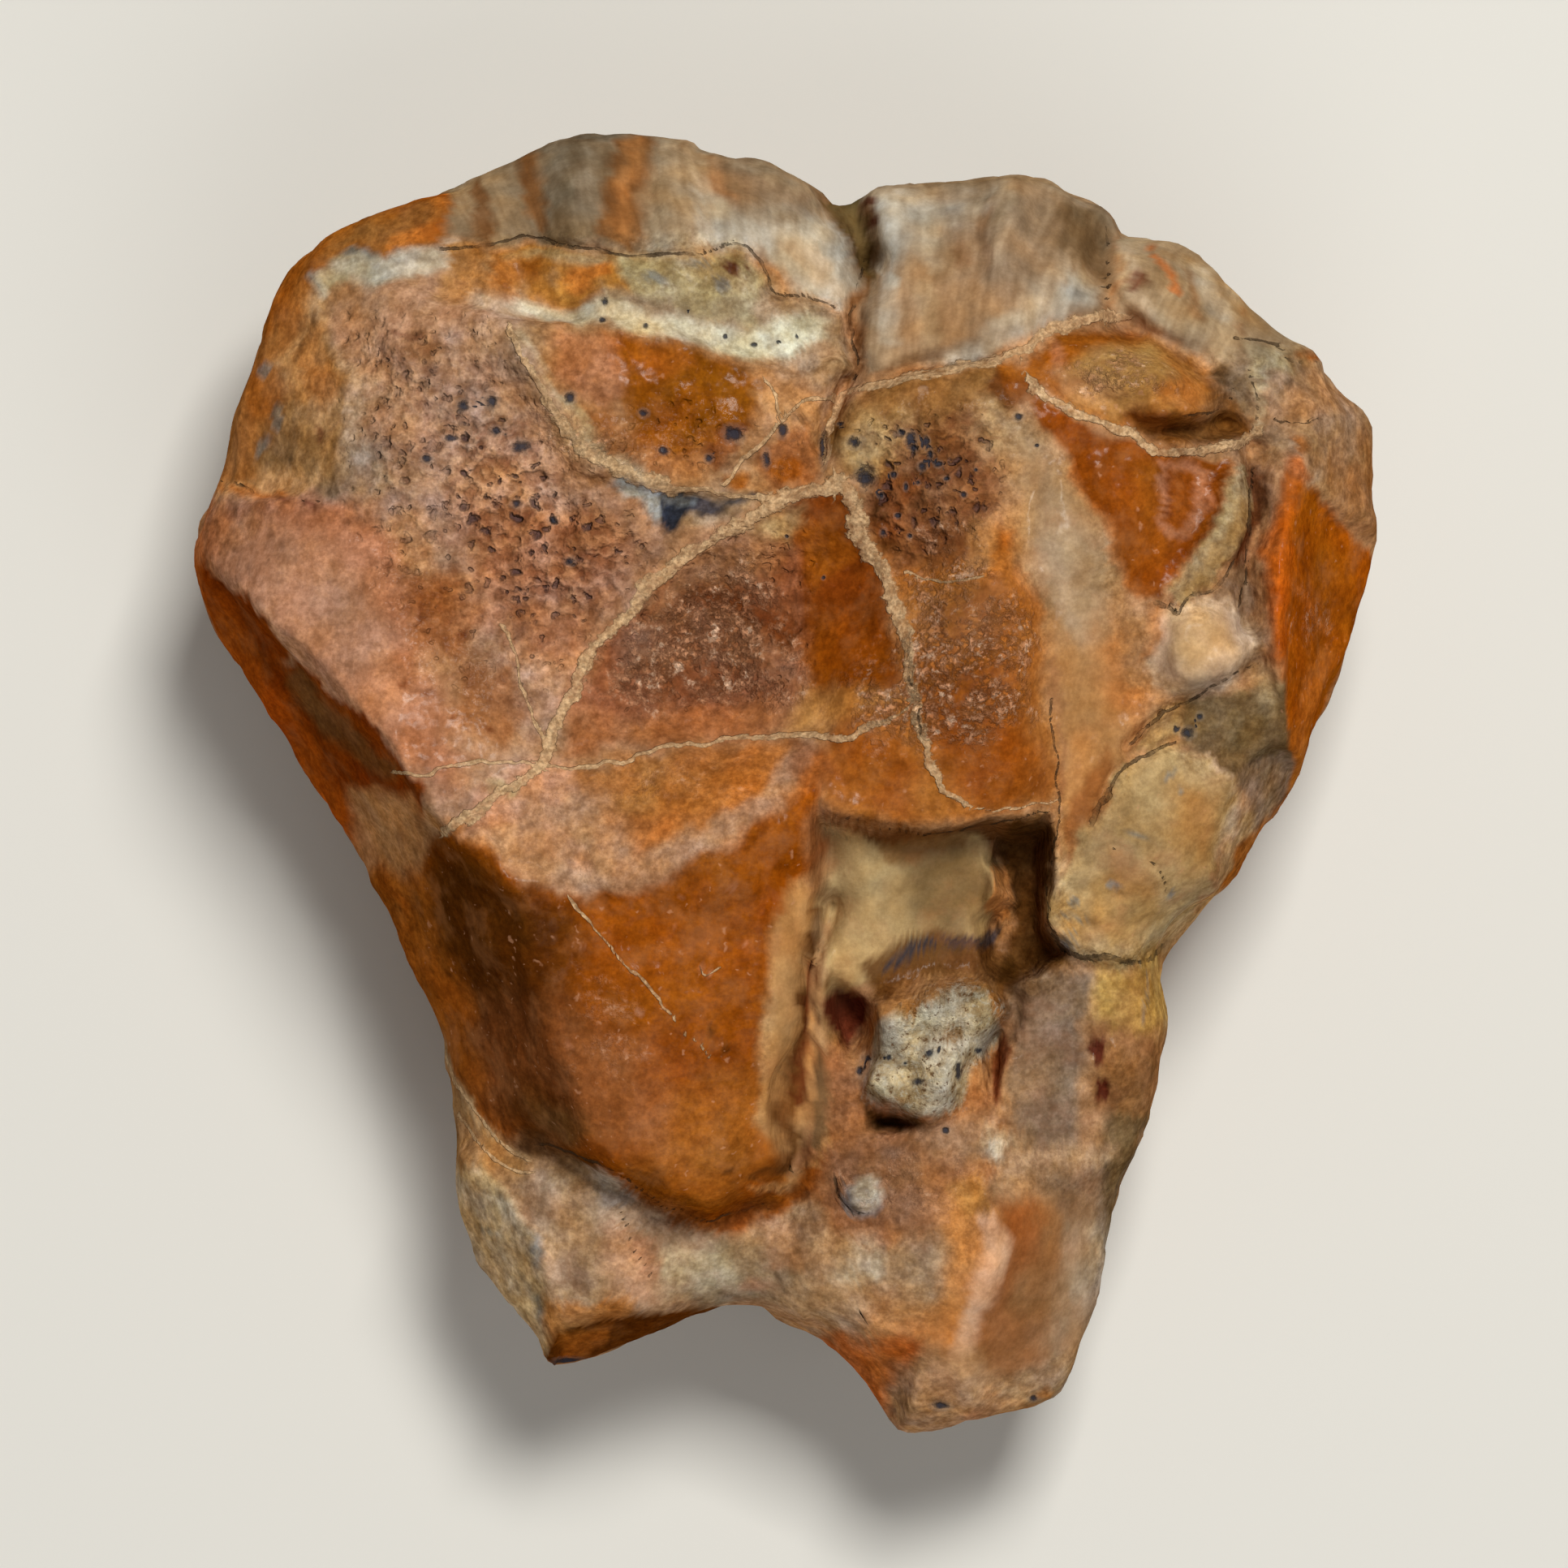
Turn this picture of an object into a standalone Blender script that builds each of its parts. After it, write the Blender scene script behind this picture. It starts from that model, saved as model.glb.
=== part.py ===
"""A fossil ouranosaurus tooth, lying on its back with its finest face up.

The crown is broad and lumpy, with a fluted crest at +Y, and it stands on a short broken root with
two stumps at -Y. The tooth is one solid, made from a subdivided cube that is drawn out to the
outline below, and whose front is raised to the heights and facets below. Numbers in the lists
are millimetres in the tooth's own frame: +X right, +Y towards the crest, +Z up from the surface
that it lies on.
"""
import math

import bmesh
import bpy
import numpy as np

# Driving dimensions, in millimetres.
WIDTH = 29.2
LENGTH = 32.1
THICKNESS = 14.6
MM = 0.001

# How finely the tooth is modelled: cells along a cube edge, then the share of faces kept.
CUBE_CELLS = 60
KEPT_FACES = 0.225

# Middle of the outline, and where the widest level lies between the back and the front.
MIDDLE = (-0.4, 1.3)
RIM_LEVEL = 6.6
RIM_ANGLE = 112.0
FRONT_ROUNDNESS = 6.0
BACK_ROUNDNESS = 2.6

# How flat the profiles of the front and back are, and places along them for even steps.
PROFILE_FLATNESS = 0.45
PROFILE_PLACES = 2000

# How much the smooth front may miss the given heights, for the sake of smoothness.
SHEET_SLACK = 0.5

# Where a round lump starts to fall from its top, and where it ends, in half widths.
LUMP_TOP = 0.25
LUMP_END = 1.15

# Wander of the edges and lines of the front: how far, and how large its waves are.
WANDER = [(0.22, 1.6), (0.08, 0.6)]

# Flutes of the crest: depth, breadth, how much longer they are than broad, the levels between
# which they grow towards the rim, how much those fall to the sides of x = 1, and the left end.
FLUTE_DEPTH = 0.35
FLUTE_BREADTH = 0.9
FLUTE_STRETCH = 0.25
FLUTE_LEVELS = (10.6, 14.6)
FLUTE_FALL = 0.12
FLUTE_MIDDLE = 1.0
FLUTE_LEFT = (-9.5, -7.0)

# The back: a bowl, flat in its middle where the tooth rests, which lifts towards root and crest.
BOWL_DEPTH = 3.7
BOWL_POWER = 2.4
BOWL_SUNK = 0.7
ROOT_LIFT = 0.025
ROOT_LIFT_START = -7.0
CREST_LIFT = 0.03
CREST_LIFT_START = 9.0
FLAT_REACH = (0.2, 0.6)

# Large and small lumps of the back: height and size.
BACK_LUMPS = [(0.5, 4.5), (0.2, 1.7)]

# The widest level rises towards the crest, and wavers.
RIM_RISE = 0.5
RIM_WAVER = 0.4
RIM_WAVER_SIZE = 0.5

# Small lumps all over: height and size, and the level above the floor below which they fade out.
GRAIN = [(0.16, 1.9), (0.07, 0.8)]
GRAIN_LEVEL = 0.8

# Colour of the bare model.
TOOTH_COLOUR = (0.35, 0.13, 0.035, 1.0)
TOOTH_ROUGHNESS = 0.45

# Outline seen from the front, clockwise from the left tip.
OUTLINE = [
    (-14.57, 5.6), (-14.3, 6.9), (-13.7, 8.7), (-13.2, 10.0), (-12.5, 12.2), (-11.5, 13.35),
    (-10.0, 14.0), (-8.2, 14.5), (-7.0, 15.1), (-5.5, 15.8), (-4.3, 16.03), (-2.6, 15.9),
    (-2.1, 15.65), (-1.0, 15.4), (0.0, 15.02), (0.7, 14.6), (1.05, 14.22), (1.5, 14.3),
    (2.4, 14.65), (4.0, 14.82), (5.9, 14.87), (7.0, 14.55), (7.9, 14.05), (8.2, 13.45),
    (8.8, 13.3), (9.8, 13.05), (11.0, 12.2), (12.0, 11.1), (12.8, 10.8), (13.05, 10.45),
    (13.6, 9.55), (14.4, 8.9), (14.58, 7.4), (14.38, 5.5), (14.0, 3.7), (13.3, 1.7),
    (12.4, -0.3), (11.5, -1.5), (10.9, -2.5), (9.4, -3.95), (9.2, -5.2), (9.33, -6.3),
    (8.9, -8.2), (8.15, -10.0), (7.85, -12.0), (7.4, -13.5), (6.7, -15.0), (6.1, -15.42),
    (5.0, -15.65), (3.4, -16.05), (2.6, -15.85), (1.9, -14.8), (1.1, -14.0), (0.0, -13.35),
    (-1.0, -12.93), (-2.2, -13.15), (-4.0, -14.0), (-5.1, -14.45), (-5.9, -14.45),
    (-6.3, -13.6), (-7.2, -12.5), (-7.95, -11.0), (-8.1, -9.0), (-8.5, -6.6), (-9.3, -4.6),
    (-10.4, -2.1), (-11.8, 0.1), (-13.2, 2.4), (-14.1, 3.7), (-14.5, 4.8),
]

# Heights of the smooth front, before any facet or step: x, y and height of each place.
FRONT_HEIGHTS = [
    # left face and shoulder
    (-13.9, 5.8, 10.2), (-12.8, 4.4, 11.9), (-11.1, 2.5, 12.7), (-9.3, 0.5, 13.2),
    (-12.0, 6.4, 11.5), (-10.2, 4.6, 12.3), (-8.2, 3.0, 12.5), (-10.0, 8.0, 11.9),
    (-7.2, 6.2, 11.9), (-7.0, 9.2, 12.1), (-4.6, 6.2, 12.1), (-5.8, 1.0, 12.5),
    (-9.6, 10.8, 11.9),
    (-4.0, 9.4, 12.7), (-1.6, 8.8, 12.5), (-12.6, 8.4, 10.5), (-12.4, 11.2, 9.9),
    # bands under the crest
    (-9.2, 12.6, 11.4), (-5.2, 12.3, 12.3), (-1.6, 12.1, 12.2), (0.2, 10.6, 12.3),
    # crest, from left to right
    (-10.4, 13.4, 10.6), (-7.2, 14.2, 11.3), (-4.4, 14.4, 11.6), (-4.2, 15.6, 10.6),
    (-1.2, 14.2, 11.5), (0.2, 13.0, 11.9), (3.2, 11.4, 12.1), (3.2, 14.2, 11.0),
    (5.8, 12.4, 12.0), (6.0, 14.4, 10.8), (9.6, 11.6, 11.7), (10.6, 12.0, 10.9),
    # middle dish and the rusty band beside it
    (-1.6, 3.6, 11.3), (-3.2, 2.2, 11.8), (0.6, 3.4, 11.8), (0.0, 5.6, 11.9),
    (1.4, 7.0, 12.6), (1.8, 4.8, 12.2), (-0.6, 1.2, 12.4), (-3.6, 0.6, 12.5),
    # ridge above the lower lobe
    (-7.6, -1.4, 13.1), (-5.6, -2.5, 13.5), (-3.2, -2.1, 13.8), (-0.8, -0.9, 13.9),
    # right bulge and the pale column beside it
    (2.0, 1.9, 13.5), (3.5, 2.3, 14.0), (4.9, 2.6, 14.2), (5.3, 4.6, 13.9), (3.4, 5.4, 12.9),
    (4.2, 7.4, 13.3), (3.0, 8.9, 13.0), (2.4, 0.2, 13.6), (5.0, 0.2, 13.7), (3.4, -0.9, 13.1),
    (6.2, 8.2, 13.3), (6.5, 4.6, 13.2), (7.3, 5.4, 13.2), (6.9, 1.6, 12.8), (6.9, -1.6, 12.3),
    # right part
    (7.4, 10.2, 12.8), (9.2, 7.4, 12.4), (9.0, 5.0, 12.1), (11.2, 7.0, 11.6), (12.0, 5.4, 12.2),
    (10.0, 3.2, 12.0), (12.0, 3.2, 12.1), (11.6, 0.8, 11.6), (12.2, 10.0, 11.2), (13.6, 7.8, 10.6),
    (9.4, -0.6, 12.1), (8.4, -2.8, 11.8),
    # lower lobe
    (-7.0, -4.6, 11.5), (-4.4, -5.0, 13.0), (-1.2, -4.6, 13.1),
    # root
    (1.4, -7.4, 10.0), (3.8, -7.6, 10.1), (6.2, -6.8, 10.2), (8.2, -6.6, 9.9),
    (2.6, -9.6, 10.1), (6.4, -9.4, 10.1), (-5.4, -9.4, 9.7), (-3.4, -10.4, 9.8),
    (-1.2, -10.9, 9.8), (-6.8, -11.0, 9.0), (-4.6, -11.4, 9.9), (-1.2, -12.4, 9.6),
    (1.4, -12.4, 9.8), (4.8, -12.0, 10.5), (6.8, -12.6, 9.2), (3.4, -15.2, 8.6),
    (-5.4, -13.2, 9.2),
]

# Flat facets: an outline, three places on the facet with their heights, and the width of its
# rounded edge. A later facet lies over an earlier one.
FACETS = {
    "left shoulder": (
        [(-16.0, 7.3), (-12.8, 7.2), (-11.1, 7.2), (-10.9, 8.2), (-10.7, 9.1), (-11.1, 11.1),
         (-11.6, 13.0), (-12.6, 15.0), (-16.0, 14.0)],
        [(-11.2, 8.0, 11.3), (-11.3, 11.4, 11.0), (-13.4, 9.4, 9.2)], 0.35),
    "left bevel": (
        [(-16.0, 6.3), (-14.2, 5.4), (-13.3, 4.5), (-12.5, 3.6), (-11.6, 2.7), (-10.5, 1.8),
         (-9.6, 0.9), (-9.0, -0.1), (-8.2, -1.1), (-9.6, -5.0), (-14.0, -3.0), (-17.0, 4.0)],
        [(-14.2, 5.4, 9.8), (-9.2, 0.2, 12.9), (-12.0, -0.2, 6.6)], 0.3),
    "lower lobe, left side": (
        [(-8.2, -1.1), (-7.3, -1.7), (-6.6, -2.6), (-6.1, -4.4), (-5.7, -6.4), (-5.2, -8.6),
         (-6.4, -9.4), (-9.6, -9.4), (-12.0, -3.4)],
        [(-7.6, -1.6, 13.1), (-5.6, -8.0, 11.6), (-9.0, -5.4, 7.9)], 0.8),
    "lower lobe, front": (
        [(-7.0, -2.0), (-5.8, -2.6), (-4.4, -2.6), (-3.0, -2.1), (-1.6, -1.5), (0.2, -0.5),
         (0.9, -1.6), (0.5, -4.6), (0.2, -8.2), (-0.3, -10.2), (-2.0, -10.9), (-4.4, -9.6),
         (-5.4, -8.9), (-5.9, -6.4), (-6.3, -4.0)],
        [(-5.2, -2.8, 13.5), (0.2, -1.4, 13.7), (-2.4, -9.8, 12.0)], 0.5),
    "hollow under the bulge": (
        [(0.8, -0.9), (2.3, -1.1), (3.5, -1.25), (5.5, -1.0), (6.5, -0.75), (6.5, -2.6), (6.4, -3.6),
         (6.6, -4.6), (5.8, -6.6), (4.0, -6.8), (1.6, -7.6), (0.35, -9.0), (0.3, -6.5), (0.55, -4.6),
         (0.8, -2.6)],
        [(2.0, -2.0, 11.2), (5.0, -2.0, 10.9), (3.0, -6.6, 10.0)], 0.25),
    "root, upper right": (
        [(6.3, -3.9), (6.9, -4.25), (8.3, -4.45), (9.4, -4.05), (11.0, -4.6), (10.4, -6.6),
         (7.4, -7.0), (5.9, -6.8), (5.9, -5.0)],
        [(6.2, -6.8, 10.2), (8.2, -6.6, 9.9), (7.6, -4.8, 10.4)], 0.25),
    "right wall": (
        [(12.5, 7.5), (12.2, 6.4), (12.0, 5.0), (11.95, 3.0), (12.1, 1.4), (12.5, 0.2),
         (14.0, 0.0), (17.0, 5.0), (14.6, 6.6)],
        [(12.2, 6.6, 12.2), (12.1, 2.0, 12.0), (14.2, 4.6, 7.6)], 0.3),
    "right end, upper": (
        [(12.4, 7.7), (14.8, 6.0), (17.0, 9.0), (14.6, 11.0), (12.9, 9.4)],
        [(12.7, 8.0, 11.6), (13.2, 9.6, 10.9), (14.4, 7.2, 9.0)], 0.35),
    "lower right rim": (
        [(11.0, 0.2), (11.9, 0.6), (12.6, 0.4), (14.0, -1.0), (10.0, -5.0), (9.9, -3.6), (10.9, -1.7)],
        [(11.2, 0.1, 11.6), (10.6, -2.6, 11.0), (12.2, -1.2, 8.6)], 0.3),
    "root, left bevel": (
        [(-9.0, -9.3), (-7.3, -9.6), (-6.6, -10.3), (-6.1, -11.4), (-5.9, -12.6), (-5.9, -15.5),
         (-10.0, -13.0)],
        [(-6.8, -10.2, 9.5), (-5.9, -13.4, 8.7), (-8.0, -11.4, 6.9)], 0.25),
    "root, left end": (
        [(-5.9, -13.1), (-5.0, -13.05), (-3.4, -13.0), (-1.6, -12.8), (-1.2, -14.2), (-5.0, -16.0),
         (-6.0, -15.6)],
        [(-5.6, -13.2, 9.0), (-2.0, -13.0, 9.0), (-4.8, -14.4, 6.9)], 0.2),
    "root, right side": (
        [(5.0, -10.4), (5.2, -11.4), (5.0, -12.2), (4.6, -13.5), (4.2, -14.6), (5.0, -16.8),
         (9.5, -16.0), (9.5, -9.0), (6.4, -9.6)],
        [(5.1, -11.0, 10.7), (4.5, -13.8, 9.8), (7.2, -12.6, 8.2)], 0.25),
    "root, right end": (
        [(3.9, -14.1), (3.0, -13.7), (1.9, -13.4), (0.6, -13.0), (0.6, -15.0), (2.4, -17.0),
         (3.0, -15.0)],
        [(3.6, -14.0, 9.6), (1.6, -13.6, 9.0), (2.2, -15.2, 7.0)], 0.25),
}

# Steps: an outline, how far the front is raised or sunk inside it, and the width of its edge.
STEPS = {
    "band under the crest": (
        [(-8.6, 13.0), (-7.3, 13.15), (-5.7, 13.25), (-4.3, 12.95), (-2.0, 12.95), (-1.0, 13.1),
         (-0.4, 12.2), (1.0, 11.7), (1.5, 10.6), (0.6, 10.0), (-3.0, 11.2), (-7.0, 11.4),
         (-10.0, 12.2)], -0.35, 0.15),
    "dark crevice": (
        [(5.3, -1.2), (6.5, -1.0), (6.35, -2.6), (6.3, -3.5), (6.9, -4.2), (6.2, -4.9), (5.0, -4.4),
         (4.9, -3.6), (5.5, -2.9), (5.2, -1.9)], -2.2, 0.3),
    "slab, lower right": (
        [(8.3, 0.4), (9.2, 0.9), (10.2, 0.6), (11.0, 0.0), (11.1, -0.5), (10.4, -2.5), (9.4, -4.0),
         (8.3, -4.4), (7.2, -4.2), (6.8, -3.9), (6.4, -3.3), (6.6, -2.6), (7.2, -1.6), (8.1, 0.0)],
        0.25, 0.15),
    "blade": (
        [(11.1, 7.8), (11.35, 7.2), (11.2, 6.0), (10.8, 5.3), (10.2, 4.7), (9.5, 4.3), (9.2, 4.5),
         (9.7, 5.0), (10.2, 6.0), (10.7, 7.2)], 0.3, 0.12),
    "matrix lump": (
        [(2.2, -5.6), (3.2, -5.1), (4.3, -4.8), (5.0, -4.9), (5.4, -5.6), (5.2, -6.2), (4.3, -7.0),
         (4.2, -7.7), (3.6, -8.1), (3.0, -7.9), (2.2, -7.8), (1.7, -7.2), (2.0, -6.7)], 1.1, 0.3),
    "chip in the rusty face": (
        [(9.2, 7.6), (9.9, 7.65), (10.3, 7.4), (10.1, 6.7), (9.8, 6.2), (9.4, 6.2), (9.25, 6.8)],
        -0.15, 0.1),
}

# Round lumps and hollows: centre, half widths, turn in degrees and height.
LUMPS = {
    "knob": ((9.3, 9.7), (1.6, 1.0), -8.0, 0.65),
    "hollow under the knob": ((10.4, 8.65), (1.2, 0.55), -5.0, -1.5),
    "hollow, left end": ((9.3, 8.55), (0.8, 0.4), -20.0, -0.7),
    "pale lump": ((10.0, 3.3), (1.25, 1.2), 0.0, 0.9),
    "red hole": ((1.35, -5.9), (0.55, 0.9), 0.0, -1.2),
    "crest hollow": ((7.4, 13.4), (0.7, 1.2), 0.0, -0.7),
    "slot under the matrix": ((2.4, -8.1), (0.9, 0.35), 0.0, -0.9),
    "slot beside the matrix": ((5.3, -7.0), (0.35, 1.1), -6.0, -0.9),
    "swelling of the left face": ((-6.2, 10.6), (1.2, 1.6), 20.0, 0.35),
    "cream lump": ((11.6, 10.5), (0.8, 0.4), 0.0, 0.4),
    "belly of the lobe": ((-2.4, -5.6), (3.4, 5.2), -10.0, 0.4),
    "left corner of the lobe": ((-7.9, -1.2), (1.0, 0.8), -35.0, 0.25),
    "root knuckle": ((8.4, -7.1), (0.9, 1.3), 0.0, 0.5),
}

# Grooves and ridges along a line: points, half width and height.
LINES = {
    "notch": ([(1.15, 15.2), (1.3, 14.0), (1.9, 12.6)], 0.5, -2.4),
    "notch, lower": ([(1.9, 12.6), (1.65, 11.2), (1.7, 10.2), (1.2, 9.2), (0.9, 8.0)], 0.3, -0.8),
    "crease under the crest": (
        [(1.2, 9.2), (2.2, 9.75), (4.0, 10.15), (5.6, 10.5), (7.2, 11.3), (8.4, 11.4)], 0.35, -0.6),
    "crest groove": ([(8.1, 13.8), (7.9, 12.5), (8.0, 11.5), (9.0, 10.9), (10.2, 10.3)], 0.3, -0.8),
    "groove of the lobe": (
        [(0.95, -3.0), (0.55, -4.8), (0.25, -6.5), (0.1, -8.2), (0.1, -9.4), (-0.6, -9.9)], 0.25, -1.0),
    "right border of the lobe": (
        [(0.7, -2.2), (0.35, -5.0), (0.1, -8.0), (-0.4, -9.6)], 0.8, -0.7),
    "right flank of the bulge": ([(5.9, 7.0), (6.1, 4.0), (6.4, 2.0), (6.6, -0.6)], 0.45, -0.4),
    "lip of the lobe": (
        [(-6.3, -9.0), (-5.2, -9.2), (-4.0, -9.8), (-2.8, -10.7), (-1.2, -10.8), (0.0, -10.3)],
        0.4, -0.5),
    "valley on the right": ([(11.5, 8.0), (11.4, 6.2), (11.3, 5.0), (11.3, 3.8)], 0.35, -0.9),
    "diagonal ridge": (
        [(-6.5, 10.4), (-5.8, 9.1), (-5.0, 8.1), (-3.5, 7.3), (-1.5, 7.1)], 0.35, 0.25),
    "right ridge": ([(12.4, 7.6), (12.1, 6.2), (11.95, 4.4), (11.95, 2.4)], 0.35, 0.35),
    "crack by the pale lump": (
        [(8.4, 0.95), (9.5, 1.9), (10.5, 2.4), (11.5, 2.9)], 0.2, -0.4),
    "root ridge": ([(5.0, -10.6), (5.2, -11.3), (4.8, -12.7), (4.2, -14.2)], 0.4, 0.3),
    "gutter of the root": ([(-0.4, -10.9), (-0.6, -12.0), (-1.0, -13.4)], 0.9, -0.5),
}


# Forms of the back: points of a line, half width and how far it sinks into the back.
BACK_LINES = {
    "middle furrow of the root": ([(-1.0, -15.0), (-0.6, -8.0)], 1.3, 0.9),
    "left furrow of the crown": ([(-7.5, 13.0), (-6.5, 6.0)], 1.2, 0.7),
    "right furrow of the crown": ([(3.0, 14.0), (4.0, 7.0)], 1.4, 0.8),
    "right ridge of the crown": ([(8.0, 12.0), (8.4, 4.0), (6.5, -4.0)], 1.5, -0.7),
    "left ridge of the crown": ([(-10.0, 9.0), (-8.4, 1.0), (-5.6, -8.0)], 1.4, -0.6),
    "long crack": ([(-12.0, 3.5), (-8.0, 2.2), (-5.5, 3.4), (-3.8, 5.4)], 0.3, 0.35),
    "chipped edge": ([(10.8, -1.0), (12.6, 3.0)], 1.1, 1.2),
}


def smoothstep(low, high, value):
    """Rise smoothly from 0 at low to 1 at high."""
    t = np.clip((value - low) / (high - low), 0.0, 1.0)
    return t * t * (3.0 - 2.0 * t)


def line_distance(x, y, points):
    """Distance of each place from a line of points."""
    best = np.full(x.shape, 1.0e9)
    for (ax, ay), (bx, by) in zip(points[:-1], points[1:]):
        dx = bx - ax
        dy = by - ay
        along = np.clip(((x - ax) * dx + (y - ay) * dy) / (dx * dx + dy * dy), 0.0, 1.0)
        best = np.minimum(best, np.hypot(x - ax - along * dx, y - ay - along * dy))
    return best


def inside_distance(x, y, points):
    """Distance from a closed outline, positive inside it."""
    ring = points + points[:1]
    inside = np.zeros(x.shape, dtype=bool)
    for (ax, ay), (bx, by) in zip(ring[:-1], ring[1:]):
        if ay != by:
            crosses = ((ay > y) != (by > y)) & (x < ax + (y - ay) * (bx - ax) / (by - ay))
            inside ^= crosses
    distance = line_distance(x, y, ring)
    return np.where(inside, distance, -distance)


def lattice_value(ix, iy, iz, seed):
    """A fixed value from -1 to 1 for each point of a lattice."""
    mixed = ix * 374761393 + iy * 668265263 + iz * 2147483647 + seed * 974634777
    mixed = (mixed ^ (mixed >> 13)) * 1274126177
    mixed = (mixed ^ (mixed >> 16)) & 0xFFFFFF
    return mixed / 8388607.5 - 1.0


def noise(x, y, z, size, seed):
    """Smooth noise from -1 to 1 whose lumps are about size across."""
    cells = [np.floor(v / size).astype(np.int64) for v in (x, y, z)]
    parts = [v / size - c for v, c in zip((x, y, z), cells)]
    fade = [p * p * p * (p * (p * 6.0 - 15.0) + 10.0) for p in parts]
    total = np.zeros(np.shape(x))
    for corner in range(8):
        step = (corner & 1, corner >> 1 & 1, corner >> 2 & 1)
        weight = np.ones(np.shape(x))
        for f, s in zip(fade, step):
            weight = weight * (f if s else 1.0 - f)
        total += weight * lattice_value(*[c + s for c, s in zip(cells, step)], seed)
    return total


def layered_noise(x, y, z, layers, seed, seed_step=1):
    """Noise of several heights and sizes, added up."""
    total = np.zeros(np.shape(x))
    for number, (height, size) in enumerate(layers):
        total += height * noise(x, y, z, size, seed + seed_step * number)
    return total


def closed_curve(points, steps=6):
    """A smooth closed curve through the points."""
    p = np.array(points)
    before = np.roll(p, 1, axis=0)
    after = np.roll(p, -1, axis=0)
    beyond = np.roll(p, -2, axis=0)
    pieces = []
    for step in range(steps):
        t = step / steps
        pieces.append(0.5 * (2.0 * p + (after - before) * t
                             + (2.0 * before - 5.0 * p + 4.0 * after - beyond) * t ** 2
                             + (3.0 * p - before - 3.0 * after + beyond) * t ** 3))
    return np.stack(pieces, axis=1).reshape(-1, 2)


def outline_radius(angle):
    """Distance from the middle to the outline, in the direction of each angle."""
    curve = closed_curve(OUTLINE) - np.array(MIDDLE)
    curve_angle = np.arctan2(curve[:, 1], curve[:, 0])
    order = np.argsort(curve_angle)
    return np.interp(angle, curve_angle[order], np.hypot(curve[:, 0], curve[:, 1])[order],
                     period=2.0 * math.pi)


def rounded_profile(t, roundness):
    """Plan radius and rise, both from 0 to 1, at even steps t along a rounded profile."""
    turn = np.linspace(0.0, math.pi / 2.0, PROFILE_PLACES)
    out = np.sin(turn) ** (2.0 / roundness)
    rise = np.cos(turn) ** (2.0 / roundness)
    steps = np.hypot(np.diff(out), PROFILE_FLATNESS * np.diff(rise))
    length = np.concatenate([[0.0], np.cumsum(steps)])
    length /= length[-1]
    return np.interp(t, length, out), np.interp(t, length, rise)


def smooth_sheet(places, x, y):
    """Height at x and y of a thin springy sheet through the places."""
    p = np.array(places)

    def bend(r2):
        return r2 * np.log(r2 + 1.0e-9)

    count = len(p)
    r2 = (p[:, None, 0] - p[None, :, 0]) ** 2 + (p[:, None, 1] - p[None, :, 1]) ** 2
    flat = np.column_stack([np.ones(count), p[:, 0], p[:, 1]])
    system = np.zeros((count + 3, count + 3))
    system[:count, :count] = bend(r2) + np.eye(count) * SHEET_SLACK
    system[:count, count:] = flat
    system[count:, :count] = flat.T
    solved = np.linalg.solve(system, np.concatenate([p[:, 2], np.zeros(3)]))
    height = solved[count] + solved[count + 1] * x + solved[count + 2] * y
    for (px, py, _), weight in zip(places, solved[:count]):
        height = height + weight * bend((x - px) ** 2 + (y - py) ** 2)
    return height


def plane_height(corners, x, y):
    """Height at x and y of the plane through three corners."""
    a, b, c = (np.array(corner) for corner in corners)
    normal = np.cross(b - a, c - a)
    return a[2] - (normal[0] * (x - a[0]) + normal[1] * (y - a[1])) / normal[2]


def lump_shape(x, y, centre, half, turn):
    """A round lump, 1 at its centre and 0 at its edge."""
    angle = math.radians(turn)
    u = (x - centre[0]) * math.cos(angle) + (y - centre[1]) * math.sin(angle)
    v = (y - centre[1]) * math.cos(angle) - (x - centre[0]) * math.sin(angle)
    far = np.hypot(u / half[0], v / half[1])
    return 1.0 - smoothstep(LUMP_TOP, LUMP_END, far)


def front_height(x, y):
    """Height of the front at each place."""
    wander_x = x + layered_noise(x, y, 0.0 * x, WANDER, 11)
    wander_y = y + layered_noise(x, y, 0.0 * x, WANDER, 13)
    height = smooth_sheet(FRONT_HEIGHTS, x, y)
    for outline, corners, edge in FACETS.values():
        share = smoothstep(-edge, edge, inside_distance(wander_x, wander_y, outline))
        height = height + share * (plane_height(corners, x, y) - height)
    for outline, rise, edge in STEPS.values():
        height += rise * smoothstep(-edge, edge, inside_distance(wander_x, wander_y, outline))
    for centre, half, turn, rise in LUMPS.values():
        height += rise * lump_shape(wander_x, wander_y, centre, half, turn)
    for points, half, rise in LINES.values():
        height += rise * np.exp(-(line_distance(wander_x, wander_y, points) / half) ** 2)
    return height + crest_flutes(x, y)


def crest_flutes(x, y):
    """Upright flutes of the crest, deepest at its rim."""
    level = y + FLUTE_FALL * abs(x - FLUTE_MIDDLE)
    crest = smoothstep(*FLUTE_LEVELS, level) * smoothstep(*FLUTE_LEFT, x)
    return FLUTE_DEPTH * crest * noise(x, FLUTE_STRETCH * y, 0.0 * x, FLUTE_BREADTH, 21)


def back_height(x, y, reach):
    """Height of the back, flat where the tooth rests. Reach is 0 at the middle, 1 at the rim."""
    bowl = BOWL_DEPTH * reach ** BOWL_POWER - BOWL_SUNK
    root_lift = ROOT_LIFT * np.maximum(0.0, ROOT_LIFT_START - y) ** 2
    crest_lift = CREST_LIFT * np.maximum(0.0, y - CREST_LIFT_START) ** 2
    outer = smoothstep(*FLAT_REACH, reach)
    height = bowl + root_lift + crest_lift + outer * layered_noise(x, y, 0.0 * x, BACK_LUMPS, 31)
    for points, half, depth in BACK_LINES.values():
        height += outer * depth * np.exp(-(line_distance(x, y, points) / half) ** 2)
    return np.maximum(0.0, height)


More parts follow.
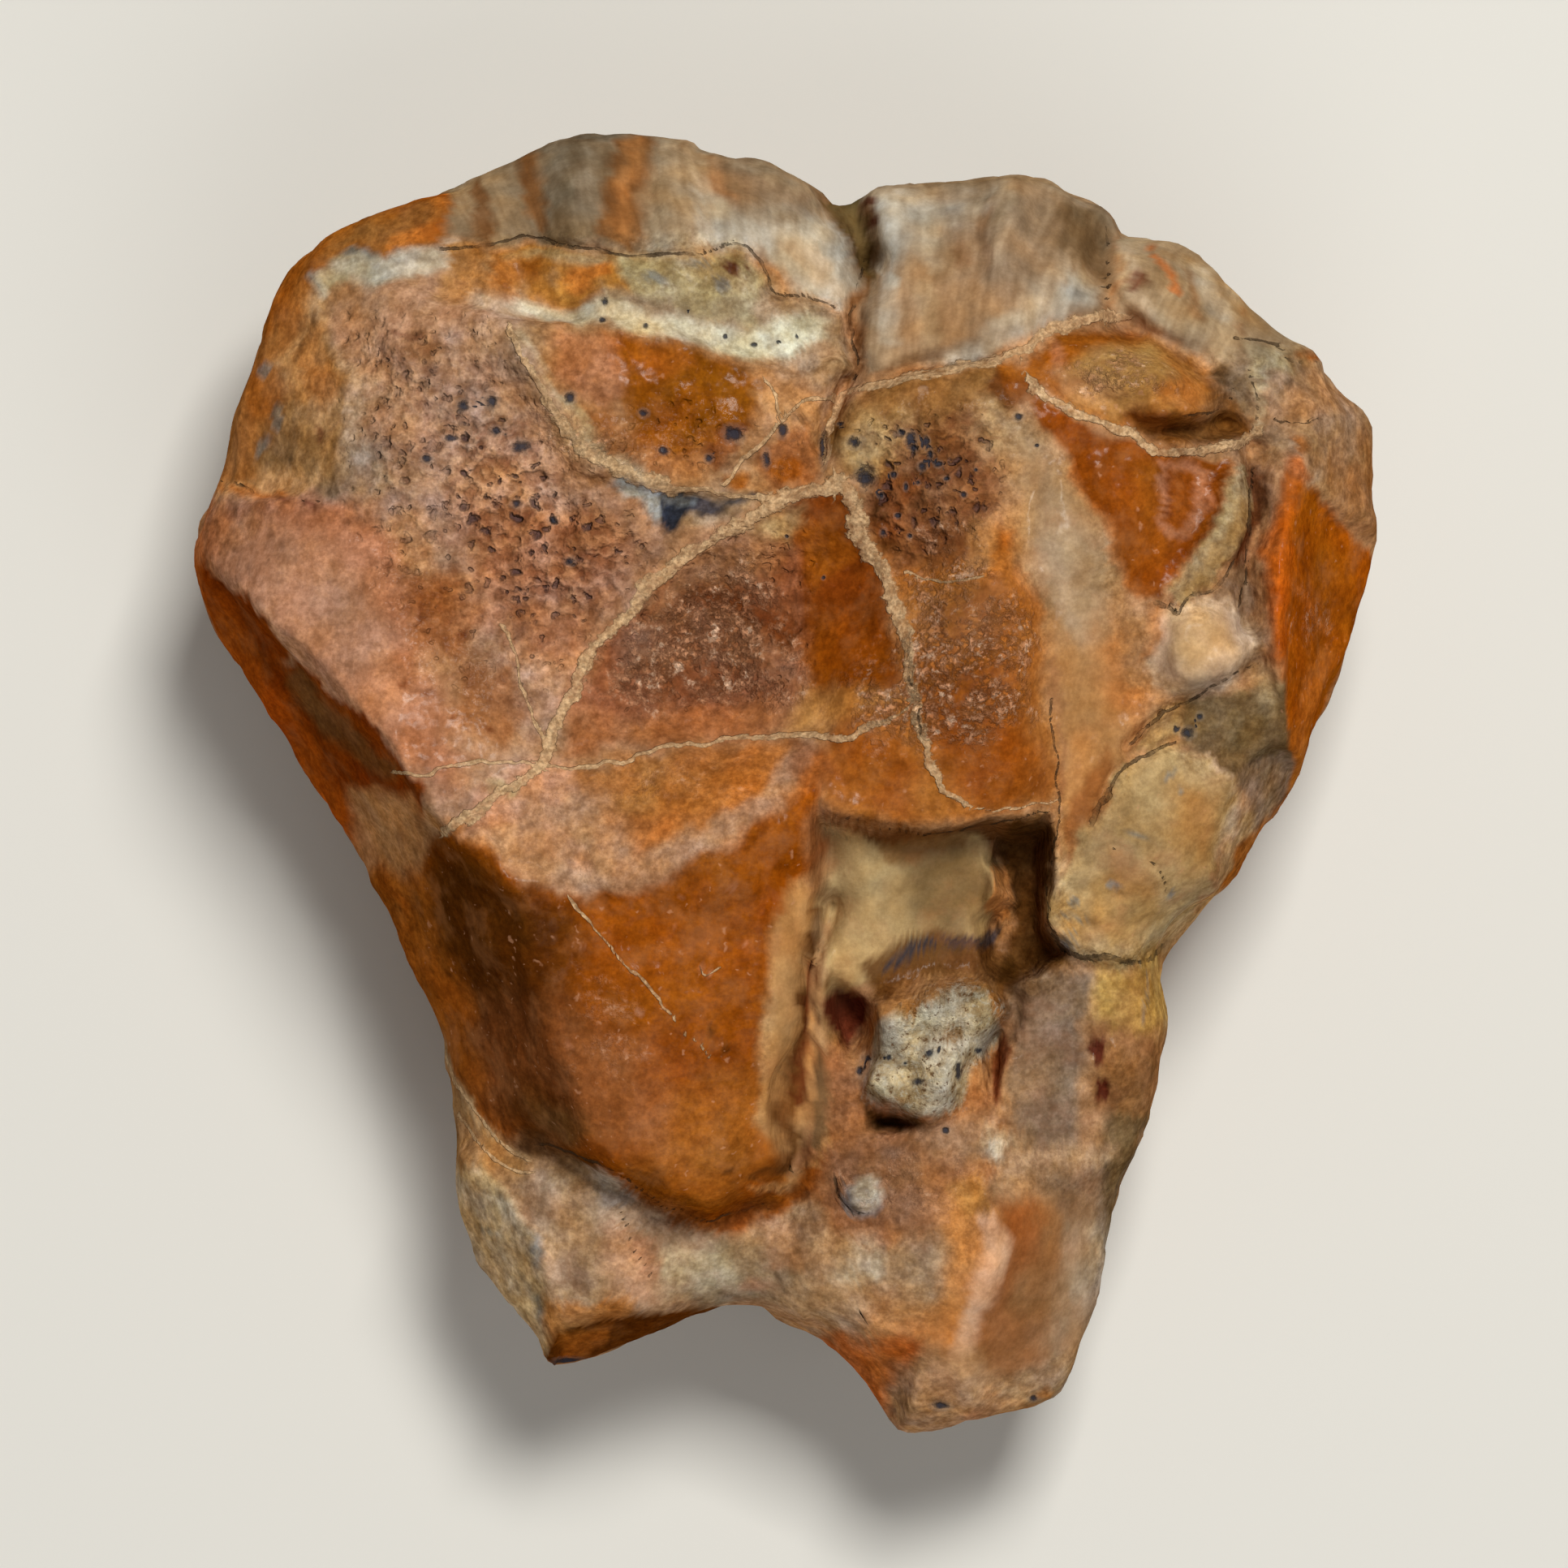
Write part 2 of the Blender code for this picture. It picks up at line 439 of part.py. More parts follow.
def tooth_places(directions):
    """Place of each point of the tooth, from its direction on the starting cube."""
    polar = np.degrees(np.arccos(np.clip(directions[:, 2], -1.0, 1.0)))
    angle = np.arctan2(directions[:, 1], directions[:, 0])
    front = polar <= RIM_ANGLE
    front_step = np.minimum(polar / RIM_ANGLE, 1.0)
    front_out, front_rise = rounded_profile(front_step, FRONT_ROUNDNESS)
    back_step = np.clip((180.0 - polar) / (180.0 - RIM_ANGLE), 0.0, 1.0)
    back_out, back_rise = rounded_profile(back_step, BACK_ROUNDNESS)
    out = np.where(front, front_out, back_out)
    radius = outline_radius(angle)
    x = MIDDLE[0] + out * radius * np.cos(angle)
    y = MIDDLE[1] + out * radius * np.sin(angle)
    waver = noise(np.cos(angle), np.sin(angle), 0.0 * x, RIM_WAVER_SIZE, 41)
    rim = RIM_LEVEL + RIM_RISE * np.sin(angle) + RIM_WAVER * waver
    above = rim + (front_height(x, y) - rim) * front_rise
    below = rim + (back_height(x, y, out) - rim) * back_rise
    z = np.where(front, above, below)
    return np.stack([x, y, z], axis=1)


def roughen(places):
    """Small lumps all over, fading out at the flat patch that the tooth rests on."""
    x, y, z = places.T
    fade = smoothstep(0.0, GRAIN_LEVEL, z)
    moved = places.copy()
    for axis in range(3):
        moved[:, axis] += fade * layered_noise(x, y, z, GRAIN, 51 + axis, 10)
    return moved


def fit_to_size(places):
    """Scale the tooth to its driving dimensions, with its middle over the origin."""
    low = places.min(axis=0)
    high = places.max(axis=0)
    scale = np.array([WIDTH, LENGTH, THICKNESS]) / (high - low)
    origin = np.array([0.5 * (low[0] + high[0]), 0.5 * (low[1] + high[1]), low[2]])
    return (places - origin) * scale


def make_tooth(collection):
    """The tooth: a subdivided cube drawn out to the tooth's shape, then thinned."""
    body = bmesh.new()
    bmesh.ops.create_cube(body, size=2.0)
    bmesh.ops.subdivide_edges(body, edges=body.edges[:], cuts=CUBE_CELLS - 1, use_grid_fill=True)
    cube = np.array([vert.co for vert in body.verts], dtype=float)
    directions = np.tan(cube * math.pi / 4.0)
    directions /= np.linalg.norm(directions, axis=1)[:, None]
    places = fit_to_size(roughen(tooth_places(directions))) * MM
    for vert, place in zip(body.verts, places):
        vert.co = place
    mesh = bpy.data.meshes.new("tooth")
    body.to_mesh(mesh)
    body.free()
    tooth = bpy.data.objects.new("tooth", mesh)
    collection.objects.link(tooth)
    thin = tooth.modifiers.new("Thin", "DECIMATE")
    thin.ratio = KEPT_FACES
    mesh.materials.append(tooth_material())
    mesh.shade_smooth()
    return tooth


def tooth_material():
    """Polished orange-brown stone."""
    material = bpy.data.materials.new("fossil tooth")
    material.use_nodes = True
    shader = material.node_tree.nodes["Principled BSDF"]
    shader.inputs["Base Color"].default_value = TOOTH_COLOUR
    shader.inputs["Roughness"].default_value = TOOTH_ROUGHNESS
    shader.inputs["Metallic"].default_value = 0.0
    return material


def clear_scene():
    """Remove whatever the scene starts with."""
    for thing in list(bpy.context.scene.objects):
        bpy.data.objects.remove(thing, do_unlink=True)


def main():
    clear_scene()
    collection = bpy.data.collections.new("Fossil ouranosaurus tooth")
    bpy.context.scene.collection.children.link(collection)
    make_tooth(collection)


main()
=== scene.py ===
"""The looks of a fossil ouranosaurus tooth: its fine surface, its colours, a floor, lights and camera.

The fine surface is made as the plain solid is, from a subdivided cube drawn out to the outline and
heights below, with finer steps, lines and grain added. Numbers in the lists are millimetres in the
tooth's own frame: +X right, +Y towards the crest, +Z up from the floor.
"""

import math

import bpy
import numpy as np
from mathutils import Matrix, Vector


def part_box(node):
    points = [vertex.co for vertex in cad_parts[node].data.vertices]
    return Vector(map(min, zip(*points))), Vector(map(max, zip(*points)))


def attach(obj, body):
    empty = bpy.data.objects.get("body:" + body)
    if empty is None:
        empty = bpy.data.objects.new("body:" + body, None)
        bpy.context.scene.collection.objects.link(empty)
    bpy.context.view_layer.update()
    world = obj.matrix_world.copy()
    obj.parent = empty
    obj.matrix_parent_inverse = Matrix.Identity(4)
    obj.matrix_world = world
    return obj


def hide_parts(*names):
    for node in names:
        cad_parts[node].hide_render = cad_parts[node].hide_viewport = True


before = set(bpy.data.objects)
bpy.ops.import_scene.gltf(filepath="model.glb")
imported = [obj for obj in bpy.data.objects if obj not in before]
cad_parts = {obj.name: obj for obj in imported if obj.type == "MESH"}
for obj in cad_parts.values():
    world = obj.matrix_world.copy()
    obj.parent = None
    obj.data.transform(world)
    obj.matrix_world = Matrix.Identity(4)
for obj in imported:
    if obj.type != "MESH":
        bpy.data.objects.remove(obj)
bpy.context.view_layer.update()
MM = 0.001

# Cells along an edge of the starting cube: 6 * 2 * 128 * 128 triangles.
CUBE_CELLS = 128


def pairs(*numbers):
    """The numbers two by two: places x and y."""
    return list(zip(numbers[::2], numbers[1::2]))


def fours(*numbers):
    """The numbers four by four: the centre and the half widths of each spot."""
    return list(zip(numbers[::4], numbers[1::4], numbers[2::4], numbers[3::4]))


def area(tone, strength, soft, *numbers):
    """A coat of a tone inside an outline."""
    return "area", tone, strength, soft, pairs(*numbers)


def line(tone, strength, half, *numbers):
    """A coat of a tone along a line."""
    return "line", tone, strength, half, pairs(*numbers)


def spots(tone, strength, soft, *numbers):
    """A coat of a tone on some spots."""
    return "spots", tone, strength, soft, fours(*numbers)


# Middle of the outline, and where the widest level lies between the back and the front.
MIDDLE = (-0.4, 1.3)
RIM_LEVEL = 6.6
RIM_ANGLE = 118.0
FRONT_ROUNDNESS = 6.0
BACK_ROUNDNESS = 2.6
PROFILE_FLATNESS = 0.45
PROFILE_STEPS = 2000
SHEET_STIFFNESS = 0.5

# How far edges wander, in steps of the plain solid, in fine steps and along veins and cracks.
EDGE_WAVES = ((0.22, 1.6), (0.08, 0.6))
FINE_WAVES = ((0.1, 0.8), (0.05, 0.35))
LINE_WAVES = ((0.07, 0.5), (0.04, 0.22))

# Heights of the fine relief.
VEIN_RISE = 0.05
CRACK_DEPTH = 0.12
PORE_DEPTH = 0.12
PORE_SWELL = 0.05
FLUTE_RISE = 0.05
CRUMB_RISE = 0.24
CRUST_RISE = 0.05

# Values past the reach of any line or dot.
FAR = 1.0e9
OUT_OF_REACH = 6.0

# Outline seen from the front, clockwise from the left tip.
OUTLINE = pairs(-14.57, 5.6, -14.3, 6.9, -13.7, 8.7, -13.2, 10.0, -12.5, 12.2, -11.5, 13.35, -10.0, 14.0,
    -8.2, 14.5, -7.0, 15.1, -5.5, 15.8, -4.3, 16.03, -2.6, 15.9, -2.1, 15.65, -1.0, 15.4, 0.0, 15.02,
    0.7, 14.6, 1.05, 14.22, 1.5, 14.3, 2.4, 14.65, 4.0, 14.82, 5.9, 14.87, 7.0, 14.55, 7.9, 14.05,
    8.2, 13.45, 8.8, 13.3, 9.8, 13.05, 11.0, 12.2, 12.0, 11.1, 12.8, 10.8, 13.05, 10.45, 13.6, 9.55,
    14.4, 8.9, 14.58, 7.4, 14.38, 5.5, 14.0, 3.7, 13.3, 1.7, 12.4, -0.3, 11.5, -1.5, 10.9, -2.5,
    9.4, -3.95, 9.2, -5.2, 9.33, -6.3, 8.9, -8.2, 8.15, -10.0, 7.85, -12.0, 7.4, -13.5, 6.7, -15.0,
    6.1, -15.42, 5.0, -15.65, 3.4, -16.05, 2.6, -15.85, 1.9, -14.8, 1.1, -14.0, 0.0, -13.35, -1.0, -12.93,
    -2.2, -13.15, -4.0, -14.0, -5.1, -14.45, -5.9, -14.45, -6.3, -13.6, -7.2, -12.5, -7.95, -11.0,
    -8.1, -9.0, -8.5, -6.6, -9.3, -4.6, -10.4, -2.1, -11.8, 0.1, -13.2, 2.4, -14.1, 3.7, -14.5, 4.8)

# Heights of the smooth front, before any facet or step: x, y and height of each place.
FRONT_HEIGHTS = [
    # left face and shoulder
    (-13.9, 5.8, 10.2), (-12.8, 4.4, 11.9), (-11.1, 2.5, 12.7), (-9.3, 0.5, 13.2),
    (-12.0, 6.4, 11.5), (-10.2, 4.6, 12.3), (-8.2, 3.0, 12.5), (-10.0, 8.0, 11.9),
    (-7.2, 6.2, 11.9), (-7.0, 9.2, 12.1), (-4.6, 6.2, 12.1), (-5.8, 1.0, 12.5),
    (-9.6, 10.8, 11.9),
    (-4.0, 9.4, 12.7), (-1.6, 8.8, 12.5), (-12.6, 8.4, 10.5), (-12.4, 11.2, 9.9),
    # bands under the crest
    (-9.2, 12.6, 11.4), (-5.2, 12.3, 12.3), (-1.6, 12.1, 12.2), (0.2, 10.6, 12.3),
    # crest, from left to right
    (-10.4, 13.4, 10.6), (-7.2, 14.2, 11.3), (-4.4, 14.4, 11.6), (-4.2, 15.6, 10.6),
    (-1.2, 14.2, 11.5), (0.2, 13.0, 11.9), (3.2, 11.4, 12.1), (3.2, 14.2, 11.0),
    (5.8, 12.4, 12.0), (6.0, 14.4, 10.8), (9.6, 11.6, 11.7), (10.6, 12.0, 10.9),
    # middle dish and the rusty band beside it
    (-1.6, 3.6, 11.3), (-3.2, 2.2, 11.8), (0.6, 3.4, 11.8), (0.0, 5.6, 11.9),
    (1.4, 7.0, 12.6), (1.8, 4.8, 12.2), (-0.6, 1.2, 12.4), (-3.6, 0.6, 12.5),
    # ridge above the lower lobe
    (-7.6, -1.4, 13.1), (-5.6, -2.5, 13.5), (-3.2, -2.1, 13.8), (-0.8, -0.9, 13.9),
    # right bulge and the pale column beside it
    (2.0, 1.9, 13.5), (3.5, 2.3, 14.0), (4.9, 2.6, 14.2), (5.3, 4.6, 13.9), (3.4, 5.4, 12.9),
    (4.2, 7.4, 13.3), (3.0, 8.9, 13.0), (2.4, 0.2, 13.6), (5.0, 0.2, 13.7), (3.4, -0.9, 13.1),
    (6.2, 8.2, 13.3), (6.5, 4.6, 13.2), (7.3, 5.4, 13.2), (6.9, 1.6, 12.8), (6.9, -1.6, 12.3),
    # right part
    (7.4, 10.2, 12.8), (9.2, 7.4, 12.4), (9.0, 5.0, 12.1), (11.2, 7.0, 11.6), (12.0, 5.4, 12.2),
    (10.0, 3.2, 12.0), (12.0, 3.2, 12.1), (11.6, 0.8, 11.6), (12.2, 10.0, 11.2), (13.6, 7.8, 10.6),
    (9.4, -0.6, 12.1), (8.4, -2.8, 11.8),
    # lower lobe
    (-7.0, -4.6, 11.5), (-4.4, -5.0, 13.0), (-1.2, -4.6, 13.1),
    # root
    (1.4, -7.4, 10.0), (3.8, -7.6, 10.1), (6.2, -6.8, 10.2), (8.2, -6.6, 9.9),
    (2.6, -9.6, 10.1), (6.4, -9.4, 10.1), (-5.4, -9.4, 9.7), (-3.4, -10.4, 9.8),
    (-1.2, -10.9, 9.8), (-6.8, -11.0, 9.0), (-4.6, -11.4, 9.9), (-1.2, -12.4, 9.6),
    (1.4, -12.4, 9.8), (4.8, -12.0, 10.5), (6.8, -12.6, 9.2), (3.4, -15.2, 8.6),
    (-5.4, -13.2, 9.2),
]

# Flat facets: an outline, three places on the facet with their heights, and the width of its
# rounded edge. A later facet lies over an earlier one.
FACETS = {
    "left shoulder": (pairs(-16.0, 7.3, -12.8, 7.2, -11.1, 7.2, -10.9, 8.2, -10.7, 9.1, -11.1, 11.1,
        -11.6, 13.0, -12.6, 15.0, -16.0, 14.0), [(-11.2, 8.0, 11.3), (-11.3, 11.4, 11.0),
        (-13.4, 9.4, 9.2)], 0.35),
    "left bevel": (pairs(-16.0, 6.3, -14.2, 5.4, -13.3, 4.5, -12.5, 3.6, -11.6, 2.7, -10.5, 1.8,
        -9.6, 0.9, -9.0, -0.1, -8.2, -1.1, -9.6, -5.0, -14.0, -3.0, -17.0, 4.0), [(-14.2, 5.4, 9.8),
        (-9.2, 0.2, 12.9), (-12.0, -0.2, 6.6)], 0.3),
    "lower lobe, left side": (pairs(-8.2, -1.1, -7.3, -1.7, -6.6, -2.6, -6.1, -4.4, -5.7, -6.4,
        -5.2, -8.6, -6.4, -9.4, -9.6, -9.4, -12.0, -3.4), [(-7.6, -1.6, 13.1), (-5.6, -8.0, 11.6),
        (-9.0, -5.4, 7.9)], 0.8),
    "lower lobe, front": (pairs(-7.0, -2.0, -5.8, -2.6, -4.4, -2.6, -3.0, -2.1, -1.6, -1.5, 0.2, -0.5,
        0.9, -1.6, 0.5, -4.6, 0.2, -8.2, -0.3, -10.2, -2.0, -10.9, -4.4, -9.6, -5.4, -8.9, -5.9, -6.4,
        -6.3, -4.0), [(-5.2, -2.8, 13.5), (0.2, -1.4, 13.7), (-2.4, -9.8, 12.0)], 0.5),
    "hollow under the bulge": (pairs(0.8, -0.9, 2.3, -1.1, 3.5, -1.25, 5.5, -1.0, 6.5, -0.75, 6.5, -2.6,
        6.4, -3.6, 6.6, -4.6, 5.8, -6.6, 4.0, -6.8, 1.6, -7.6, 0.35, -9.0, 0.3, -6.5, 0.55, -4.6,
        0.8, -2.6), [(2.0, -2.0, 11.2), (5.0, -2.0, 10.9), (3.0, -6.6, 10.0)], 0.25),
    "root, upper right": (pairs(6.3, -3.9, 6.9, -4.25, 8.3, -4.45, 9.4, -4.05, 11.0, -4.6, 10.4, -6.6,
        7.4, -7.0, 5.9, -6.8, 5.9, -5.0), [(6.2, -6.8, 10.2), (8.2, -6.6, 9.9), (7.6, -4.8, 10.4)], 0.25),
    "right wall": (pairs(12.5, 7.5, 12.2, 6.4, 12.0, 5.0, 11.95, 3.0, 12.1, 1.4, 12.5, 0.2, 14.0, 0.0,
        17.0, 5.0, 14.6, 6.6), [(12.2, 6.6, 12.2), (12.1, 2.0, 12.0), (14.2, 4.6, 7.6)], 0.3),
    "right end, upper": (pairs(12.4, 7.7, 14.8, 6.0, 17.0, 9.0, 14.6, 11.0, 12.9, 9.4),
        [(12.7, 8.0, 11.6), (13.2, 9.6, 10.9), (14.4, 7.2, 9.0)], 0.35),
    "lower right rim": (pairs(11.0, 0.2, 11.9, 0.6, 12.6, 0.4, 14.0, -1.0, 10.0, -5.0, 9.9, -3.6,
        10.9, -1.7), [(11.2, 0.1, 11.6), (10.6, -2.6, 11.0), (12.2, -1.2, 8.6)], 0.3),
    "root, left bevel": (pairs(-9.0, -9.3, -7.3, -9.6, -6.6, -10.3, -6.1, -11.4, -5.9, -12.6, -5.9, -15.5,
        -10.0, -13.0), [(-6.8, -10.2, 9.5), (-5.9, -13.4, 8.7), (-8.0, -11.4, 6.9)], 0.25),
    "root, left end": (pairs(-5.9, -13.1, -5.0, -13.05, -3.4, -13.0, -1.6, -12.8, -1.2, -14.2,
        -5.0, -16.0, -6.0, -15.6), [(-5.6, -13.2, 9.0), (-2.0, -13.0, 9.0), (-4.8, -14.4, 6.9)], 0.2),
    "root, right side": (pairs(5.0, -10.4, 5.2, -11.4, 5.0, -12.2, 4.6, -13.5, 4.2, -14.6, 5.0, -16.8,
        9.5, -16.0, 9.5, -9.0, 6.4, -9.6), [(5.1, -11.0, 10.7), (4.5, -13.8, 9.8), (7.2, -12.6, 8.2)],
        0.25),
    "root, right end": (pairs(3.9, -14.1, 3.0, -13.7, 1.9, -13.4, 0.6, -13.0, 0.6, -15.0, 2.4, -17.0,
        3.0, -15.0), [(3.6, -14.0, 9.6), (1.6, -13.6, 9.0), (2.2, -15.2, 7.0)], 0.25),
}

# Steps: an outline, how far the front is raised or sunk inside it, and the width of its edge.
STEPS = {
    "band under the crest": (pairs(-8.6, 13.0, -7.3, 13.15, -5.7, 13.25, -4.3, 12.95, -2.0, 12.95,
        -1.0, 13.1, -0.4, 12.2, 1.0, 11.7, 1.5, 10.6, 0.6, 10.0, -3.0, 11.2, -7.0, 11.4, -10.0, 12.2),
        -0.35, 0.15),
    "dark crevice": (pairs(5.3, -1.2, 6.5, -1.0, 6.35, -2.6, 6.3, -3.5, 6.9, -4.2, 6.2, -4.9, 5.0, -4.4,
        4.9, -3.6, 5.5, -2.9, 5.2, -1.9), -2.2, 0.3),
    "slab, lower right": (pairs(8.3, 0.4, 9.2, 0.9, 10.2, 0.6, 11.0, 0.0, 11.1, -0.5, 10.4, -2.5,
        9.4, -4.0, 8.3, -4.4, 7.2, -4.2, 6.8, -3.9, 6.4, -3.3, 6.6, -2.6, 7.2, -1.6, 8.1, 0.0), 0.25,
        0.15),
    "blade": (pairs(11.1, 7.8, 11.35, 7.2, 11.2, 6.0, 10.8, 5.3, 10.2, 4.7, 9.5, 4.3, 9.2, 4.5, 9.7, 5.0,
        10.2, 6.0, 10.7, 7.2), 0.3, 0.12),
    "matrix lump": (pairs(2.2, -5.6, 3.2, -5.1, 4.3, -4.8, 5.0, -4.9, 5.4, -5.6, 5.2, -6.2, 4.3, -7.0,
        4.2, -7.7, 3.6, -8.1, 3.0, -7.9, 2.2, -7.8, 1.7, -7.2, 2.0, -6.7), 1.1, 0.3),
    "chip in the rusty face": (pairs(9.2, 7.6, 9.9, 7.65, 10.3, 7.4, 10.1, 6.7, 9.8, 6.2, 9.4, 6.2,
        9.25, 6.8), -0.15, 0.1),
}

# Round lumps and hollows: centre, half widths, turn in degrees and height.
LUMPS = {
    "knob": ((9.3, 9.7), (1.6, 1.0), -8.0, 0.65),
    "hollow under the knob": ((10.4, 8.65), (1.2, 0.55), -5.0, -1.5),
    "hollow, left end": ((9.3, 8.55), (0.8, 0.4), -20.0, -0.7),
    "pale lump": ((10.0, 3.3), (1.25, 1.2), 0.0, 0.9),
    "red hole": ((1.35, -5.9), (0.55, 0.9), 0.0, -1.2),
    "crest hollow": ((7.4, 13.4), (0.7, 1.2), 0.0, -0.7),
    "slot under the matrix": ((2.4, -8.1), (0.9, 0.35), 0.0, -0.9),
    "slot beside the matrix": ((5.3, -7.0), (0.35, 1.1), -6.0, -0.9),
    "swelling of the left face": ((-6.2, 10.6), (1.2, 1.6), 20.0, 0.35),
    "cream lump": ((11.6, 10.5), (0.8, 0.4), 0.0, 0.4),
    "belly of the lobe": ((-2.4, -5.6), (3.4, 5.2), -10.0, 0.4),
    "left corner of the lobe": ((-7.9, -1.2), (1.0, 0.8), -35.0, 0.25),
    "root knuckle": ((8.4, -7.1), (0.9, 1.3), 0.0, 0.5),
}

# Grooves and ridges along a line: points, half width and height.
LINES = {
    "notch": (pairs(1.15, 15.2, 1.3, 14.0, 1.9, 12.6), 0.5, -2.4),
    "notch, lower": (pairs(1.9, 12.6, 1.65, 11.2, 1.7, 10.2, 1.2, 9.2, 0.9, 8.0), 0.3, -0.8),
    "crease under the crest": (pairs(1.2, 9.2, 2.2, 9.75, 4.0, 10.15, 5.6, 10.5, 7.2, 11.3, 8.4, 11.4),
        0.35, -0.6),
    "crest groove": (pairs(8.1, 13.8, 7.9, 12.5, 8.0, 11.5, 9.0, 10.9, 10.2, 10.3), 0.3, -0.8),
    "groove of the lobe": (pairs(0.95, -3.0, 0.55, -4.8, 0.25, -6.5, 0.1, -8.2, 0.1, -9.4, -0.6, -9.9),
        0.25, -1.0),
    "right border of the lobe": (pairs(0.7, -2.2, 0.35, -5.0, 0.1, -8.0, -0.4, -9.6), 0.8, -0.7),
    "right flank of the bulge": (pairs(5.9, 7.0, 6.1, 4.0, 6.4, 2.0, 6.6, -0.6), 0.45, -0.4),
    "lip of the lobe": (pairs(-6.3, -9.0, -5.2, -9.2, -4.0, -9.8, -2.8, -10.7, -1.2, -10.8, 0.0, -10.3),
        0.4, -0.5),
    "valley on the right": (pairs(11.5, 8.0, 11.4, 6.2, 11.3, 5.0, 11.3, 3.8), 0.35, -0.9),
    "diagonal ridge": (pairs(-6.5, 10.4, -5.8, 9.1, -5.0, 8.1, -3.5, 7.3, -1.5, 7.1), 0.35, 0.25),
    "right ridge": (pairs(12.4, 7.6, 12.1, 6.2, 11.95, 4.4, 11.95, 2.4), 0.35, 0.35),
    "crack by the pale lump": (pairs(8.4, 0.95, 9.5, 1.9, 10.5, 2.4, 11.5, 2.9), 0.2, -0.4),
    "root ridge": (pairs(5.0, -10.6, 5.2, -11.3, 4.8, -12.7, 4.2, -14.2), 0.4, 0.3),
    "gutter of the root": (pairs(-0.4, -10.9, -0.6, -12.0, -1.0, -13.4), 0.9, -0.5),
}


# A crack of the back, sunk in its shape and dark in its colour.
LONG_CRACK = pairs(-12.0, 3.5, -8.0, 2.2, -5.5, 3.4, -3.8, 5.4)

# Forms of the back: points of a line, half width and how far it sinks into the back.
BACK_LINES = {
    "middle furrow of the root": (pairs(-1.0, -15.0, -0.6, -8.0), 1.3, 0.9),
    "left furrow of the crown": (pairs(-7.5, 13.0, -6.5, 6.0), 1.2, 0.7),
    "right furrow of the crown": (pairs(3.0, 14.0, 4.0, 7.0), 1.4, 0.8),
    "right ridge of the crown": (pairs(8.0, 12.0, 8.4, 4.0, 6.5, -4.0), 1.5, -0.7),
    "left ridge of the crown": (pairs(-10.0, 9.0, -8.4, 1.0, -5.6, -8.0), 1.4, -0.6),
    "long crack": (LONG_CRACK, 0.3, 0.35),
    "chipped edge": (pairs(10.8, -1.0, 12.6, 3.0), 1.1, 1.2),
}

# Finer steps of the front, laid over the plain solid's: outline, rise and width of the edge.
FINE_STEPS = {
    "second band under the crest": (pairs(-10.2, 12.3, -8.2, 12.2, -6.0, 11.9, -4.0, 11.7, -2.0, 11.5,
        0.6, 11.3, 1.2, 10.4, 0.4, 9.8, -2.6, 10.8, -5.4, 11.2, -8.4, 11.4), -0.1, 0.1),
    "upper plate": (pairs(-7.2, 13.1, -4.6, 12.9, -1.2, 13.0, -0.4, 12.0, -1.6, 11.7, -3.6, 11.7,
        -5.8, 11.9), 0.1, 0.12),
    "small facet by the middle": (pairs(-1.5, 7.4, -0.7, 8.2, -0.3, 8.9, 0.7, 8.9, 0.9, 8.0, 0.6, 7.2,
        -0.4, 7.0), -0.18, 0.1),
    "blue-black triangle": (pairs(-3.1, 7.0, -2.9, 6.3, -1.9, 6.4, -0.8, 6.9, -2.0, 7.0), -0.15, 0.08),
    "sliver by the crack": (pairs(8.4, 0.8, 8.9, 1.5, 9.7, 1.8, 9.2, 1.0), 0.12, 0.08),
    "plate below the pale lump": (pairs(9.6, 1.8, 11.4, 2.8, 12.0, 2.0, 12.0, 0.4, 11.0, 0.1, 10.2, 0.7,
        9.8, 1.2), -0.15, 0.1),
    "orange rim of the hole": (pairs(5.0, -1.9, 5.6, -2.1, 5.7, -3.0, 5.3, -3.6, 4.9, -2.9), 0.35, 0.12),
    "pale strip by the groove": (pairs(0.6, -3.6, 1.0, -3.6, 1.05, -5.2, 0.8, -6.6, 0.5, -6.4,
        0.65, -5.0), 0.3, 0.08),
    "left foot of the lobe": (pairs(-8.3, -6.8, -7.6, -8.3, -6.4, -9.2, -6.3, -9.7, -7.6, -9.5,
        -8.4, -8.2), 0.12, 0.12),
    "lower step of the root": (pairs(5.7, -9.3, 7.5, -9.0, 7.4, -9.9, 6.2, -10.2, 5.4, -10.0), 0.14,
        0.12),
    "window step": (pairs(2.2, -1.0, 5.4, -1.0, 5.2, -1.7, 4.3, -1.7, 3.4, -2.0, 2.1, -1.8), -0.12, 0.4),
    "right border of the lobe": (pairs(-0.1, -2.4, 0.95, -2.6, 1.0, -5.0, 0.8, -8.4, 0.3, -9.8,
        -0.6, -9.8, -0.5, -6.0), 0.35, 0.4),
    "floor of the crevice": (pairs(5.2, -1.0, 6.5, -0.9, 6.4, -2.6, 6.3, -3.5, 6.9, -4.2, 6.2, -5.0,
        4.9, -4.5, 4.8, -3.6, 5.3, -2.9, 5.0, -1.9), 0.7, 0.45),
}

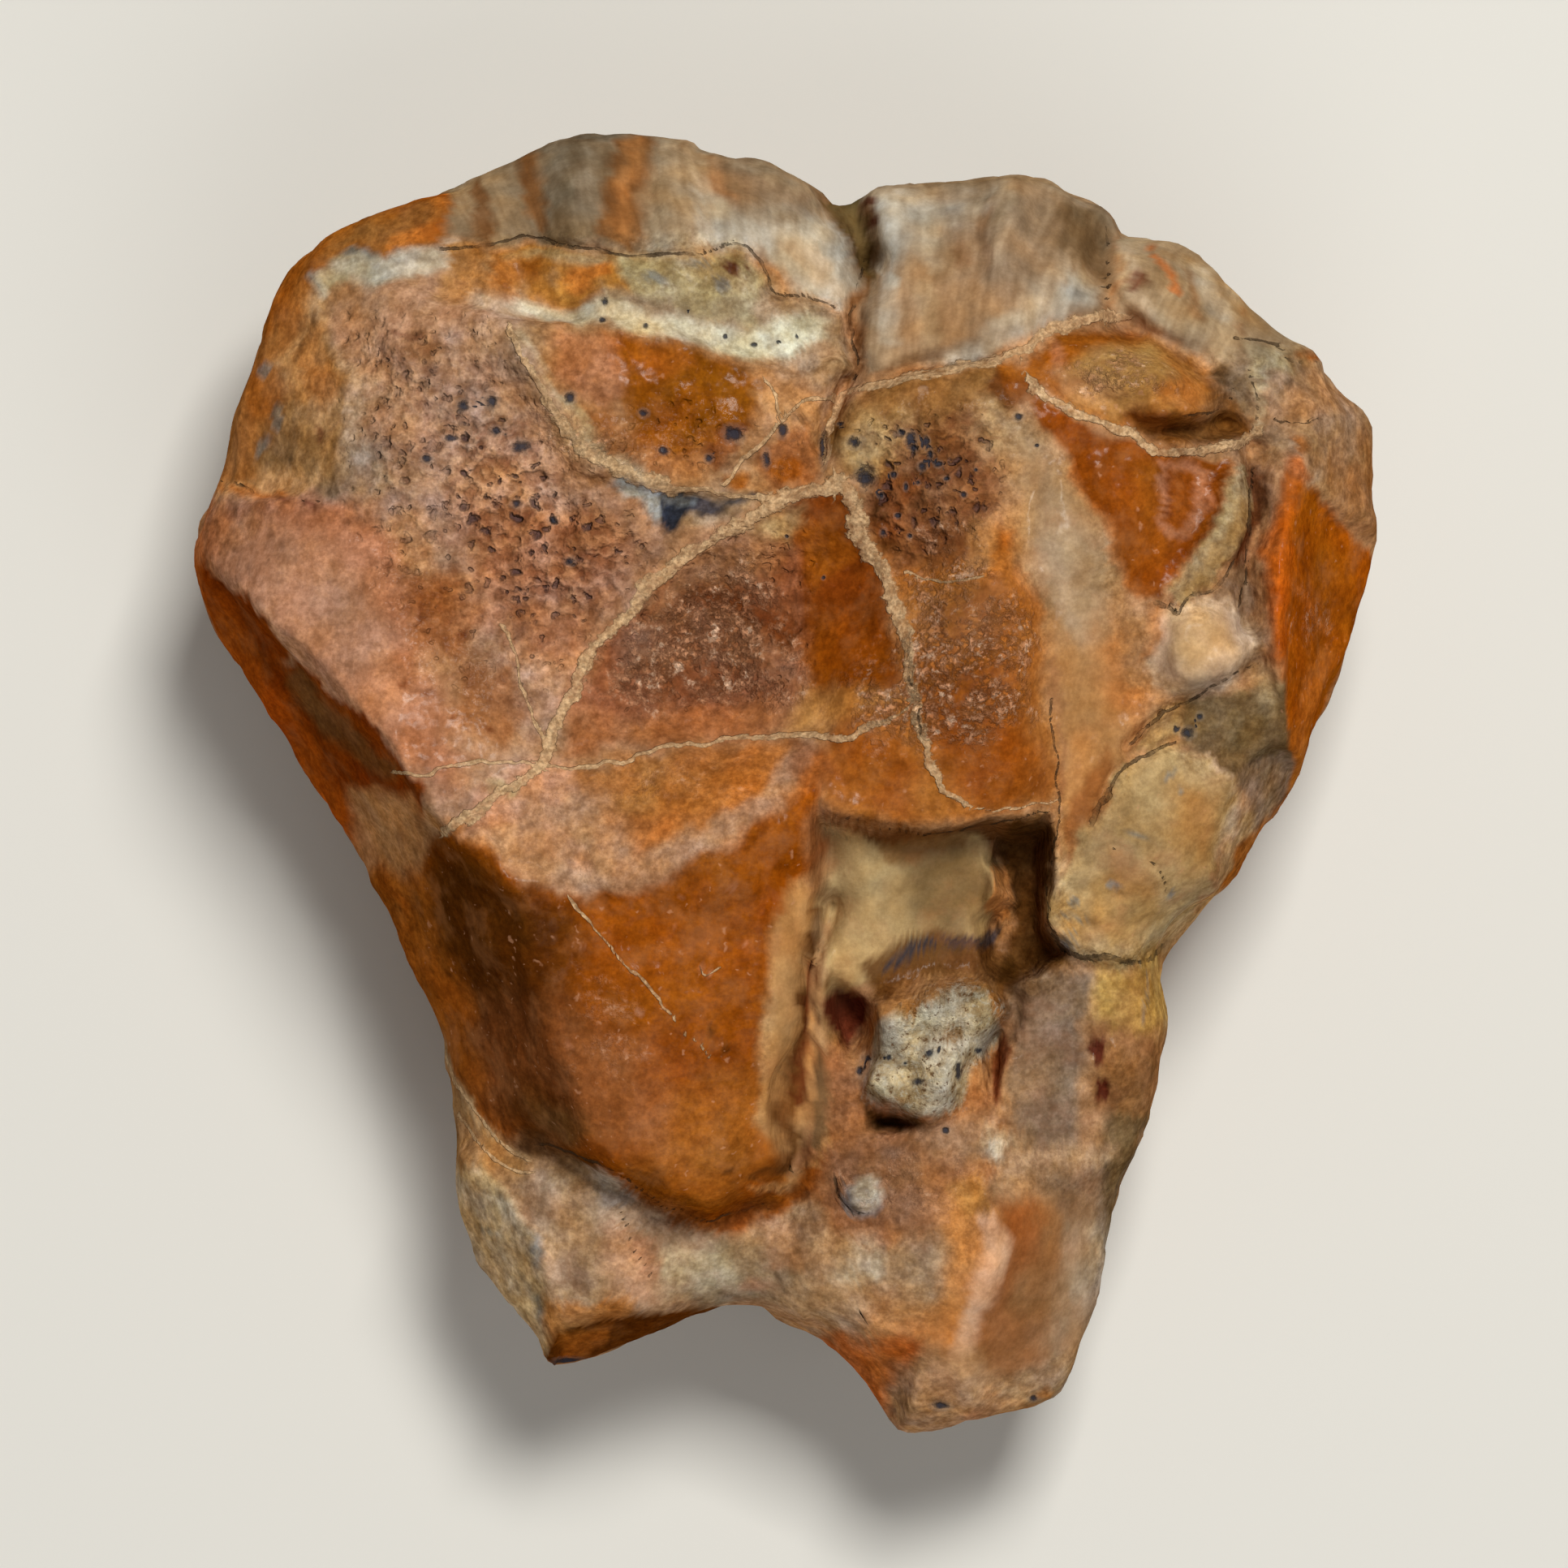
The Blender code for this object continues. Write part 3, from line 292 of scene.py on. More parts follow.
# Finer lumps and pits: centre, half widths, turn in degrees and height.
FINE_LUMPS = {
    "top of the knob": ((8.4, 9.9), (1.7, 0.75), -10.0, 0.4),
    "slit under the knob": ((9.9, 8.65), (1.5, 0.6), -5.0, 0.85),
    "hollow right of the knob": ((10.9, 9.3), (0.5, 0.8), 0.0, -0.5),
    "top of the pale lump": ((10.0, 3.3), (0.85, 0.8), 0.0, -0.3),
    "left of the pale lump": ((9.4, 3.8), (1.2, 0.9), 40.0, 0.35),
    "foot of the pale lump": ((10.2, 2.9), (1.2, 0.7), -10.0, 0.3),
    "ring of the mark": ((9.7, 6.95), (0.55, 0.8), -10.0, 0.1),
    "white spot": ((5.3, -9.1), (0.42, 0.38), 0.0, 0.25),
    "grey pebble": ((1.8, -10.1), (0.55, 0.5), 0.0, 0.35),
    "ring round the pebble": ((1.75, -10.15), (0.95, 0.8), 0.0, -0.2),
    "tan pit of the matrix": ((4.2, -6.2), (0.35, 0.28), 0.0, -0.3),
    "maroon pit": ((7.8, -6.7), (0.3, 0.35), 0.0, -0.22),
    "maroon pit, lower": ((8.0, -7.7), (0.3, 0.35), 0.0, -0.2),
    "dot of the plate": ((9.8, 1.2), (0.22, 0.18), 30.0, -0.15),
    "dent of the slab": ((7.1, -3.4), (0.5, 0.3), -30.0, -0.15),
    "dot of the slab": ((9.4, 0.15), (0.15, 0.12), 0.0, -0.1),
    "dot of the slab, lower": ((8.2, -2.7), (0.12, 0.12), 0.0, -0.1),
    "big dot": ((1.9, 7.45), (0.25, 0.3), 0.0, -0.22),
    "dot above it": ((1.65, 8.3), (0.2, 0.16), 0.0, -0.15),
    "slit of the left shoulder": ((-11.4, 8.6), (0.16, 0.16), 0.0, -0.12),
    "red spot of the crest": ((8.6, 12.3), (0.3, 0.35), 0.0, -0.2),
    "groove start": ((2.05, 14.0), (0.3, 0.45), 0.0, 0.2),
    "tip dot": ((3.8, -15.4), (0.2, 0.15), 0.0, -0.15),
    "tip dot, right": ((6.1, -15.2), (0.25, 0.15), 0.0, -0.2),
    "swelling beside the notch": ((0.3, 10.7), (1.2, 1.1), 0.0, 0.3),
    "dimple of the bulge": ((2.3, 2.4), (0.3, 0.22), 20.0, 0.1),
    "dimple of the bulge, lower": ((1.9, 1.6), (0.35, 0.2), 10.0, 0.1),
    "dimple of the ridge": ((3.6, 2.4), (0.3, 0.16), 0.0, 0.08),
    "dimple of the right border": ((5.2, 4.4), (0.35, 0.25), 30.0, 0.12),
    "hump of the dish": ((-2.6, 4.0), (1.0, 0.7), 40.0, 0.12),
    "hump of the dish, lower": ((-0.8, 2.9), (1.2, 0.7), 10.0, 0.14),
    "spot under the facet": ((-1.3, 8.5), (0.3, 0.25), 0.0, -0.12),
}

# Pale veins that stand up a little: half width at each end, and the points of the line.
VEINS = [
    (0.164, 0.107, pairs(1.1, 7.2, 0.2, 7.0, -0.6, 6.6, -1.3, 6.2, -2.0, 5.8, -2.7, 5.3, -3.4, 4.8,
        -3.8, 4.2, -4.4, 3.6, -4.9, 3.0, -5.1, 2.3, -5.5, 1.7, -5.8, 1.1, -5.9, 0.5, -6.5, 0.0,
        -7.0, -0.2, -7.4, -0.6, -7.9, -0.9, -8.3, -1.2)),
    (0.041, 0.074, pairs(-8.5, 0.3, -7.2, 0.45, -6.3, 0.45, -5.5, 0.3, -4.8, 0.35, -4.0, 0.55, -3.2, 0.75,
        -2.4, 0.95, -1.6, 1.0, -0.5, 1.1, 0.6, 1.15, 1.5, 1.1, 1.9, 1.3, 2.5, 1.5, 2.9, 1.8)),
    (0.213, 0.09, pairs(1.35, 7.3, 1.7, 6.6, 1.8, 6.0, 2.1, 5.5, 2.5, 5.0, 2.6, 4.5, 2.8, 3.9, 3.0, 3.2,
        3.05, 2.5, 3.15, 1.9, 3.3, 1.3, 3.5, 0.6, 3.7, 0.0, 3.9, -0.3, 4.3, -0.55)),
    (0.082, 0.131, pairs(0.9, 7.9, 1.2, 9.2, 1.6, 9.55, 2.2, 9.7, 3.0, 9.9, 4.0, 10.1, 4.8, 10.2,
        5.6, 10.5, 6.4, 11.0, 7.2, 11.3, 8.2, 11.4)),
    (0.115, 0.115, pairs(5.9, 9.8, 6.3, 9.4, 6.9, 9.1, 7.6, 8.8, 8.3, 8.5, 8.8, 8.2, 9.3, 8.0, 10.2, 8.1,
        11.0, 8.3, 11.5, 8.6)),
    (0.06, 0.2, pairs(-6.8, 11.2, -6.5, 10.6, -6.1, 9.8, -5.8, 9.2, -5.4, 8.7, -5.0, 8.2, -4.3, 7.8,
        -3.5, 7.4, -2.9, 7.15)),
    (0.06, 0.06, pairs(-2.9, 7.15, -2.2, 7.1, -1.5, 7.05, -0.6, 7.0, 0.2, 7.1)),
    (0.049, 0.033, pairs(-6.9, 3.9, -6.6, 3.0, -6.4, 2.0, -6.1, 1.3, -5.9, 1.0)),
    (0.041, 0.049, pairs(-9.6, 0.2, -8.9, 0.1, -8.5, 0.3)),
    (0.049, 0.049, pairs(1.2, 9.4, 0.4, 9.3, -0.1, 8.9, -0.5, 8.4, -0.8, 8.0, -1.2, 7.7, -1.5, 7.3)),
    (0.041, 0.041, pairs(-0.6, 9.9, -0.3, 9.4, -0.3, 8.9)),
    (0.033, 0.041, pairs(2.9, 5.1, 3.6, 4.9, 4.7, 5.0)),
    (0.041, 0.041, pairs(-8.6, -6.4, -8.4, -6.9, -8.0, -7.6, -7.5, -8.3, -7.0, -8.9, -6.4, -9.3)),
    (0.033, 0.033, pairs(-8.1, -8.2, -7.4, -9.1, -6.9, -9.5, -6.2, -9.6)),
    (0.04, 0.035, pairs(-5.3, -2.8, -4.7, -3.5, -4.1, -4.2, -3.4, -5.0, -2.8, -5.7, -2.2, -6.4,
        -1.9, -6.7)),
    (0.025, 0.025, pairs(-1.6, -4.5, -2.0, -4.7, -2.2, -4.4)),
    (0.021, 0.025, pairs(4.3, -0.55, 5.2, -0.7, 6.0, -0.6, 6.6, -0.45)),
]

# Fine dark cracks: half width, and the points of the line.
CRACKS = [
    (0.05, pairs(3.0, 2.8, 3.1, 2.2, 3.25, 1.7, 3.3, 1.2)),
    (0.055, pairs(-8.5, 13.05, -7.3, 13.15, -6.4, 13.35, -5.7, 13.25, -5.0, 13.1, -4.3, 12.95, -3.2, 12.9,
        -2.0, 12.95, -1.5, 13.1, -1.0, 13.1, -0.6, 12.7, -0.4, 12.2, -0.2, 11.9, 0.3, 11.9, 0.9, 11.75,
        1.2, 11.5)),
    (0.06, pairs(8.4, 0.95, 9.0, 1.6, 9.5, 1.9, 10.0, 2.1, 10.5, 2.4, 11.0, 2.6, 11.5, 2.9)),
    (0.07, pairs(7.4, -1.0, 7.8, -0.4, 8.1, 0.2, 8.3, 0.4, 9.0, 0.75, 9.5, 0.9)),
    (0.07, pairs(9.0, 4.4, 9.2, 4.3, 9.5, 4.1, 9.7, 4.4, 10.2, 4.6, 10.6, 4.9, 10.9, 5.4)),
    (0.09, pairs(6.5, -3.6, 6.6, -3.9, 7.0, -4.2, 7.9, -4.3, 8.8, -4.4, 9.3, -4.1)),
    (0.035, pairs(6.4, 2.0, 6.6, 0.4, 6.65, -0.8, 6.5, -1.6, 6.35, -2.6, 6.35, -3.4)),
    (0.03, pairs(0.8, -0.9, 1.5, -0.9, 2.3, -1.1, 3.5, -1.25, 4.5, -1.15, 5.5, -0.95, 6.4, -0.75)),
    (0.04, pairs(-6.3, -8.95, -5.8, -8.95, -5.2, -9.15, -4.6, -9.35, -4.0, -9.65, -3.4, -10.15,
        -2.8, -10.5, -2.0, -10.75, -1.2, -10.6, -0.4, -10.35)),
    (0.05, pairs(11.0, 10.9, 12.0, 10.75, 12.3, 10.4, 13.0, 10.4)),
    (0.04, pairs(12.0, 8.9, 12.8, 8.8, 13.6, 9.1)),
    (0.04, pairs(11.3, 10.2, 11.5, 9.4, 11.5, 8.8)),
    (0.05, pairs(11.4, 7.7, 11.35, 6.6, 11.3, 6.0, 11.2, 5.0, 11.1, 4.2)),
    (0.03, pairs(-14.0, 7.4, -13.2, 7.2, -12.3, 7.0, -11.4, 6.9)),
    (0.035, pairs(7.9, 13.6, 7.9, 12.5, 7.8, 11.8)),
    (0.03, pairs(-4.1, -10.6, -3.8, -11.4, -3.4, -12.2)),
    (0.03, pairs(7.9, -1.6, 8.3, -1.7, 8.9, -1.9, 9.2, -2.3, 9.3, -2.7)),
    (0.035, pairs(1.2, -9.6, 1.25, -10.2, 1.6, -10.6, 2.1, -10.5)),
    (0.05, pairs(1.9, 12.9, 1.7, 11.9, 1.6, 11.0, 1.75, 10.3, 1.5, 9.8)),
    (0.04, pairs(9.7, 9.0, 10.4, 9.0, 10.9, 9.3, 10.9, 9.8)),
]

# Kinds of surface on the front: strength, width of the soft edge and outline of each area.
POLISHED = [
    (1.0, 0.4, pairs(-9.4, -1.6, -7.6, -1.4, -5.0, -2.9, -2.0, -1.8, 0.8, -0.6, 0.6, -3.0, 0.0, -5.0,
        -0.2, -8.8, -1.0, -10.4, -3.4, -10.2, -5.6, -9.0, -8.2, -8.2, -9.2, -5.0)),
    (0.8, 0.5, pairs(-8.2, -0.8, -6.6, 0.2, -3.4, 0.6, 0.6, 1.0, 2.8, 1.6, 2.8, 6.4, 1.4, 7.0, 0.4, 6.6,
        0.4, 2.4, -3.0, 1.4, -5.6, 0.7, -8.0, -1.0)),
    (1.0, 0.4, pairs(0.6, 1.8, 2.9, 1.8, 2.8, 5.0, 3.6, 5.2, 5.2, 5.2, 6.1, 4.6, 6.4, 2.0, 6.6, -0.6,
        3.4, -1.0, 0.8, -0.7)),
    (0.9, 0.4, pairs(-4.0, 11.0, -2.0, 10.7, -0.6, 9.8, -1.2, 8.2, -3.4, 7.8, -5.0, 8.6)),
    (1.0, 0.3, pairs(5.0, 10.0, 7.4, 11.2, 9.6, 10.6, 10.6, 9.8, 10.2, 9.0, 8.8, 8.6, 10.8, 7.8, 9.4, 4.8,
        8.4, 4.4, 7.4, 7.2, 5.6, 9.2)),
    (0.9, 0.3, pairs(12.0, 7.8, 14.8, 6.0, 15.2, 3.6, 13.0, -0.4, 11.8, 0.8, 11.6, 4.0)),
    (0.7, 0.3, pairs(-14.6, 5.6, -13.4, 4.5, -11.4, 2.5, -9.2, 0.5, -8.8, -2.0, -12.0, -2.0, -16.0, 3.4)),
    (0.5, 0.4, pairs(-8.2, 13.0, -4.2, 12.8, -0.6, 12.6, -1.0, 11.8, -5.0, 11.9, -8.2, 12.2)),
    (0.85, 0.4, pairs(-12.4, 6.6, -9.6, 6.0, -7.0, 2.4, -6.2, 0.6, -8.6, -0.4, -11.4, 2.6, -14.2, 5.4)),
    (0.6, 0.4, pairs(2.0, 9.4, 5.4, 10.2, 5.8, 9.2, 4.0, 8.8, 1.8, 8.6)),
    (0.7, 0.3, pairs(-15.0, 7.4, -12.6, 7.2, -12.2, 9.8, -12.0, 12.4, -9.0, 13.6, -8.4, 14.8,
        -13.0, 13.6)),
    (0.6, 0.4, pairs(6.8, 7.4, 8.0, 5.2, 8.9, 2.0, 8.0, -0.4, 6.8, -2.0, 6.6, 1.0)),
    (0.9, 0.3, pairs(8.4, 0.2, 10.8, 0.0, 10.6, -2.2, 9.2, -4.2, 7.0, -3.8, 7.6, -1.2)),
    (0.6, 0.4, pairs(3.6, -10.2, 5.0, -9.8, 7.2, -11.0, 7.2, -14.0, 5.0, -15.4, 1.8, -14.4, 2.2, -12.8)),
    (0.5, 0.4, pairs(-6.0, -12.8, -3.4, -12.8, -1.2, -13.0, -5.0, -15.0)),
    (0.6, 0.3, pairs(7.6, -6.0, 9.4, -6.2, 9.2, -8.0, 7.8, -8.2)),
    (0.7, 0.4, pairs(0.8, -1.4, 5.2, -1.6, 5.2, -4.4, 4.2, -4.8, 1.0, -5.4)),
    (0.7, 0.4, pairs(5.0, 8.8, 7.4, 7.4, 8.0, 4.0, 8.4, 1.0, 7.2, -1.4, 6.6, 1.0, 6.0, 5.0)),
    (0.7, 0.4, pairs(9.0, 4.2, 10.9, 4.2, 11.2, 3.3, 10.0, 2.2, 8.8, 2.9)),
    (0.65, 0.4, pairs(-6.0, -10.0, -3.0, -11.0, 1.0, -11.4, 3.4, -12.0, 1.0, -13.4, -5.8, -13.0)),
    (0.6, 0.4, pairs(5.6, -5.0, 7.4, -4.6, 9.4, -4.4, 8.8, -8.4, 7.4, -10.4, 5.4, -9.2)),
    (0.6, 0.4, pairs(-11.6, 12.6, -8.0, 12.6, -7.0, 11.2, -10.6, 10.8)),
]
PORED = [
    (0.6, 1.0, pairs(-10.8, 11.2, -7.4, 11.2, -6.0, 8.6, -4.2, 6.8, -3.0, 5.8, -4.4, 3.8, -6.4, 1.6,
        -8.8, 2.8, -10.4, 6.0)),
    (1.0, 0.9, pairs(-8.4, 9.4, -6.6, 9.2, -5.2, 7.2, -3.4, 5.8, -4.8, 3.6, -7.0, 3.8, -8.4, 6.4)),
    (0.8, 0.6, pairs(1.8, 8.8, 5.2, 9.0, 5.2, 6.4, 3.0, 5.4, 1.8, 6.6)),
    (0.5, 0.6, pairs(-5.0, 8.6, -2.6, 9.6, -0.8, 8.6, -2.0, 7.4, -4.4, 7.6)),
    (0.45, 0.7, pairs(-5.0, 3.6, -1.4, 6.2, 0.8, 6.0, 0.4, 2.0, -4.8, 1.4)),
]
FLUTED = [
    (1.0, 0.3, pairs(-9.2, 13.2, -5.6, 13.4, -1.0, 13.2, 0.4, 12.0, 1.5, 11.8, 1.9, 10.0, 5.0, 10.4,
        8.0, 11.4, 10.2, 10.4, 12.6, 10.6, 12.0, 13.0, 6.0, 17.0, -6.0, 17.0)),
    (0.3, 0.5, pairs(5.4, 8.6, 7.4, 7.4, 8.0, 4.0, 8.4, 1.0, 7.2, -1.4, 6.6, 1.0, 6.2, 5.0)),
]
CRUMBLY = [
    (1.0, 0.2, pairs(2.0, -6.8, 3.0, -5.4, 4.4, -4.8, 5.4, -5.4, 5.2, -6.4, 4.4, -7.2, 4.2, -7.9,
        3.0, -8.1, 1.6, -7.6)),
]
ROUGH = [
    (1.0, 0.4, pairs(10.2, 10.2, 12.2, 11.0, 14.6, 9.4, 14.6, 7.6, 12.6, 7.8, 11.4, 8.8)),
    (0.4, 0.5, pairs(0.4, -6.4, 1.8, -8.0, 5.4, -8.0, 8.6, -8.6, 8.0, -11.0, 4.6, -9.8, 3.4, -11.6,
        0.8, -11.0)),
    (0.2, 0.4, pairs(0.8, -1.4, 5.2, -1.6, 6.4, -4.4, 4.2, -4.8, 1.0, -5.4)),
    (0.5, 0.4, pairs(9.6, 2.0, 12.2, 2.8, 12.2, 0.0, 10.2, 0.6)),
    (0.5, 0.5, pairs(-14.0, 7.6, -11.2, 7.4, -10.8, 9.4, -11.4, 11.6, -13.0, 11.0)),
    (0.25, 0.5, pairs(-8.2, -9.8, -3.4, -10.4, 1.0, -11.0, 3.2, -12.6, -1.0, -13.2, -6.0, -14.0)),
]
CRUSTED = [
    (0.85, 1.0, pairs(3.0, 5.0, 5.0, 5.0, 6.0, 3.8, 6.0, 1.6, 4.8, 0.6, 3.2, 0.8, 1.8, 1.2, 1.6, 2.4,
        2.6, 3.0)),
    (0.7, 0.5, pairs(3.2, 6.4, 4.8, 6.6, 5.2, 5.0, 3.6, 4.6)),
    (0.9, 1.0, pairs(-2.8, 4.8, -1.0, 5.6, 0.0, 4.6, 0.4, 2.0, -2.4, 1.8, -4.6, 2.2, -4.0, 3.8)),
    (0.25, 0.6, pairs(-6.8, -0.2, -5.4, 0.3, -4.6, -0.8, -4.0, -2.2, -5.4, -2.6, -6.8, -1.8)),
    (0.6, 0.4, pairs(6.2, 9.9, 8.2, 10.6, 10.2, 9.9, 9.6, 9.3, 7.0, 9.3)),
    (0.5, 0.4, pairs(-0.8, 7.6, 0.4, 8.6, 0.7, 7.6, 0.0, 7.2)),
    (0.5, 0.5, pairs(-6.6, 9.6, -5.0, 9.2, -3.2, 8.0, -4.2, 7.2, -6.0, 8.2)),
    (0.2, 0.8, pairs(-5.8, -4.4, -3.2, -4.2, -3.0, -7.4, -5.2, -7.8)),
    (0.2, 0.5, pairs(-7.8, -1.0, -6.0, -1.8, -4.8, -2.2, -3.0, -1.6, -1.2, -0.8, -0.2, 0.2, 0.4, 0.0,
        -1.0, -1.4, -3.0, -2.4, -4.8, -2.9, -6.4, -2.6)),
    (0.25, 0.4, pairs(-5.6, 0.2, -1.0, 0.9, 0.8, 0.6, -1.0, -0.4, -4.6, -0.6)),
    (0.3, 0.5, pairs(0.6, -8.4, 3.4, -8.2, 5.2, -8.8, 3.6, -10.8, 1.2, -10.6)),
    (0.5, 0.4, pairs(12.4, 4.8, 13.6, 4.6, 13.6, 3.4, 12.4, 3.6)),
]

CALM = [
    (0.8, 0.3, pairs(-0.3, -2.2, 0.9, -2.6, 1.1, -5.0, 0.9, -8.4, 0.3, -9.8, -0.8, -9.8, -0.5, -6.0)),
    (0.5, 0.3, pairs(-11.8, 12.2, -10.4, 13.1, -8.0, 13.1, -7.8, 12.3, -10.0, 12.2)),
    (0.35, 0.3, pairs(-7.4, 12.0, -3.6, 11.9, -0.6, 11.7, 1.2, 11.6, 1.2, 10.4, -1.0, 10.2, -3.0, 10.8,
        -7.2, 11.3)),
    (0.8, 0.3, pairs(0.7, -1.0, 5.0, -1.2, 5.2, -3.0, 4.6, -4.2, 2.2, -5.0, 0.8, -6.6, 0.4, -4.0)),
    (0.7, 0.5, pairs(5.2, -10.0, 7.8, -10.2, 7.4, -14.0, 4.6, -15.0, 3.0, -14.0, 4.4, -12.0)),
    (0.6, 0.5, pairs(7.0, -1.6, 9.0, 0.9, 11.0, 0.0, 10.4, -2.6, 9.2, -4.2, 6.8, -3.8)),
    (0.7, 0.5, pairs(9.0, 4.2, 10.9, 4.2, 11.2, 3.0, 10.0, 2.1, 8.8, 2.8)),
    (0.7, 0.5, pairs(5.2, 8.6, 7.4, 6.8, 8.2, 3.0, 8.6, 1.2, 7.2, -1.6, 6.4, 0.0, 6.2, 4.6)),
]

# Coats of colour on the back, written as those of the front below.
BACK_PAINT = [
    area("root red", 0.8, 2.0, -9.0, 12.0, -2.0, 13.0, -1.0, 4.0, -4.0, -2.0, -9.0, 0.0, -12.0, 5.0),
    area("face rust", 0.7, 1.6, 2.0, 12.0, 9.0, 11.0, 12.0, 5.0, 8.0, 1.0, 4.0, 4.0),
    area("root tan", 0.9, 1.6, -6.0, -3.0, 6.0, -3.0, 7.0, -14.0, -6.0, -14.0),
    area("root mauve", 0.7, 1.2, -1.6, -2.0, 1.0, -2.0, 0.8, -13.0, -1.8, -13.0),
    area("cream", 0.6, 1.0, -8.2, 12.0, -6.4, 12.4, -5.8, 6.0, -7.0, 5.4),
    area("slab grey", 0.7, 1.0, 2.2, 13.0, 4.4, 13.2, 5.0, 7.0, 3.0, 6.6),
    area("lobe dark and painted shade", 0.6, 1.2, -4.0, 1.5, 1.0, 3.0, 3.0, -1.0, -2.0, -2.6),
    area("root orange", 0.6, 1.0, -6.0, -9.0, -3.4, -8.0, -3.0, -12.4, -5.4, -13.0),
    ("line", "dark groove", 0.8, 0.25, LONG_CRACK),
    line("blue grey", 0.5, 0.5, -1.0, -13.0, -0.6, -8.0, -0.4, -5.0),
    spots("blue black", 0.8, 0.1, -6.0, 8.0, 0.25, 0.2, -3.0, 9.5, 0.15, 0.2, 5.0, 2.0, 0.3, 0.2,
        6.4, -6.0, 0.2, 0.3, -3.6, -6.0, 0.2, 0.2, 1.8, 9.0, 0.2, 0.16),
]

# Tones of the stone, as they look in soft light (red, green and blue, 0 to 255). Some are painted light:
# shade in hollows, grooves and on the lobe's dark side, and glints.
TONES = {
    "tan": (166, 122, 84), "pore tan": (170, 130, 102), "salmon": (168, 110, 78),
    "pale salmon": (184, 132, 100), "peach": (178, 134, 100), "bevel brown": (124, 54, 6),
    "bevel orange": (172, 80, 18), "olive": (104, 76, 42), "orange rim": (160, 98, 42),
    "shoulder grey": (194, 146, 98), "lilac beige": (158, 130, 104), "rust": (116, 56, 12),
    "deep rust": (100, 42, 6), "amber": (154, 86, 18), "deep amber": (128, 70, 8),
    "orange": (152, 84, 22), "bright orange": (184, 104, 38), "hot orange": (198, 114, 54),
    "white band": (202, 190, 170), "cream": (178, 158, 124), "green cream": (166, 144, 104),
    "blue grey": (118, 118, 116), "blue black": (44, 48, 60), "blue white": (156, 158, 156),
    "crest grey": (126, 106, 82), "crest brown": (128, 84, 46), "crest tan": (162, 138, 108),
    "crest cream": (180, 168, 150), "lilac white": (184, 164, 140), "crest hollow": (98, 76, 50),
    "dark groove": (58, 34, 10), "black brown and painted shade": (66, 40, 14), "red brown": (92, 38, 18),
    "maroon": (84, 32, 20), "mauve dish": (140, 86, 56), "mauve": (124, 88, 64),
    "lobe orange": (136, 68, 8), "lobe amber": (162, 95, 34), "lobe dark and painted shade": (80, 42, 10),
    "lobe mauve": (110, 64, 34), "lit band": (172, 108, 58), "edge beige": (166, 120, 74),
    "groove red and painted shade": (104, 62, 26), "window": (178, 148, 102), "window tan": (132, 100, 60),
    "crumb": (158, 146, 124), "crumb white": (202, 194, 176), "root grey": (134, 114, 90),
    "root pink": (176, 140, 106), "root tan": (158, 124, 92), "root mauve": (130, 104, 82),
    "root yellow": (174, 134, 72), "root red": (148, 98, 62), "root rust": (140, 70, 22),
    "root dark": (88, 44, 8), "root orange": (186, 122, 66), "column": (164, 128, 90),
    "column tan": (174, 120, 68), "face rust": (126, 62, 10), "wall orange": (154, 78, 10),
    "wall bright": (186, 88, 20), "slab cream": (172, 142, 100), "slab yellow": (166, 126, 72),
    "slab grey": (142, 124, 90), "plate olive": (106, 82, 54), "lump pale": (194, 166, 138),
    "crack": (66, 52, 38), "haze": (178, 116, 70), "pore red": (128, 72, 48),
    "crust pink and painted glint": (204, 148, 112), "painted glint white": (236, 196, 166), "bulge orange": (164, 100, 42),
    "crust brown": (116, 64, 38), "notch olive and painted shade": (104, 82, 48), "left rim": (146, 80, 24),
    "sienna": (142, 98, 60), "hollow brown and painted shade": (116, 70, 24), "vein light": (208, 174, 134),
    "beige": (152, 126, 98), "olive beige": (152, 122, 82), "dark brown": (92, 56, 20),
    "bevel beige": (198, 162, 120), "plate amber": (160, 106, 46), "band cream": (198, 184, 154),
    "foot yellow": (186, 128, 66), "bulge rust": (144, 74, 16), "shaded orange": (134, 92, 50),
    "knob": (178, 134, 76), "right beige": (142, 114, 86), "valley brown and painted shade": (82, 39, 15),
    "crevice brown and painted shade": (88, 54, 20), "window shade": (112, 84, 48), "edge shade": (182, 136, 86),
    "speckle brown": (116, 76, 48), "pit dark": (76, 58, 60), "lump cream": (194, 160, 118),
    "vein": (166, 132, 96),
}

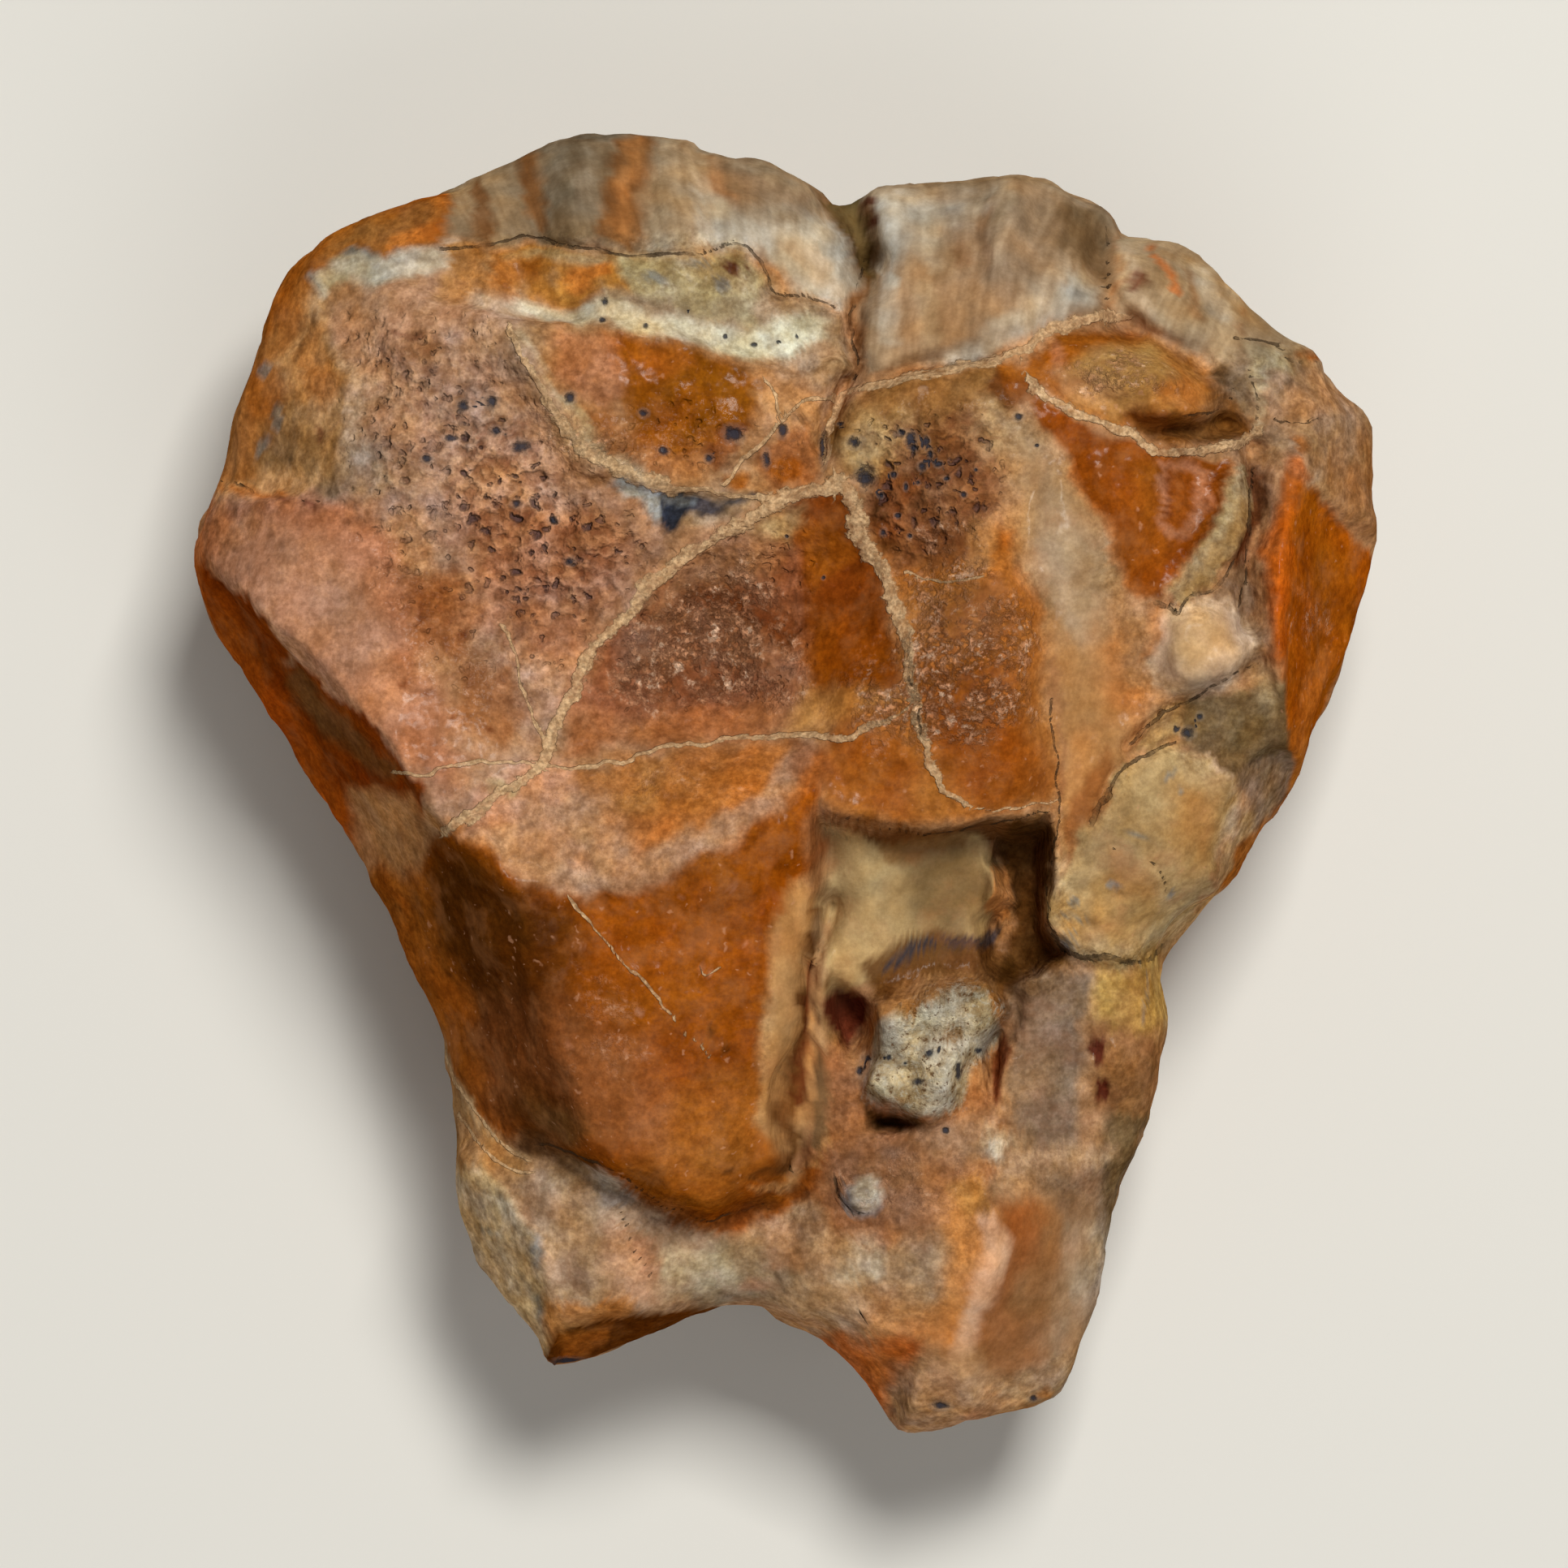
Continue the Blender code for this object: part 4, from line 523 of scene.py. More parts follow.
# Coats of colour on the front, one over another. An area has the width of its soft edge and an outline, a
# line its half width and its points, and spots the width of their soft edge and their centres and halves.
PAINT = [
    # left face, over which the pores lie
    area("pore tan", 1.0, 0.6, -15.5, 5.4, -15.5, 7.2, -12.2, 7.1, -10.8, 8.0, -11.0, 11.2, -9.0, 12.6,
        -6.6, 12.0, -5.9, 9.4, -4.4, 7.9, -3.0, 6.6, -3.4, 4.9, -4.5, 3.6, -5.3, 1.8, -6.3, 0.3,
        -8.2, -1.0, -9.2, 0.2, -11.5, 2.6, -13.3, 4.5),
    area("tan", 0.8, 1.0, -10.6, 6.5, -8.8, 6.2, -7.6, 4.2, -6.6, 2.2, -6.2, 0.8, -8.4, 0.3, -10.5, 2.6),
    area("salmon", 0.95, 0.9, -14.8, 5.4, -14.4, 6.9, -12.6, 6.9, -11.0, 7.2, -10.0, 6.4, -9.4, 5.0,
        -8.9, 3.2, -8.4, 1.8, -7.9, 0.6, -8.6, -0.2, -9.6, 0.9, -11.1, 2.2, -12.5, 3.6, -13.6, 4.8),
    area("pale salmon", 0.6, 0.8, -14.2, 5.6, -13.4, 6.4, -11.4, 6.0, -10.2, 4.4, -9.4, 2.4, -9.6, 1.2,
        -11.2, 2.5, -12.6, 4.0),
    area("lilac beige", 0.4, 1.0, -13.4, 8.0, -11.6, 7.6, -11.2, 10.6, -12.0, 11.4, -13.0, 10.4),
    area("lilac beige", 0.9, 0.6, -11.4, 7.0, -10.0, 6.8, -9.9, 8.0, -10.4, 9.6, -10.7, 9.4, -10.9, 8.2),
    line("lump pale", 0.55, 0.22, -11.2, 11.2, -10.6, 9.6, -10.4, 8.2, -10.0, 7.2),
    area("lobe orange", 0.6, 0.6, -9.4, 4.8, -8.2, 5.2, -7.5, 4.0, -7.9, 3.0, -9.0, 3.2),
    area("lobe orange", 0.55, 0.6, -8.1, 2.8, -6.8, 2.9, -6.2, 1.6, -7.0, 0.9, -8.2, 1.3),
    area("root rust", 0.4, 0.8, -8.2, 6.8, -4.0, 6.6, -4.2, 4.2, -5.4, 2.6, -7.4, 3.6),
    area("peach", 0.9, 0.5, -11.8, 11.3, -10.4, 12.4, -8.0, 12.2, -6.6, 11.6, -6.4, 10.8, -8.6, 11.0,
        -10.4, 10.6),
    line("pale salmon", 0.7, 0.12, -14.2, 5.45, -13.3, 4.6, -12.5, 3.75, -11.6, 2.8, -10.5, 1.9,
        -9.6, 1.0, -9.1, 0.3),
    # left bevel
    area("bevel brown", 1.0, 0.12, -16.0, 5.7, -14.35, 5.4, -14.0, 5.1, -13.3, 4.5, -12.9, 4.0,
        -12.5, 3.6, -12.2, 3.05, -11.6, 2.7, -11.1, 2.2, -10.5, 1.8, -10.0, 1.4, -9.6, 0.9, -9.2, 0.5,
        -8.9, -0.1, -8.7, -0.9, -8.8, -1.8, -9.4, -4.0, -13.0, -3.0, -17.0, 3.0),
    line("bevel orange", 0.8, 0.7, -14.7, 4.4, -14.0, 3.2, -12.8, 1.4, -11.6, -0.4, -10.6, -2.0),
    line("olive", 0.6, 0.4, -12.0, 2.4, -10.8, 1.0, -9.9, 0.4),
    area("shoulder grey", 0.7, 0.5, -10.8, -0.2, -9.2, -0.4, -8.5, -1.2, -8.7, -2.2, -9.4, -3.4,
        -10.8, -2.4),
    line("hot orange", 0.5, 0.2, -14.5, 4.8, -14.55, 5.6, -14.3, 6.9),
    # left shoulder
    area("shoulder grey", 1.0, 0.3, -15.5, 7.3, -12.3, 7.0, -11.2, 7.2, -11.0, 8.0, -10.7, 9.0,
        -11.1, 11.2, -12.2, 13.4, -15.0, 12.0),
    area("orange rim", 0.85, 0.5, -14.8, 7.4, -13.0, 7.5, -12.6, 8.6, -12.8, 10.0, -12.0, 11.6,
        -11.6, 13.0, -13.6, 13.0, -15.0, 9.0),
    area("orange", 0.7, 0.4, -13.2, 9.0, -12.3, 9.1, -12.2, 10.2, -12.9, 10.5, -13.5, 9.8),
    area("olive", 0.55, 0.5, -13.2, 7.8, -11.6, 7.6, -11.2, 8.8, -12.2, 9.4, -13.0, 8.8),
    area("orange rim", 0.7, 0.4, -11.4, 9.2, -10.9, 9.8, -11.2, 11.2, -12.0, 11.4, -12.0, 10.0),
    line("bright orange", 0.7, 0.12, -14.2, 7.35, -13.2, 7.2, -12.3, 7.0),
    line("olive", 0.5, 0.2, -11.1, 11.1, -10.95, 9.8, -10.8, 9.2, -10.85, 8.7, -11.1, 8.0, -11.2, 7.2),
    spots("blue grey", 0.7, 0.08, -12.7, 10.2, 0.3, 0.2, -12.5, 9.0, 0.2, 0.3, -12.9, 8.3, 0.15, 0.2),
    spots("maroon", 0.7, 0.08, -11.4, 8.6, 0.14, 0.14, -12.2, 6.85, 0.2, 0.12, -11.6, 6.8, 0.16, 0.1),
    # rim above the left face
    area("orange rim", 1.0, 0.35, -13.4, 11.6, -12.0, 11.9, -11.2, 12.4, -10.2, 12.9, -8.4, 13.1,
        -7.8, 13.4, -7.9, 15.2, -11.0, 14.8, -13.6, 13.4),
    area("olive", 0.45, 0.4, -12.2, 12.6, -10.6, 13.2, -9.0, 13.6, -9.0, 14.2, -11.2, 13.9),
    line("bright orange", 0.7, 0.2, -9.8, 13.2, -9.0, 13.4, -8.4, 13.45),
    line("orange", 0.8, 0.3, -13.0, 11.4, -12.4, 12.4, -11.4, 13.4, -10.0, 14.1, -8.4, 14.6),
    area("green cream", 0.85, 0.25, -11.7, 12.2, -11.1, 12.1, -10.3, 12.5, -10.2, 12.95, -11.0, 12.9),
    spots("blue grey", 0.8, 0.1, -11.6, 12.2, 0.2, 0.3, -10.6, 12.9, 0.3, 0.1),
    spots("lilac white", 0.9, 0.1, -11.5, 12.0, 0.14, 0.12, -11.0, 12.5, 0.2, 0.16),
    line("white band", 0.9, 0.36, -10.4, 12.55, -9.6, 12.7, -8.8, 12.75, -8.1, 12.7),
    line("cream", 0.7, 0.3, -11.4, 12.3, -10.6, 12.5),
    line("red brown", 0.55, 0.1, -9.5, 11.0, -8.7, 11.05),
    # crest, first lobe
    area("crest grey", 1.0, 0.3, -8.2, 13.1, -6.4, 13.3, -5.0, 13.1, -3.6, 12.9, -3.4, 14.2, -3.2, 16.6,
        -6.0, 16.6, -8.6, 15.2),
    area("crest tan", 0.8, 0.3, -8.2, 13.2, -7.0, 13.4, -7.0, 15.4, -8.4, 15.0),
    line("crest brown", 0.8, 0.2, -7.6, 13.4, -7.55, 14.6),
    line("crest brown", 0.9, 0.28, -6.1, 13.8, -6.3, 15.4),
    line("crest hollow", 0.6, 0.3, -5.3, 13.4, -5.4, 15.2),
    area("crest brown", 0.95, 0.25, -4.5, 13.2, -3.7, 13.0, -3.3, 14.0, -3.2, 15.8, -4.4, 15.9),
    line("root orange", 0.5, 0.22, -4.0, 13.6, -3.9, 15.6),
    area("crest tan", 1.0, 0.5, -3.5, 12.9, -2.2, 12.9, -1.9, 15.2, -2.6, 16.2, -3.4, 16.2),
    area("crest cream", 1.0, 0.35, -2.2, 13.0, -0.6, 13.1, 0.4, 12.0, 1.3, 11.6, 1.7, 12.2, 1.2, 13.6,
        0.0, 14.2, -1.2, 14.0, -2.2, 14.6),
    area("crest grey", 0.75, 0.35, -1.2, 13.8, 0.2, 13.7, 0.9, 14.0, 0.8, 15.2, -1.0, 15.8, -1.8, 15.2),
    line("lilac white", 0.8, 0.25, 0.3, 13.2, 0.8, 12.5, 1.2, 12.0),
    line("lilac white", 0.6, 0.2, -1.8, 13.5, -2.0, 14.6),
    line("crest tan", 0.7, 0.2, -2.6, 15.7, -1.0, 15.2, 0.4, 14.6, 0.9, 13.8),
    # plates under the crest
    area("plate amber", 1.0, 0.2, -8.4, 12.95, -7.3, 13.05, -6.4, 13.2, -5.6, 13.15, -4.4, 12.85,
        -3.4, 12.8, -3.6, 11.9, -5.4, 11.8, -7.0, 12.0, -8.2, 12.3),
    area("green cream", 1.0, 0.3, -4.2, 12.85, -2.0, 12.85, -1.1, 13.0, -0.6, 12.5, -0.3, 11.8,
        -1.4, 11.6, -3.8, 11.6),
    area("tan", 0.5, 0.5, -8.2, 12.9, -7.0, 12.9, -6.8, 12.1, -8.2, 12.2),
    line("column", 0.7, 0.14, -7.5, 13.0, -7.3, 12.4, -7.0, 11.8),
    line("column", 0.6, 0.1, -6.9, 13.0, -6.75, 12.4, -6.4, 11.9),
    line("column", 0.5, 0.12, -5.9, 12.9, -5.75, 12.3),
    area("green cream", 0.7, 0.3, -5.8, 13.1, -4.6, 12.9, -4.4, 12.6, -6.0, 12.7, -7.0, 12.9),
    area("bright orange", 0.7, 0.2, -5.6, 12.2, -4.9, 12.0, -4.3, 12.3, -4.4, 12.65, -5.3, 12.6),
    area("amber", 0.6, 0.3, -7.3, 12.2, -6.2, 12.1, -6.2, 12.8, -7.2, 12.8),
    area("edge beige", 0.9, 0.25, -8.4, 12.3, -7.0, 12.1, -7.0, 11.6, -8.6, 11.8),
    area("beige", 0.9, 0.3, -4.6, 12.0, -2.0, 11.8, -0.6, 11.8, -0.4, 12.4, 0.4, 11.9, 1.3, 11.4,
        1.6, 10.4, 1.1, 9.6, 0.0, 10.0, -2.0, 11.3, -4.6, 11.5),
    area("green cream", 0.8, 0.3, -3.0, 12.1, -0.8, 12.1, -0.6, 11.3, -2.6, 11.5),
    line("lump pale", 0.9, 0.26, -7.4, 11.75, -6.4, 11.6, -5.4, 11.5, -4.8, 11.45),
    line("band cream", 0.85, 0.24, -7.2, 11.7, -6.2, 11.6, -5.3, 11.5, -4.8, 11.42),
    line("band cream", 1.0, 0.34, -4.9, 11.4, -4.4, 11.4, -3.9, 11.35),
    line("band cream", 1.0, 0.34, -3.7, 11.3, -2.8, 11.15, -2.0, 11.05, -1.4, 10.85),
    area("band cream", 1.0, 0.25, -2.2, 11.3, -1.0, 11.2, 0.2, 11.5, 0.9, 11.3, 1.0, 10.8, 0.2, 10.5,
        -0.8, 10.4, -1.8, 10.7),
    area("root pink", 0.8, 0.3, 0.2, 10.5, 1.0, 10.8, 1.4, 10.6, 1.4, 9.9, 0.8, 9.5, -0.2, 9.8),
    spots("red brown", 0.9, 0.06, -1.4, 12.65, 0.16, 0.12, -1.0, 12.75, 0.1, 0.06),
    spots("blue grey", 0.7, 0.1, -3.2, 12.35, 0.25, 0.12, -1.6, 12.2, 0.2, 0.12, -2.2, 12.7, 0.3, 0.08),
    # amber patch between the bands and the middle
    area("tan", 1.0, 0.4, -6.0, 11.3, -3.6, 10.9, -1.0, 10.2, 0.4, 9.8, 1.2, 9.2, 0.8, 7.8, 0.2, 7.0,
        -1.5, 7.0, -3.5, 7.3, -5.0, 8.1, -6.0, 9.4),
    area("deep amber", 1.0, 0.5, -4.6, 11.0, -2.4, 10.8, -1.0, 10.2, -0.6, 9.6, -0.9, 8.8, -1.6, 8.2,
        -2.4, 7.9, -3.6, 8.2, -4.2, 9.4),
    area("bright orange", 0.45, 0.4, -3.7, 10.7, -2.6, 10.7, -2.2, 10.2, -3.2, 10.0, -3.8, 10.2),
    area("orange", 0.6, 0.6, -5.2, 8.2, -3.4, 7.5, -2.0, 7.3, -1.6, 8.2, -2.6, 8.6, -3.8, 8.8, -5.0, 9.0),
    area("salmon", 0.7, 0.5, -5.6, 11.0, -4.2, 10.8, -4.0, 9.6, -4.6, 9.0, -5.6, 10.0),
    area("rust", 0.8, 0.2, -2.0, 8.0, -1.4, 8.8, -0.9, 8.8, -1.1, 8.0, -1.6, 7.6),
    area("edge beige", 0.7, 0.3, -1.0, 9.6, 0.4, 9.6, 1.0, 9.2, 0.8, 8.9, -0.4, 8.9),
    area("root rust", 0.5, 0.3, -0.9, 7.7, -0.2, 8.6, 0.6, 8.7, 0.8, 7.8, 0.5, 7.2, -0.4, 7.2),
    spots("orange", 0.9, 0.15, 0.0, 7.6, 0.45, 0.3, -1.2, 7.4, 0.2, 0.2),
    # diagonal ridge with its pale slope
    line("cream", 0.75, 0.3, -6.5, 10.8, -6.1, 9.9, -5.5, 8.9, -5.0, 8.3),
    area("cream", 0.9, 0.25, -5.7, 9.0, -5.0, 8.0, -4.2, 7.5, -3.2, 7.1, -2.9, 7.3, -3.9, 7.9, -4.8, 8.6,
        -5.5, 9.4),
    line("peach", 0.7, 0.55, -7.0, 11.6, -6.7, 10.6, -6.3, 9.6, -5.8, 8.7, -5.0, 7.9, -4.4, 7.5),
    area("blue white", 0.95, 0.2, -4.2, 7.7, -3.6, 7.4, -2.9, 7.0, -2.8, 6.6, -3.2, 6.2, -3.5, 6.6,
        -4.0, 7.0),
    area("beige", 0.8, 0.3, -2.8, 7.1, -0.6, 7.1, -1.0, 6.6, -2.0, 6.2, -2.8, 6.1),
    area("blue black", 1.0, 0.2, -3.05, 7.05, -2.4, 7.0, -2.0, 6.95, -2.2, 6.5, -2.6, 6.15, -3.0, 6.15),
    spots("blue black", 0.85, 0.14, -1.9, 6.75, 0.5, 0.2, -1.3, 6.9, 0.32, 0.13, -0.8, 7.0, 0.2, 0.1),
    line("blue grey", 0.6, 0.12, -3.0, 6.9, -2.2, 6.8),
    line("olive", 0.4, 0.12, -6.6, 10.2, -5.9, 9.0, -5.1, 8.0, -4.3, 7.4),
    # dish
    area("mauve dish", 1.0, 0.7, -3.2, 5.0, -1.6, 6.0, 0.2, 6.8, 1.0, 6.0, 0.8, 3.8, 0.6, 2.4, -0.6, 1.2,
        -3.0, 0.9, -5.4, 0.6, -5.2, 2.2, -4.6, 3.4),
    area("tan", 0.55, 0.6, -2.8, 5.3, -1.4, 6.2, -0.4, 6.7, 0.4, 6.0, -0.8, 5.0, -2.2, 4.4, -3.4, 4.0),
    area("rust", 0.7, 0.5, -2.0, 4.9, -1.0, 4.7, 0.4, 3.9, 0.2, 3.4, -1.2, 4.1, -2.4, 4.4),
    area("lit band", 0.5, 0.8, -5.2, 1.8, -3.6, 1.6, -1.2, 1.8, 0.4, 2.2, 0.2, 1.4, -2.4, 1.1, -5.4, 0.7),
    area("peach", 0.35, 0.6, -3.8, 3.8, -2.0, 4.2, 0.4, 3.4, 0.2, 2.4, -2.0, 2.8, -4.2, 2.6),
    # rusty band and yellow foot
    area("rust", 1.0, 0.35, 0.1, 6.9, 1.4, 7.0, 1.8, 6.0, 2.4, 4.8, 2.8, 3.4, 2.8, 2.4, 1.6, 1.9,
        0.6, 2.3, 0.5, 3.6, 0.2, 5.0),
    area("amber", 0.5, 0.5, 0.2, 6.4, 1.2, 6.6, 1.5, 5.6, 0.8, 4.6, 0.2, 5.2),
    area("lobe orange", 0.8, 1.2, 0.4, 3.6, 2.8, 3.6, 2.8, 2.0, 0.6, 2.0),
    area("foot yellow", 0.9, 0.6, 0.2, 2.2, 1.8, 2.2, 3.0, 2.3, 2.9, 1.6, 1.5, 1.3, 0.0, 1.3),
    # right bulge
    area("bulge orange", 1.0, 0.4, 2.0, 6.4, 4.6, 6.6, 5.6, 6.2, 6.1, 4.4, 6.4, 2.0, 6.6, -0.4, 4.4, -0.9,
        2.0, -0.8, 0.8, -0.7, 0.8, 0.8, 1.6, 1.6, 2.9, 2.2, 2.8, 3.8),
    area("speckle brown", 0.9, 0.7, 2.0, 7.4, 4.4, 8.2, 5.2, 7.2, 5.2, 5.8, 3.4, 5.2, 2.7, 5.0, 2.0, 6.2),
    area("rust", 0.5, 1.0, 3.2, 3.0, 5.0, 2.8, 6.0, 2.2, 6.3, 0.2, 4.6, -0.5, 3.6, 0.6),
    area("sienna", 0.4, 1.0, 3.2, 4.9, 5.2, 5.0, 5.6, 4.2, 4.6, 3.4, 3.2, 3.6),
    area("lit band", 0.45, 0.4, 2.9, 2.6, 5.0, 3.3, 5.6, 4.6, 5.2, 5.2, 4.2, 4.0, 3.0, 3.2),
    area("bulge rust", 0.8, 0.9, 3.7, 1.4, 5.8, 1.4, 6.4, -0.4, 4.6, -0.6, 3.8, 0.2),
    area("bulge rust", 0.8, 0.9, 1.2, 1.2, 2.6, 1.3, 3.2, 0.2, 2.8, -0.6, 1.2, -0.4),
    area("edge beige", 0.8, 0.25, 4.5, 5.0, 5.1, 5.2, 5.3, 5.8, 5.2, 6.6, 4.7, 6.5, 4.5, 5.8),
    line("bright orange", 0.5, 0.12, 5.9, 5.2, 6.1, 4.0, 6.3, 2.4),
    # painted shadow along the bulge's lower edge, where it overhangs the hollow
    area("groove red and painted shade", 0.9, 0.15, 0.9, -0.8, 2.3, -1.0, 3.5, -1.1, 5.5, -0.9, 6.4, -0.7, 6.4, -1.2,
        4.6, -1.4, 3.4, -1.6, 2.2, -1.4),
    # speckled upper part of the right bulge
    area("shaded orange", 1.0, 0.4, 0.9, 8.0, 1.3, 9.1, 2.4, 9.6, 4.2, 10.0, 5.6, 10.3, 5.9, 9.7,
        5.4, 8.8, 4.6, 8.0, 3.0, 8.0, 1.8, 7.2),
    area("window", 0.7, 0.8, 1.2, 8.2, 1.8, 9.0, 3.0, 9.0, 3.2, 8.2, 2.4, 7.7, 1.7, 7.5),
    area("speckle brown", 0.7, 0.6, 2.4, 8.6, 4.4, 8.9, 5.2, 8.4, 4.4, 7.4, 3.0, 7.2),
    area("rust", 0.5, 0.4, 1.9, 6.6, 2.4, 7.4, 3.2, 7.2, 3.0, 6.2, 2.4, 5.4),
    spots("dark groove", 0.6, 0.15, 2.5, 5.8, 0.3, 0.22, 2.3, 6.6, 0.15, 0.3, 1.3, 8.6, 0.2, 0.12),
    area("green cream", 0.6, 0.4, -0.9, 6.2, 0.1, 6.8, 0.5, 6.5, 0.0, 5.9),
    # pale column
    area("column", 1.0, 0.7, 4.4, 9.1, 5.0, 7.6, 5.8, 6.0, 6.2, 4.0, 6.4, 2.0, 6.6, 0.0, 6.6, -0.8,
        6.5, -1.5, 6.3, -2.5, 6.3, -3.4, 6.8, -4.1, 7.2, -2.4, 7.5, -1.0, 8.1, -0.2, 8.4, 0.9, 8.9, 2.0,
        8.1, 3.0, 8.0, 5.0, 7.7, 6.2, 7.0, 7.6, 6.2, 8.4),
    area("column tan", 0.9, 1.8, 6.2, 3.4, 8.0, 3.6, 8.2, 2.8, 8.6, 1.6, 8.0, -0.2, 7.2, -1.4, 6.5, -1.2,
        6.5, 1.0),
    area("crest tan", 0.4, 0.5, 5.2, 8.6, 6.0, 8.2, 6.8, 7.0, 7.4, 5.6, 6.6, 5.4, 5.8, 6.8),
    area("blue grey", 0.12, 0.6, 5.2, 8.6, 6.4, 7.4, 6.8, 6.0, 6.4, 5.2, 5.9, 6.6, 5.0, 7.8),
    area("lilac white", 0.35, 0.8, 6.1, 7.0, 7.0, 6.2, 7.4, 4.8, 7.2, 3.6, 6.6, 4.2, 6.3, 5.4),
    area("bright orange", 0.35, 0.6, 8.0, 4.2, 8.3, 2.6, 8.9, 2.0, 8.5, 1.2, 7.8, 2.0, 7.7, 3.6),
    area("face rust", 0.6, 0.3, 8.1, 0.2, 7.6, -0.9, 7.0, -1.8, 6.9, -1.0, 7.4, 0.2, 7.9, 1.0),
    line("root red", 0.5, 0.12, 6.5, 3.0, 6.6, 1.4, 6.7, 0.0, 6.7, -1.6),
    # triangular rusty face
    area("face rust", 1.0, 0.25, 5.9, 9.4, 6.9, 8.9, 7.8, 8.5, 8.8, 8.1, 9.6, 7.95, 10.8, 7.8, 10.4, 6.4,
        9.7, 5.2, 9.0, 4.4, 8.5, 4.4, 8.1, 5.4, 7.7, 6.4, 7.0, 7.7, 6.0, 8.6),
    area("orange", 0.45, 0.8, 8.2, 7.8, 10.2, 7.6, 10.0, 6.4, 9.2, 5.2, 8.5, 5.4, 8.0, 6.6),
    line("salmon", 0.9, 0.13, 9.2, 7.6, 9.9, 7.65, 10.3, 7.4, 10.1, 6.7, 9.8, 6.2, 9.4, 6.2, 9.25, 6.8,
        9.2, 7.6),
    area("root rust", 0.5, 0.2, 9.4, 7.4, 10.1, 7.4, 10.0, 6.8, 9.8, 6.3, 9.45, 6.4),
    line("maroon", 0.5, 0.07, 9.4, 7.4, 9.35, 7.0, 9.4, 6.6),
    line("bright orange", 0.4, 0.15, 7.0, 7.6, 7.7, 6.3, 8.1, 5.2, 8.5, 4.5),
    # orange above the long vein, and the knob
    area("orange", 1.0, 0.3, 5.0, 10.1, 5.8, 10.3, 6.6, 10.9, 7.6, 11.2, 8.8, 10.9, 9.8, 10.4, 10.5, 9.9,
        10.4, 9.2, 9.4, 8.8, 8.4, 8.6, 7.0, 9.1, 6.2, 9.6, 5.4, 9.3),
    area("deep rust", 0.7, 0.3, 5.0, 9.8, 5.9, 9.8, 6.1, 9.4, 5.4, 8.9, 4.6, 9.3),
    line("salmon", 0.6, 0.2, 6.5, 10.5, 6.6, 9.9, 7.6, 9.3, 8.8, 8.95),
    area("knob", 0.95, 0.6, 6.6, 9.9, 7.6, 10.6, 9.0, 10.7, 10.2, 10.0, 10.4, 9.4, 9.4, 9.0, 8.2, 8.8,
        7.0, 9.2),
    # orange, and a painted highlight where light falls on the knob's right end
    area("bright orange", 0.7, 0.6, 9.2, 9.6, 9.6, 10.3, 9.2, 10.4, 10.3, 9.9, 10.4, 9.4, 9.2, 9.2),
    area("peach", 0.5, 0.5, 6.6, 9.9, 8.0, 9.9, 8.6, 9.4, 7.6, 9.1, 6.8, 9.3),
    # painted shade in the hollow right of and under the knob, over its brown
    area("hollow brown and painted shade", 0.9, 0.2, 8.2, 8.9, 9.2, 9.0, 10.4, 9.1, 11.2, 9.0, 11.4, 8.6, 10.6, 8.3,
        9.4, 8.2, 8.6, 8.5),
    area("hollow brown and painted shade", 0.8, 0.5, 10.4, 9.9, 11.0, 9.8, 11.3, 9.2, 10.9, 9.0, 11.2, 8.7, 10.6, 8.5),
    area("rust", 0.6, 0.2, 8.3, 8.9, 9.4, 9.0, 9.8, 8.7, 9.0, 8.5),
    # crest, second lobe
    area("beige", 1.0, 0.25, 1.9, 12.3, 1.8, 11.0, 2.0, 10.0, 3.4, 10.2, 5.0, 10.4, 6.4, 11.2, 7.8, 11.6,
        8.0, 12.6, 8.2, 14.2, 7.0, 15.6, 2.0, 15.6, 1.9, 13.4),
    line("crest cream", 0.7, 0.3, 2.4, 14.4, 2.6, 12.6, 2.4, 11.0),
    line("crest cream", 0.6, 0.3, 3.3, 14.6, 3.4, 12.8),
    line("crest brown", 0.6, 0.25, 4.0, 14.0, 4.1, 12.8),
    line("crest tan", 0.6, 0.3, 5.4, 14.4, 5.3, 13.0),
    line("crest brown", 0.45, 0.2, 4.9, 14.2, 4.8, 12.6),
    area("crest cream", 0.7, 0.7, 2.0, 14.6, 5.4, 14.6, 4.0, 13.4, 2.6, 12.8),
    area("lilac beige", 0.5, 0.6, 3.8, 13.6, 6.4, 13.4, 7.0, 12.0, 6.2, 11.4, 4.4, 11.6),
    line("lilac white", 0.8, 0.28, 7.0, 12.8, 6.4, 12.2, 5.8, 11.6),
    line("crest cream", 0.9, 0.4, 7.2, 12.0, 6.0, 11.3, 4.8, 10.8, 4.2, 10.4),
    area("crest hollow", 0.75, 0.35, 6.9, 12.7, 7.6, 12.4, 8.0, 13.2, 7.8, 14.2, 6.9, 14.3),
    line("crest tan", 0.6, 0.2, 2.0, 14.5, 4.0, 14.8, 6.0, 14.9, 7.2, 14.5),
    area("root pink", 0.35, 0.8, 2.4, 12.6, 4.6, 12.6, 6.0, 11.6, 4.2, 10.8, 2.4, 10.4),
    line("crest tan", 0.7, 0.3, 3.4, 12.0, 3.4, 10.8),
    spots("red brown", 0.8, 0.1, 2.05, 14.2, 0.2, 0.16, 2.05, 13.75, 0.14, 0.16),
    spots("white band", 0.8, 0.08, 2.7, 12.2, 0.16, 0.16, 2.3, 12.6, 0.1, 0.3),
    # notch between the lobes
    # the notch's olive wedge and the red groove below it, darkened with painted shade
    area("notch olive and painted shade", 1.0, 0.2, 0.9, 14.8, 1.9, 14.7, 1.8, 13.9, 2.1, 13.0, 2.0, 12.3, 1.7, 12.2,
        1.4, 13.2, 1.0, 14.0),
    line("groove red and painted shade", 0.7, 0.12, 1.8, 12.3, 1.65, 11.5, 1.7, 11.0, 1.75, 10.3, 1.5, 9.8),
    line("olive", 0.6, 0.15, 1.0, 14.2, 1.4, 13.2, 1.7, 12.4),
    # crest, third lobe, and the upper right
